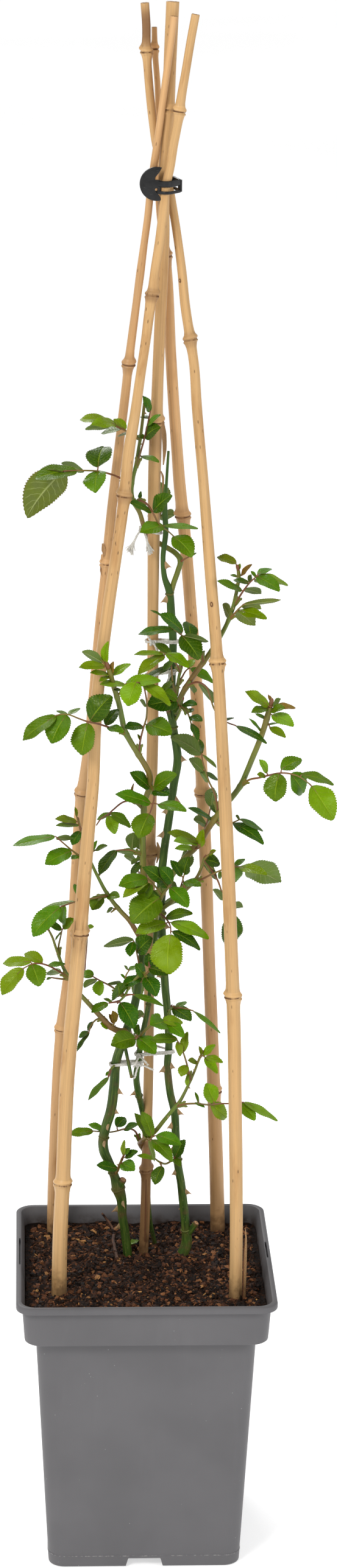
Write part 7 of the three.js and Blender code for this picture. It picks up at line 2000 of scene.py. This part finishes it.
def blade(skin, frame, tone, draw, settings):
    """One leaflet's blade: folded, arched and waved, with a toothed edge, a midrib and raised quarters."""
    length, breadth = frame.length, frame.breadth
    teeth = int(np.clip(length / (settings.teeth / MM * (0.75 + 0.012 * length)), 5, 19))
    columns = COLUMNS if length > 12 else FEW_COLUMNS
    places = np.concatenate([[0.0, 0.045], np.linspace(0.09, 0.97, 2 * teeth), [1.0]])
    rows = len(places)
    narrowing = 0.16 * np.clip((places - 0.72) / 0.28, 0, 1) ** 2
    outline = np.sin(math.pi * places**0.84) ** 0.66 * (1 - narrowing)
    outline = np.maximum(outline, 0.045)
    outline[0], outline[-1] = 0.055, 0.012
    tooth = np.zeros(rows)
    tooth[2:-1:2], tooth[3:-1:2] = -1, 1
    cut = 0.035 + 0.02 * draw.random()
    phase = draw.uniform(0, 6.28, 4)[0]
    fold = BLADE_FOLD * draw.uniform(0.75, 1.3)
    out = np.tile(columns, (rows, 1))
    along = np.tile(places[:, None], (1, len(columns)))
    outline = outline[:, None]
    far, hand, middle = np.abs(out), np.sign(out), np.sin(math.pi * along)
    edge = (far > 0.99) * tooth[:, None]
    reach = outline * out * (1 + cut * edge)
    ahead = along + (0.35 / rows) * np.clip(edge, 0, 1) + 0.03 * far**2 * middle

    # Its height: arch, wave and fold, raised quarters between the veins, a rolled tip and a sunk midrib.
    arch = 4 * BLADE_ARCH * along * (1 - along) + BLADE_WAVE * np.sin(9 * along + 2 * hand) * far
    lift = length * arch + fold * np.abs(reach) * breadth / 2
    quilt = np.cos(2 * math.pi * VEINS * (along - VEIN_SLANT * far)) * np.sin(math.pi * far)
    ripple = np.sin(4.4 * math.pi * along + phase + 1.5 * hand) * far**2
    lift = lift + outline * (0.022 * length * ripple - 0.012 * breadth * quilt)
    droop = np.clip((along - 0.75) / 0.25, 0, 1) ** 2 * draw.uniform(0.2, 1.2)
    midrib = np.exp(-(out / 0.05) ** 2)
    lift = frame.relief * (lift - 0.05 * length * droop) - 0.16 * midrib * middle
    sway = 0.025 * length * draw.uniform(-1, 1) * middle
    top = (frame.base + frame.axis * (ahead * length)[..., None]
           + frame.side * (reach * breadth / 2 + sway)[..., None] + frame.normal * lift[..., None])
    thick = settings.thickness / MM * (0.55 + 0.45 * (1 - far**2)) + 0.5 * midrib * (1 - 0.75 * along)
    thick[-1] *= 0.5
    grain = np.stack([out, along, np.full_like(out, breadth * MM)], axis=-1).reshape(-1, 3)
    tint = np.zeros((2 * out.size, 3))
    tint[:, 1] = draw.random()
    tint[:, 0] = np.clip(tone + draw.uniform(-0.16, 0.16), 0, 4)
    tint[out.size:, 2] = 1
    sheet(skin, top, top - frame.normal * thick[..., None], grain, tint, 0)


def stipules(skin, line, facing, tint, draw):
    """The two wings along the foot of a leaf's stalk, with free pointed tips."""
    fine, at, _ = smooth_line(line, 1.0)
    fine = fine[at < min(11.0, 0.4 * reach_along(line)[-1] + 1e-9)]
    if len(fine) < 4:
        return
    side = unit(np.cross(unit(fine[-1] - fine[0]), facing))
    shares = np.linspace(0, 1, len(fine))
    spread = 0.5 + 1.1 * np.sin(math.pi * shares * 0.75) + 6.6 * np.clip(shares - 0.72, 0, 1)
    widths = np.maximum(spread * np.where(shares > 0.85, (1.04 - shares) / 0.19, 1), 0.15)
    for hand in (-1, 1):
        middle = fine + side * (hand * (0.5 + spread / 2))[:, None] + facing * 0.4
        strip(skin, middle, widths, 0.3, side, tint, 1, draw.random(), 0.12)


def bud(skin, point, along, size, tint):
    first, second = perpendicular(along)
    lump(skin, point + along * size * 0.6, (first * size * 0.42, second * size * 0.42, along * size),
         tint, 1, rings=7)


def make_shoot(name, looks, settings):
    (thick, thin), stem = SHOOTS[name]
    draw = draw_for(name)
    skin = Skin()
    line, at, _ = smooth_line([seen(place) for place in stem], 1.8)
    share = at / at[-1]
    radii = (thick + (thin - thick) * share) / 2
    red = np.clip(0.42 - 0.25 * share + 0.25 * np.sin(at * 0.06 + draw.uniform(0, 6)), 0, 1)
    knobs = np.zeros(len(at))
    for _, stalk, _ in LEAVES[name]:
        spot = at[int(np.argmin(np.linalg.norm(line - seen(stalk[0]), axis=1)))]
        knobs += 0.16 * swell(at - spot, 1.8)
    tube(skin, line, radii * (1 + np.minimum(knobs, 0.3)), 12, only_first(red), 1, at, draw.uniform(0, 9),
         shape=lambda turn, along: 1 + 0.04 * np.sin(2 * turn + along * 0.05))
    bud(skin, line[-1], unit(line[-1] - line[-3]), max(1.8, radii[-1] * 2.2), (0.8, 0, 0))
    for spot in np.arange(14, at[-1] - 6, 17.0):
        index = min(len(line) - 2, int(np.searchsorted(at, spot + draw.uniform(-4, 4))))
        along = unit(line[index + 1] - line[index])
        out = any_side(along, draw)
        root = line[index] + out * radii[index] * 0.7
        prickle(skin, root, out, along, draw.uniform(1.4, 2.6), 1.3, 2, draw.random())
    for tones, stalk, leaflets in LEAVES[name]:
        make_leaf(skin, tones, stalk, leaflets, draw, settings)
    skin_piece(name + "_foliage", skin, looks, [name], sharp=60)


def make_leaf(skin, tones, stalk, leaflets, draw, settings):
    points = np.array([seen(place) for place in stalk])
    line, at, _ = smooth_line(points, 1.5)
    radii = STALK_GIRTH / 2 * np.linspace(1.05, 0.62, len(line)) * (1 + 0.35 * swell(at, 2.5))
    red = np.clip(0.7 + 0.2 * np.sin(at * 0.1 + draw.uniform(0, 6)), 0, 1)
    tube(skin, line, radii, 8, only_first(red), 1, at, draw.uniform(0, 9))
    if at[-1] > 16:
        away = unit(line[min(4, len(line) - 1)] - line[0])
        facing = unit(-AHEAD + away * AHEAD.dot(away))
        stipules(skin, line, facing, (0.15 + 0.2 * draw.random(), 0, 0), draw)
        bud(skin, line[0] + UP * 0.9 - away * 0.2, unit(UP + away * 0.4), 1.7, (0.95, 0, 0))
    for tone, leaflet in zip(tones, leaflets):
        depth = nearest_on(np.array(stalk, float), np.array(leaflet[:2], float))[2]
        frame = leaflet_frame(leaflet, depth)
        base, axis = frame.base, frame.axis
        foot = nearest_on(points, base)
        if np.linalg.norm(base - foot) > 0.6:
            link = smooth_line([foot, foot + (base - foot) * 0.5, base + axis * 0.8], 1.0)[0]
            tube(skin, link, np.linspace(0.62, 0.45, len(link)), 6, (0.7, 0, 0), 1)
        blade(skin, frame, TONES.index(tone), draw, settings)
        keel = [base + axis * frame.length * share + frame.normal
                * (4 * BLADE_ARCH * frame.relief * frame.length * share * (1 - share) - 0.25)
                for share in (0, 0.12, 0.25)]
        tube(skin, smooth_line(keel, 1.5)[0], 0.36, 6, (0.55, 0, 0), 1)


def make_shoots(settings):
    looks = [leaf_finish(settings), stalk_finish(), thorn_finish()]
    for name in SHOOTS:
        make_shoot(name, looks, settings)


# Twine ties.
def any_route(name):
    if name in CANES:
        return cane_route(name)
    if name in STEMS:
        return stem_route(name)
    (thick, _), stem = SHOOTS[name]
    return [seen(place) for place in stem], [thick / 2] * len(stem), [down for _, down, _ in stem]


def twist(turn, at):
    """Three strands laid round each other."""
    return 1 + 0.16 * np.cos(3 * turn + at * 2.1)


def tie_loop(held, gap, wave):
    """A loop of places round what is held, level with it and a little wavy."""
    first, last = held[0][0], held[-1][0]
    middle = sum(point for point, _, _ in held) / len(held)
    slope = (last[2] - first[2]) / math.hypot(*(last - first)[:2])
    run = unit((last - first) * [1, 1, 0])
    loop = []
    for turn in circle(48):
        out = np.array([math.cos(turn), math.sin(turn), 0])
        spots = [point + out * (radius + gap) for point, radius, _ in held]
        spot = max(spots, key=lambda place: place.dot(out))
        spot[2] = middle[2] + slope * (spot - middle).dot(run) + wave * math.cos(turn + 0.6)
        loop.append(spot)
    return loop


def make_tie(name, finish, settings, seed):
    tie = TIES[name]
    held = [route_at(any_route(node), down) for node, down in tie["holds"]]
    radius = settings.radius / MM
    skin = Skin()
    loops = [tie_loop(held, radius + gap, wave) for gap, wave in ((0.55, 0), (0.2, 1.5))]
    for loop in loops:
        length = reach_along(loop + loop[:1])[-1]
        strand = smooth_loop(loop, int(length / 0.8))
        ring_tube(skin, strand, radius * 0.92, 9, (0, 0, 0), shape=twist, seed=seed)
    knotted = held[tie["knot"]][0]
    front = min(loops[0], key=lambda spot: np.linalg.norm(spot - knotted) + spot[1])
    centre = front + np.array([0, -0.9, 0])
    knot = [centre + np.array([2.0 * math.sin(turn) + 0.5 * math.sin(2 * turn),
                               0.9 * math.cos(3 * turn) - 0.3, 1.7 * math.sin(2 * turn + 0.4)])
            for turn in circle(40)]
    ring_tube(skin, smooth_loop(knot, 60), radius * 0.9, 8, (0, 0, 0), shape=twist, seed=seed + 1)
    lump(skin, centre, ((1.7, 0, 0), (0, 0, 1.5), (0, 1.1, 0)), (0, 0, 0), seed=seed, rough=0.3, rings=8,
         sides=12)
    draw = draw_for(name)
    start, fray = front + np.array([0, -0.8, 0]), tie["fray"]
    for tail in tie["tails"]:
        bend = start + np.array(tail) * [0.55, 1, 0.35]
        line, at, _ = smooth_line([start, bend, start + np.array(tail)], 0.6)
        tube(skin, line, radius * 0.82 * (1 + 0.25 * (at / at[-1]) ** 6), 8, (0, 0, 0), 0, at, seed, twist)
        tip = unit(line[-1] - line[-2])
        for _ in range(int(4 + 5 * fray)):
            spread = unit(tip + draw.normal(0, 0.3, 3))
            root = line[int((len(line) - 1) * draw.uniform(max(0.3, 1 - fray / 10), 0.97))]
            end = (spread + 0.3 * tip) * fray * draw.uniform(0.5, 0.8) + draw.normal(0, 0.3, 3)
            thread = [root, line[-1] + spread * fray * 0.3, line[-1] + end]
            tube(skin, smooth_line(thread, 0.9)[0], 0.13 + 0.02 * fray, 4, (0, 0, 0), seed=seed)
    skin_piece(name + "_twine", skin, [finish], [name], sharp=60)


def make_ties(settings):
    finish = twine_finish(settings)
    for seed, name in enumerate(TIES):
        make_tie(name, finish, settings, seed + 41)


# What lies on the soil.
def make_twig():
    line, at, _ = smooth_line([seen_over_soil(place) for place in FALLEN_TWIG], 1.2)
    knots = 1 + 0.35 * swell(at - 14, 1.5) + 0.3 * swell(at - 27, 1.2)
    skin = Skin()
    tube(skin, line, (0.9 + 0.5 * at / at[-1]) * knots, 10, (0, 0, 0), 0, at, 51,
         shape=lambda turn, along: 1 + 0.1 * np.sin(3 * turn + along * 0.4) + 0.07 * np.sin(along * 1.3))
    for place, side in ((14, 1), (27, -1)):
        root = line[int(np.searchsorted(at, place))]
        spur = [root, root + np.array([side * 1.5, -0.6, 0.8]), root + np.array([side * 2.6, -0.8, 1.8])]
        tube(skin, smooth_line(spur, 0.6)[0], 0.45, 8, (0, 0, 0), seed=52)
    skin_piece("fallen_twig_bark", skin, [twig_finish()], ["fallen_twig"], sharp=50)


def make_fallen_leaf(settings):
    start, end = (seen_over_soil(FALLEN_LEAF[key]) for key in ("from", "to"))
    for place in (start, end):
        place[2] = soil_height(place[0], place[1]) + 2.1
    axis = unit(end - start)
    side = unit(np.cross(axis, [0, 0, 1]))
    skin = Skin()
    frame = BladeFrame(start, end, np.cross(side, axis), FALLEN_LEAF["width"])
    blade(skin, frame, 0.8, draw_for("fallen"), settings)
    stalk = [start - axis * 3 - np.array([0, 0, 0.6]), start - axis * 1.2, start + axis * 0.5]
    tube(skin, smooth_line(stalk, 0.7)[0], 0.4, 6, (0.3, 0, 0), 1)
    looks = [leaf_finish(settings), stalk_finish()]
    skin_piece("fallen_leaf_blade", skin, looks, ["fallen_leaf"], sharp=60)


# Stage.
def area_light(name, place, target, size, power, colour):
    lamp = bpy.data.lights.new(name, "AREA")
    lamp.shape, lamp.size, lamp.size_y = "RECTANGLE", size[0], size[1]
    lamp.energy, lamp.color = power, colour
    made = add_object(name, lamp)
    made.location = place
    made.rotation_mode = "QUATERNION"
    made.rotation_quaternion = (Vector(target) - Vector(place)).to_track_quat("-Z", "Y")


def make_stage(settings):
    scene = bpy.context.scene
    lens = bpy.data.cameras.new("studio_camera")
    lens.sensor_width = SENSOR
    lens.lens = VIEW_FOCAL / PICTURE[1] * SENSOR
    lens.clip_start, lens.clip_end = 0.05, 100
    camera = add_object("studio_camera", lens)
    turn = Matrix((RIGHT, UP, -AHEAD)).transposed().to_4x4()
    camera.matrix_world = Matrix.Translation(Vector(VIEW_PLACE * MM)) @ turn
    scene.camera = camera
    form = bmesh.new()
    bmesh.ops.create_circle(form, cap_ends=True, segments=96, radius=40)
    mesh = bpy.data.meshes.new("studio_floor")
    form.to_mesh(mesh)
    form.free()
    if mesh.polygons[0].normal.z < 0:
        mesh.flip_normals()
    mesh.materials.append(floor_finish(settings))
    floor = add_object("studio_floor", mesh)
    floor.location.z = -0.0005
    power = settings.light
    area_light("key_light", (-1.6, -2.2, 2.6), (0, 0, 0.6), (1.0, 1.0), 56 * power, (1, 0.99, 0.97))
    area_light("fill_light", (2.2, -1.8, 1.3), (0, 0, 0.5), (1.0, 1.6), 18 * power, (0.98, 0.99, 1))
    area_light("back_light", (-0.9, 2.4, 2.4), (0, 0, 0.7), (1.2, 1.0), 32 * power, (1, 1, 1))
    world = bpy.data.worlds.new("studio")
    world.use_nodes = True
    sky = world.node_tree.nodes["Background"]
    sky.inputs["Color"].default_value = (1, 1, 1, 1)
    sky.inputs["Strength"].default_value = 0.58 * power
    scene.world = world
    scene.view_settings.view_transform = "Standard"


# Operators: one for each group of pieces.
class ROSE_OT_stage(bpy.types.Operator):
    """Makes the floor, the soft light and the camera."""
    bl_idname = "rose.stage"
    bl_label = "Stage"

    def execute(self, context):
        make_stage(context.scene.rose_stage)
        return {"FINISHED"}


class ROSE_OT_pot(bpy.types.Operator):
    """Makes the square plastic pot."""
    bl_idname = "rose.pot"
    bl_label = "Pot"

    def execute(self, context):
        make_pot(context.scene.rose_pot)
        return {"FINISHED"}


class ROSE_OT_soil(bpy.types.Operator):
    """Makes the potting soil and strews bark chips over it."""
    bl_idname = "rose.soil"
    bl_label = "Soil and bark"

    def execute(self, context):
        make_soil(context.scene.rose_soil)
        return {"FINISHED"}


class ROSE_OT_canes(bpy.types.Operator):
    """Makes the five bamboo canes."""
    bl_idname = "rose.canes"
    bl_label = "Bamboo canes"

    def execute(self, context):
        make_canes(context.scene.rose_cane)
        return {"FINISHED"}


class ROSE_OT_clip(bpy.types.Operator):
    """Makes the clip that gathers the canes."""
    bl_idname = "rose.clip"
    bl_label = "Cane clip"

    def execute(self, context):
        make_clip()
        return {"FINISHED"}


class ROSE_OT_stems(bpy.types.Operator):
    """Makes the three main stems with their thorns and cut stubs."""
    bl_idname = "rose.stems"
    bl_label = "Main stems"

    def execute(self, context):
        make_stems()
        return {"FINISHED"}


class ROSE_OT_ties(bpy.types.Operator):
    """Makes the twine ties."""
    bl_idname = "rose.ties"
    bl_label = "Twine ties"

    def execute(self, context):
        make_ties(context.scene.rose_twine)
        return {"FINISHED"}


class ROSE_OT_shoots(bpy.types.Operator):
    """Makes the leafy shoots."""
    bl_idname = "rose.shoots"
    bl_label = "Leafy shoots"

    def execute(self, context):
        make_shoots(context.scene.rose_leaf)
        return {"FINISHED"}


class ROSE_OT_litter(bpy.types.Operator):
    """Makes the dead twig and the fallen leaf on the soil."""
    bl_idname = "rose.litter"
    bl_label = "Twig and fallen leaf"

    def execute(self, context):
        make_twig()
        make_fallen_leaf(context.scene.rose_leaf)
        return {"FINISHED"}


OPERATORS = (ROSE_OT_stage, ROSE_OT_pot, ROSE_OT_soil, ROSE_OT_canes, ROSE_OT_clip, ROSE_OT_stems,
             ROSE_OT_ties, ROSE_OT_shoots, ROSE_OT_litter)


class ROSE_PT_panel(bpy.types.Panel):
    """Lists the pieces of the potted rose and their settings."""
    bl_label = "Potted climbing rose"
    bl_idname = "ROSE_PT_panel"
    bl_space_type = "VIEW_3D"
    bl_region_type = "UI"
    bl_category = "Rose"

    def draw(self, context):
        for operator in OPERATORS:
            self.layout.operator(operator.bl_idname)
        for group, kind in GROUPS.items():
            box = self.layout.box()
            settings = getattr(context.scene, group)
            for name in kind.__annotations__:
                box.prop(settings, name)


CLASSES = (*GROUPS.values(), *OPERATORS, ROSE_PT_panel)


def register():
    for kind in CLASSES:
        bpy.utils.register_class(kind)
    for name, kind in GROUPS.items():
        setattr(bpy.types.Scene, name, bpy.props.PointerProperty(type=kind))


def unregister():
    for name in GROUPS:
        delattr(bpy.types.Scene, name)
    for kind in reversed(CLASSES):
        bpy.utils.unregister_class(kind)


def main():
    register()
    for operator in OPERATORS:
        group, action = operator.bl_idname.split(".")
        getattr(getattr(bpy.ops, group), action)()


if __name__ == "__main__":
    main()
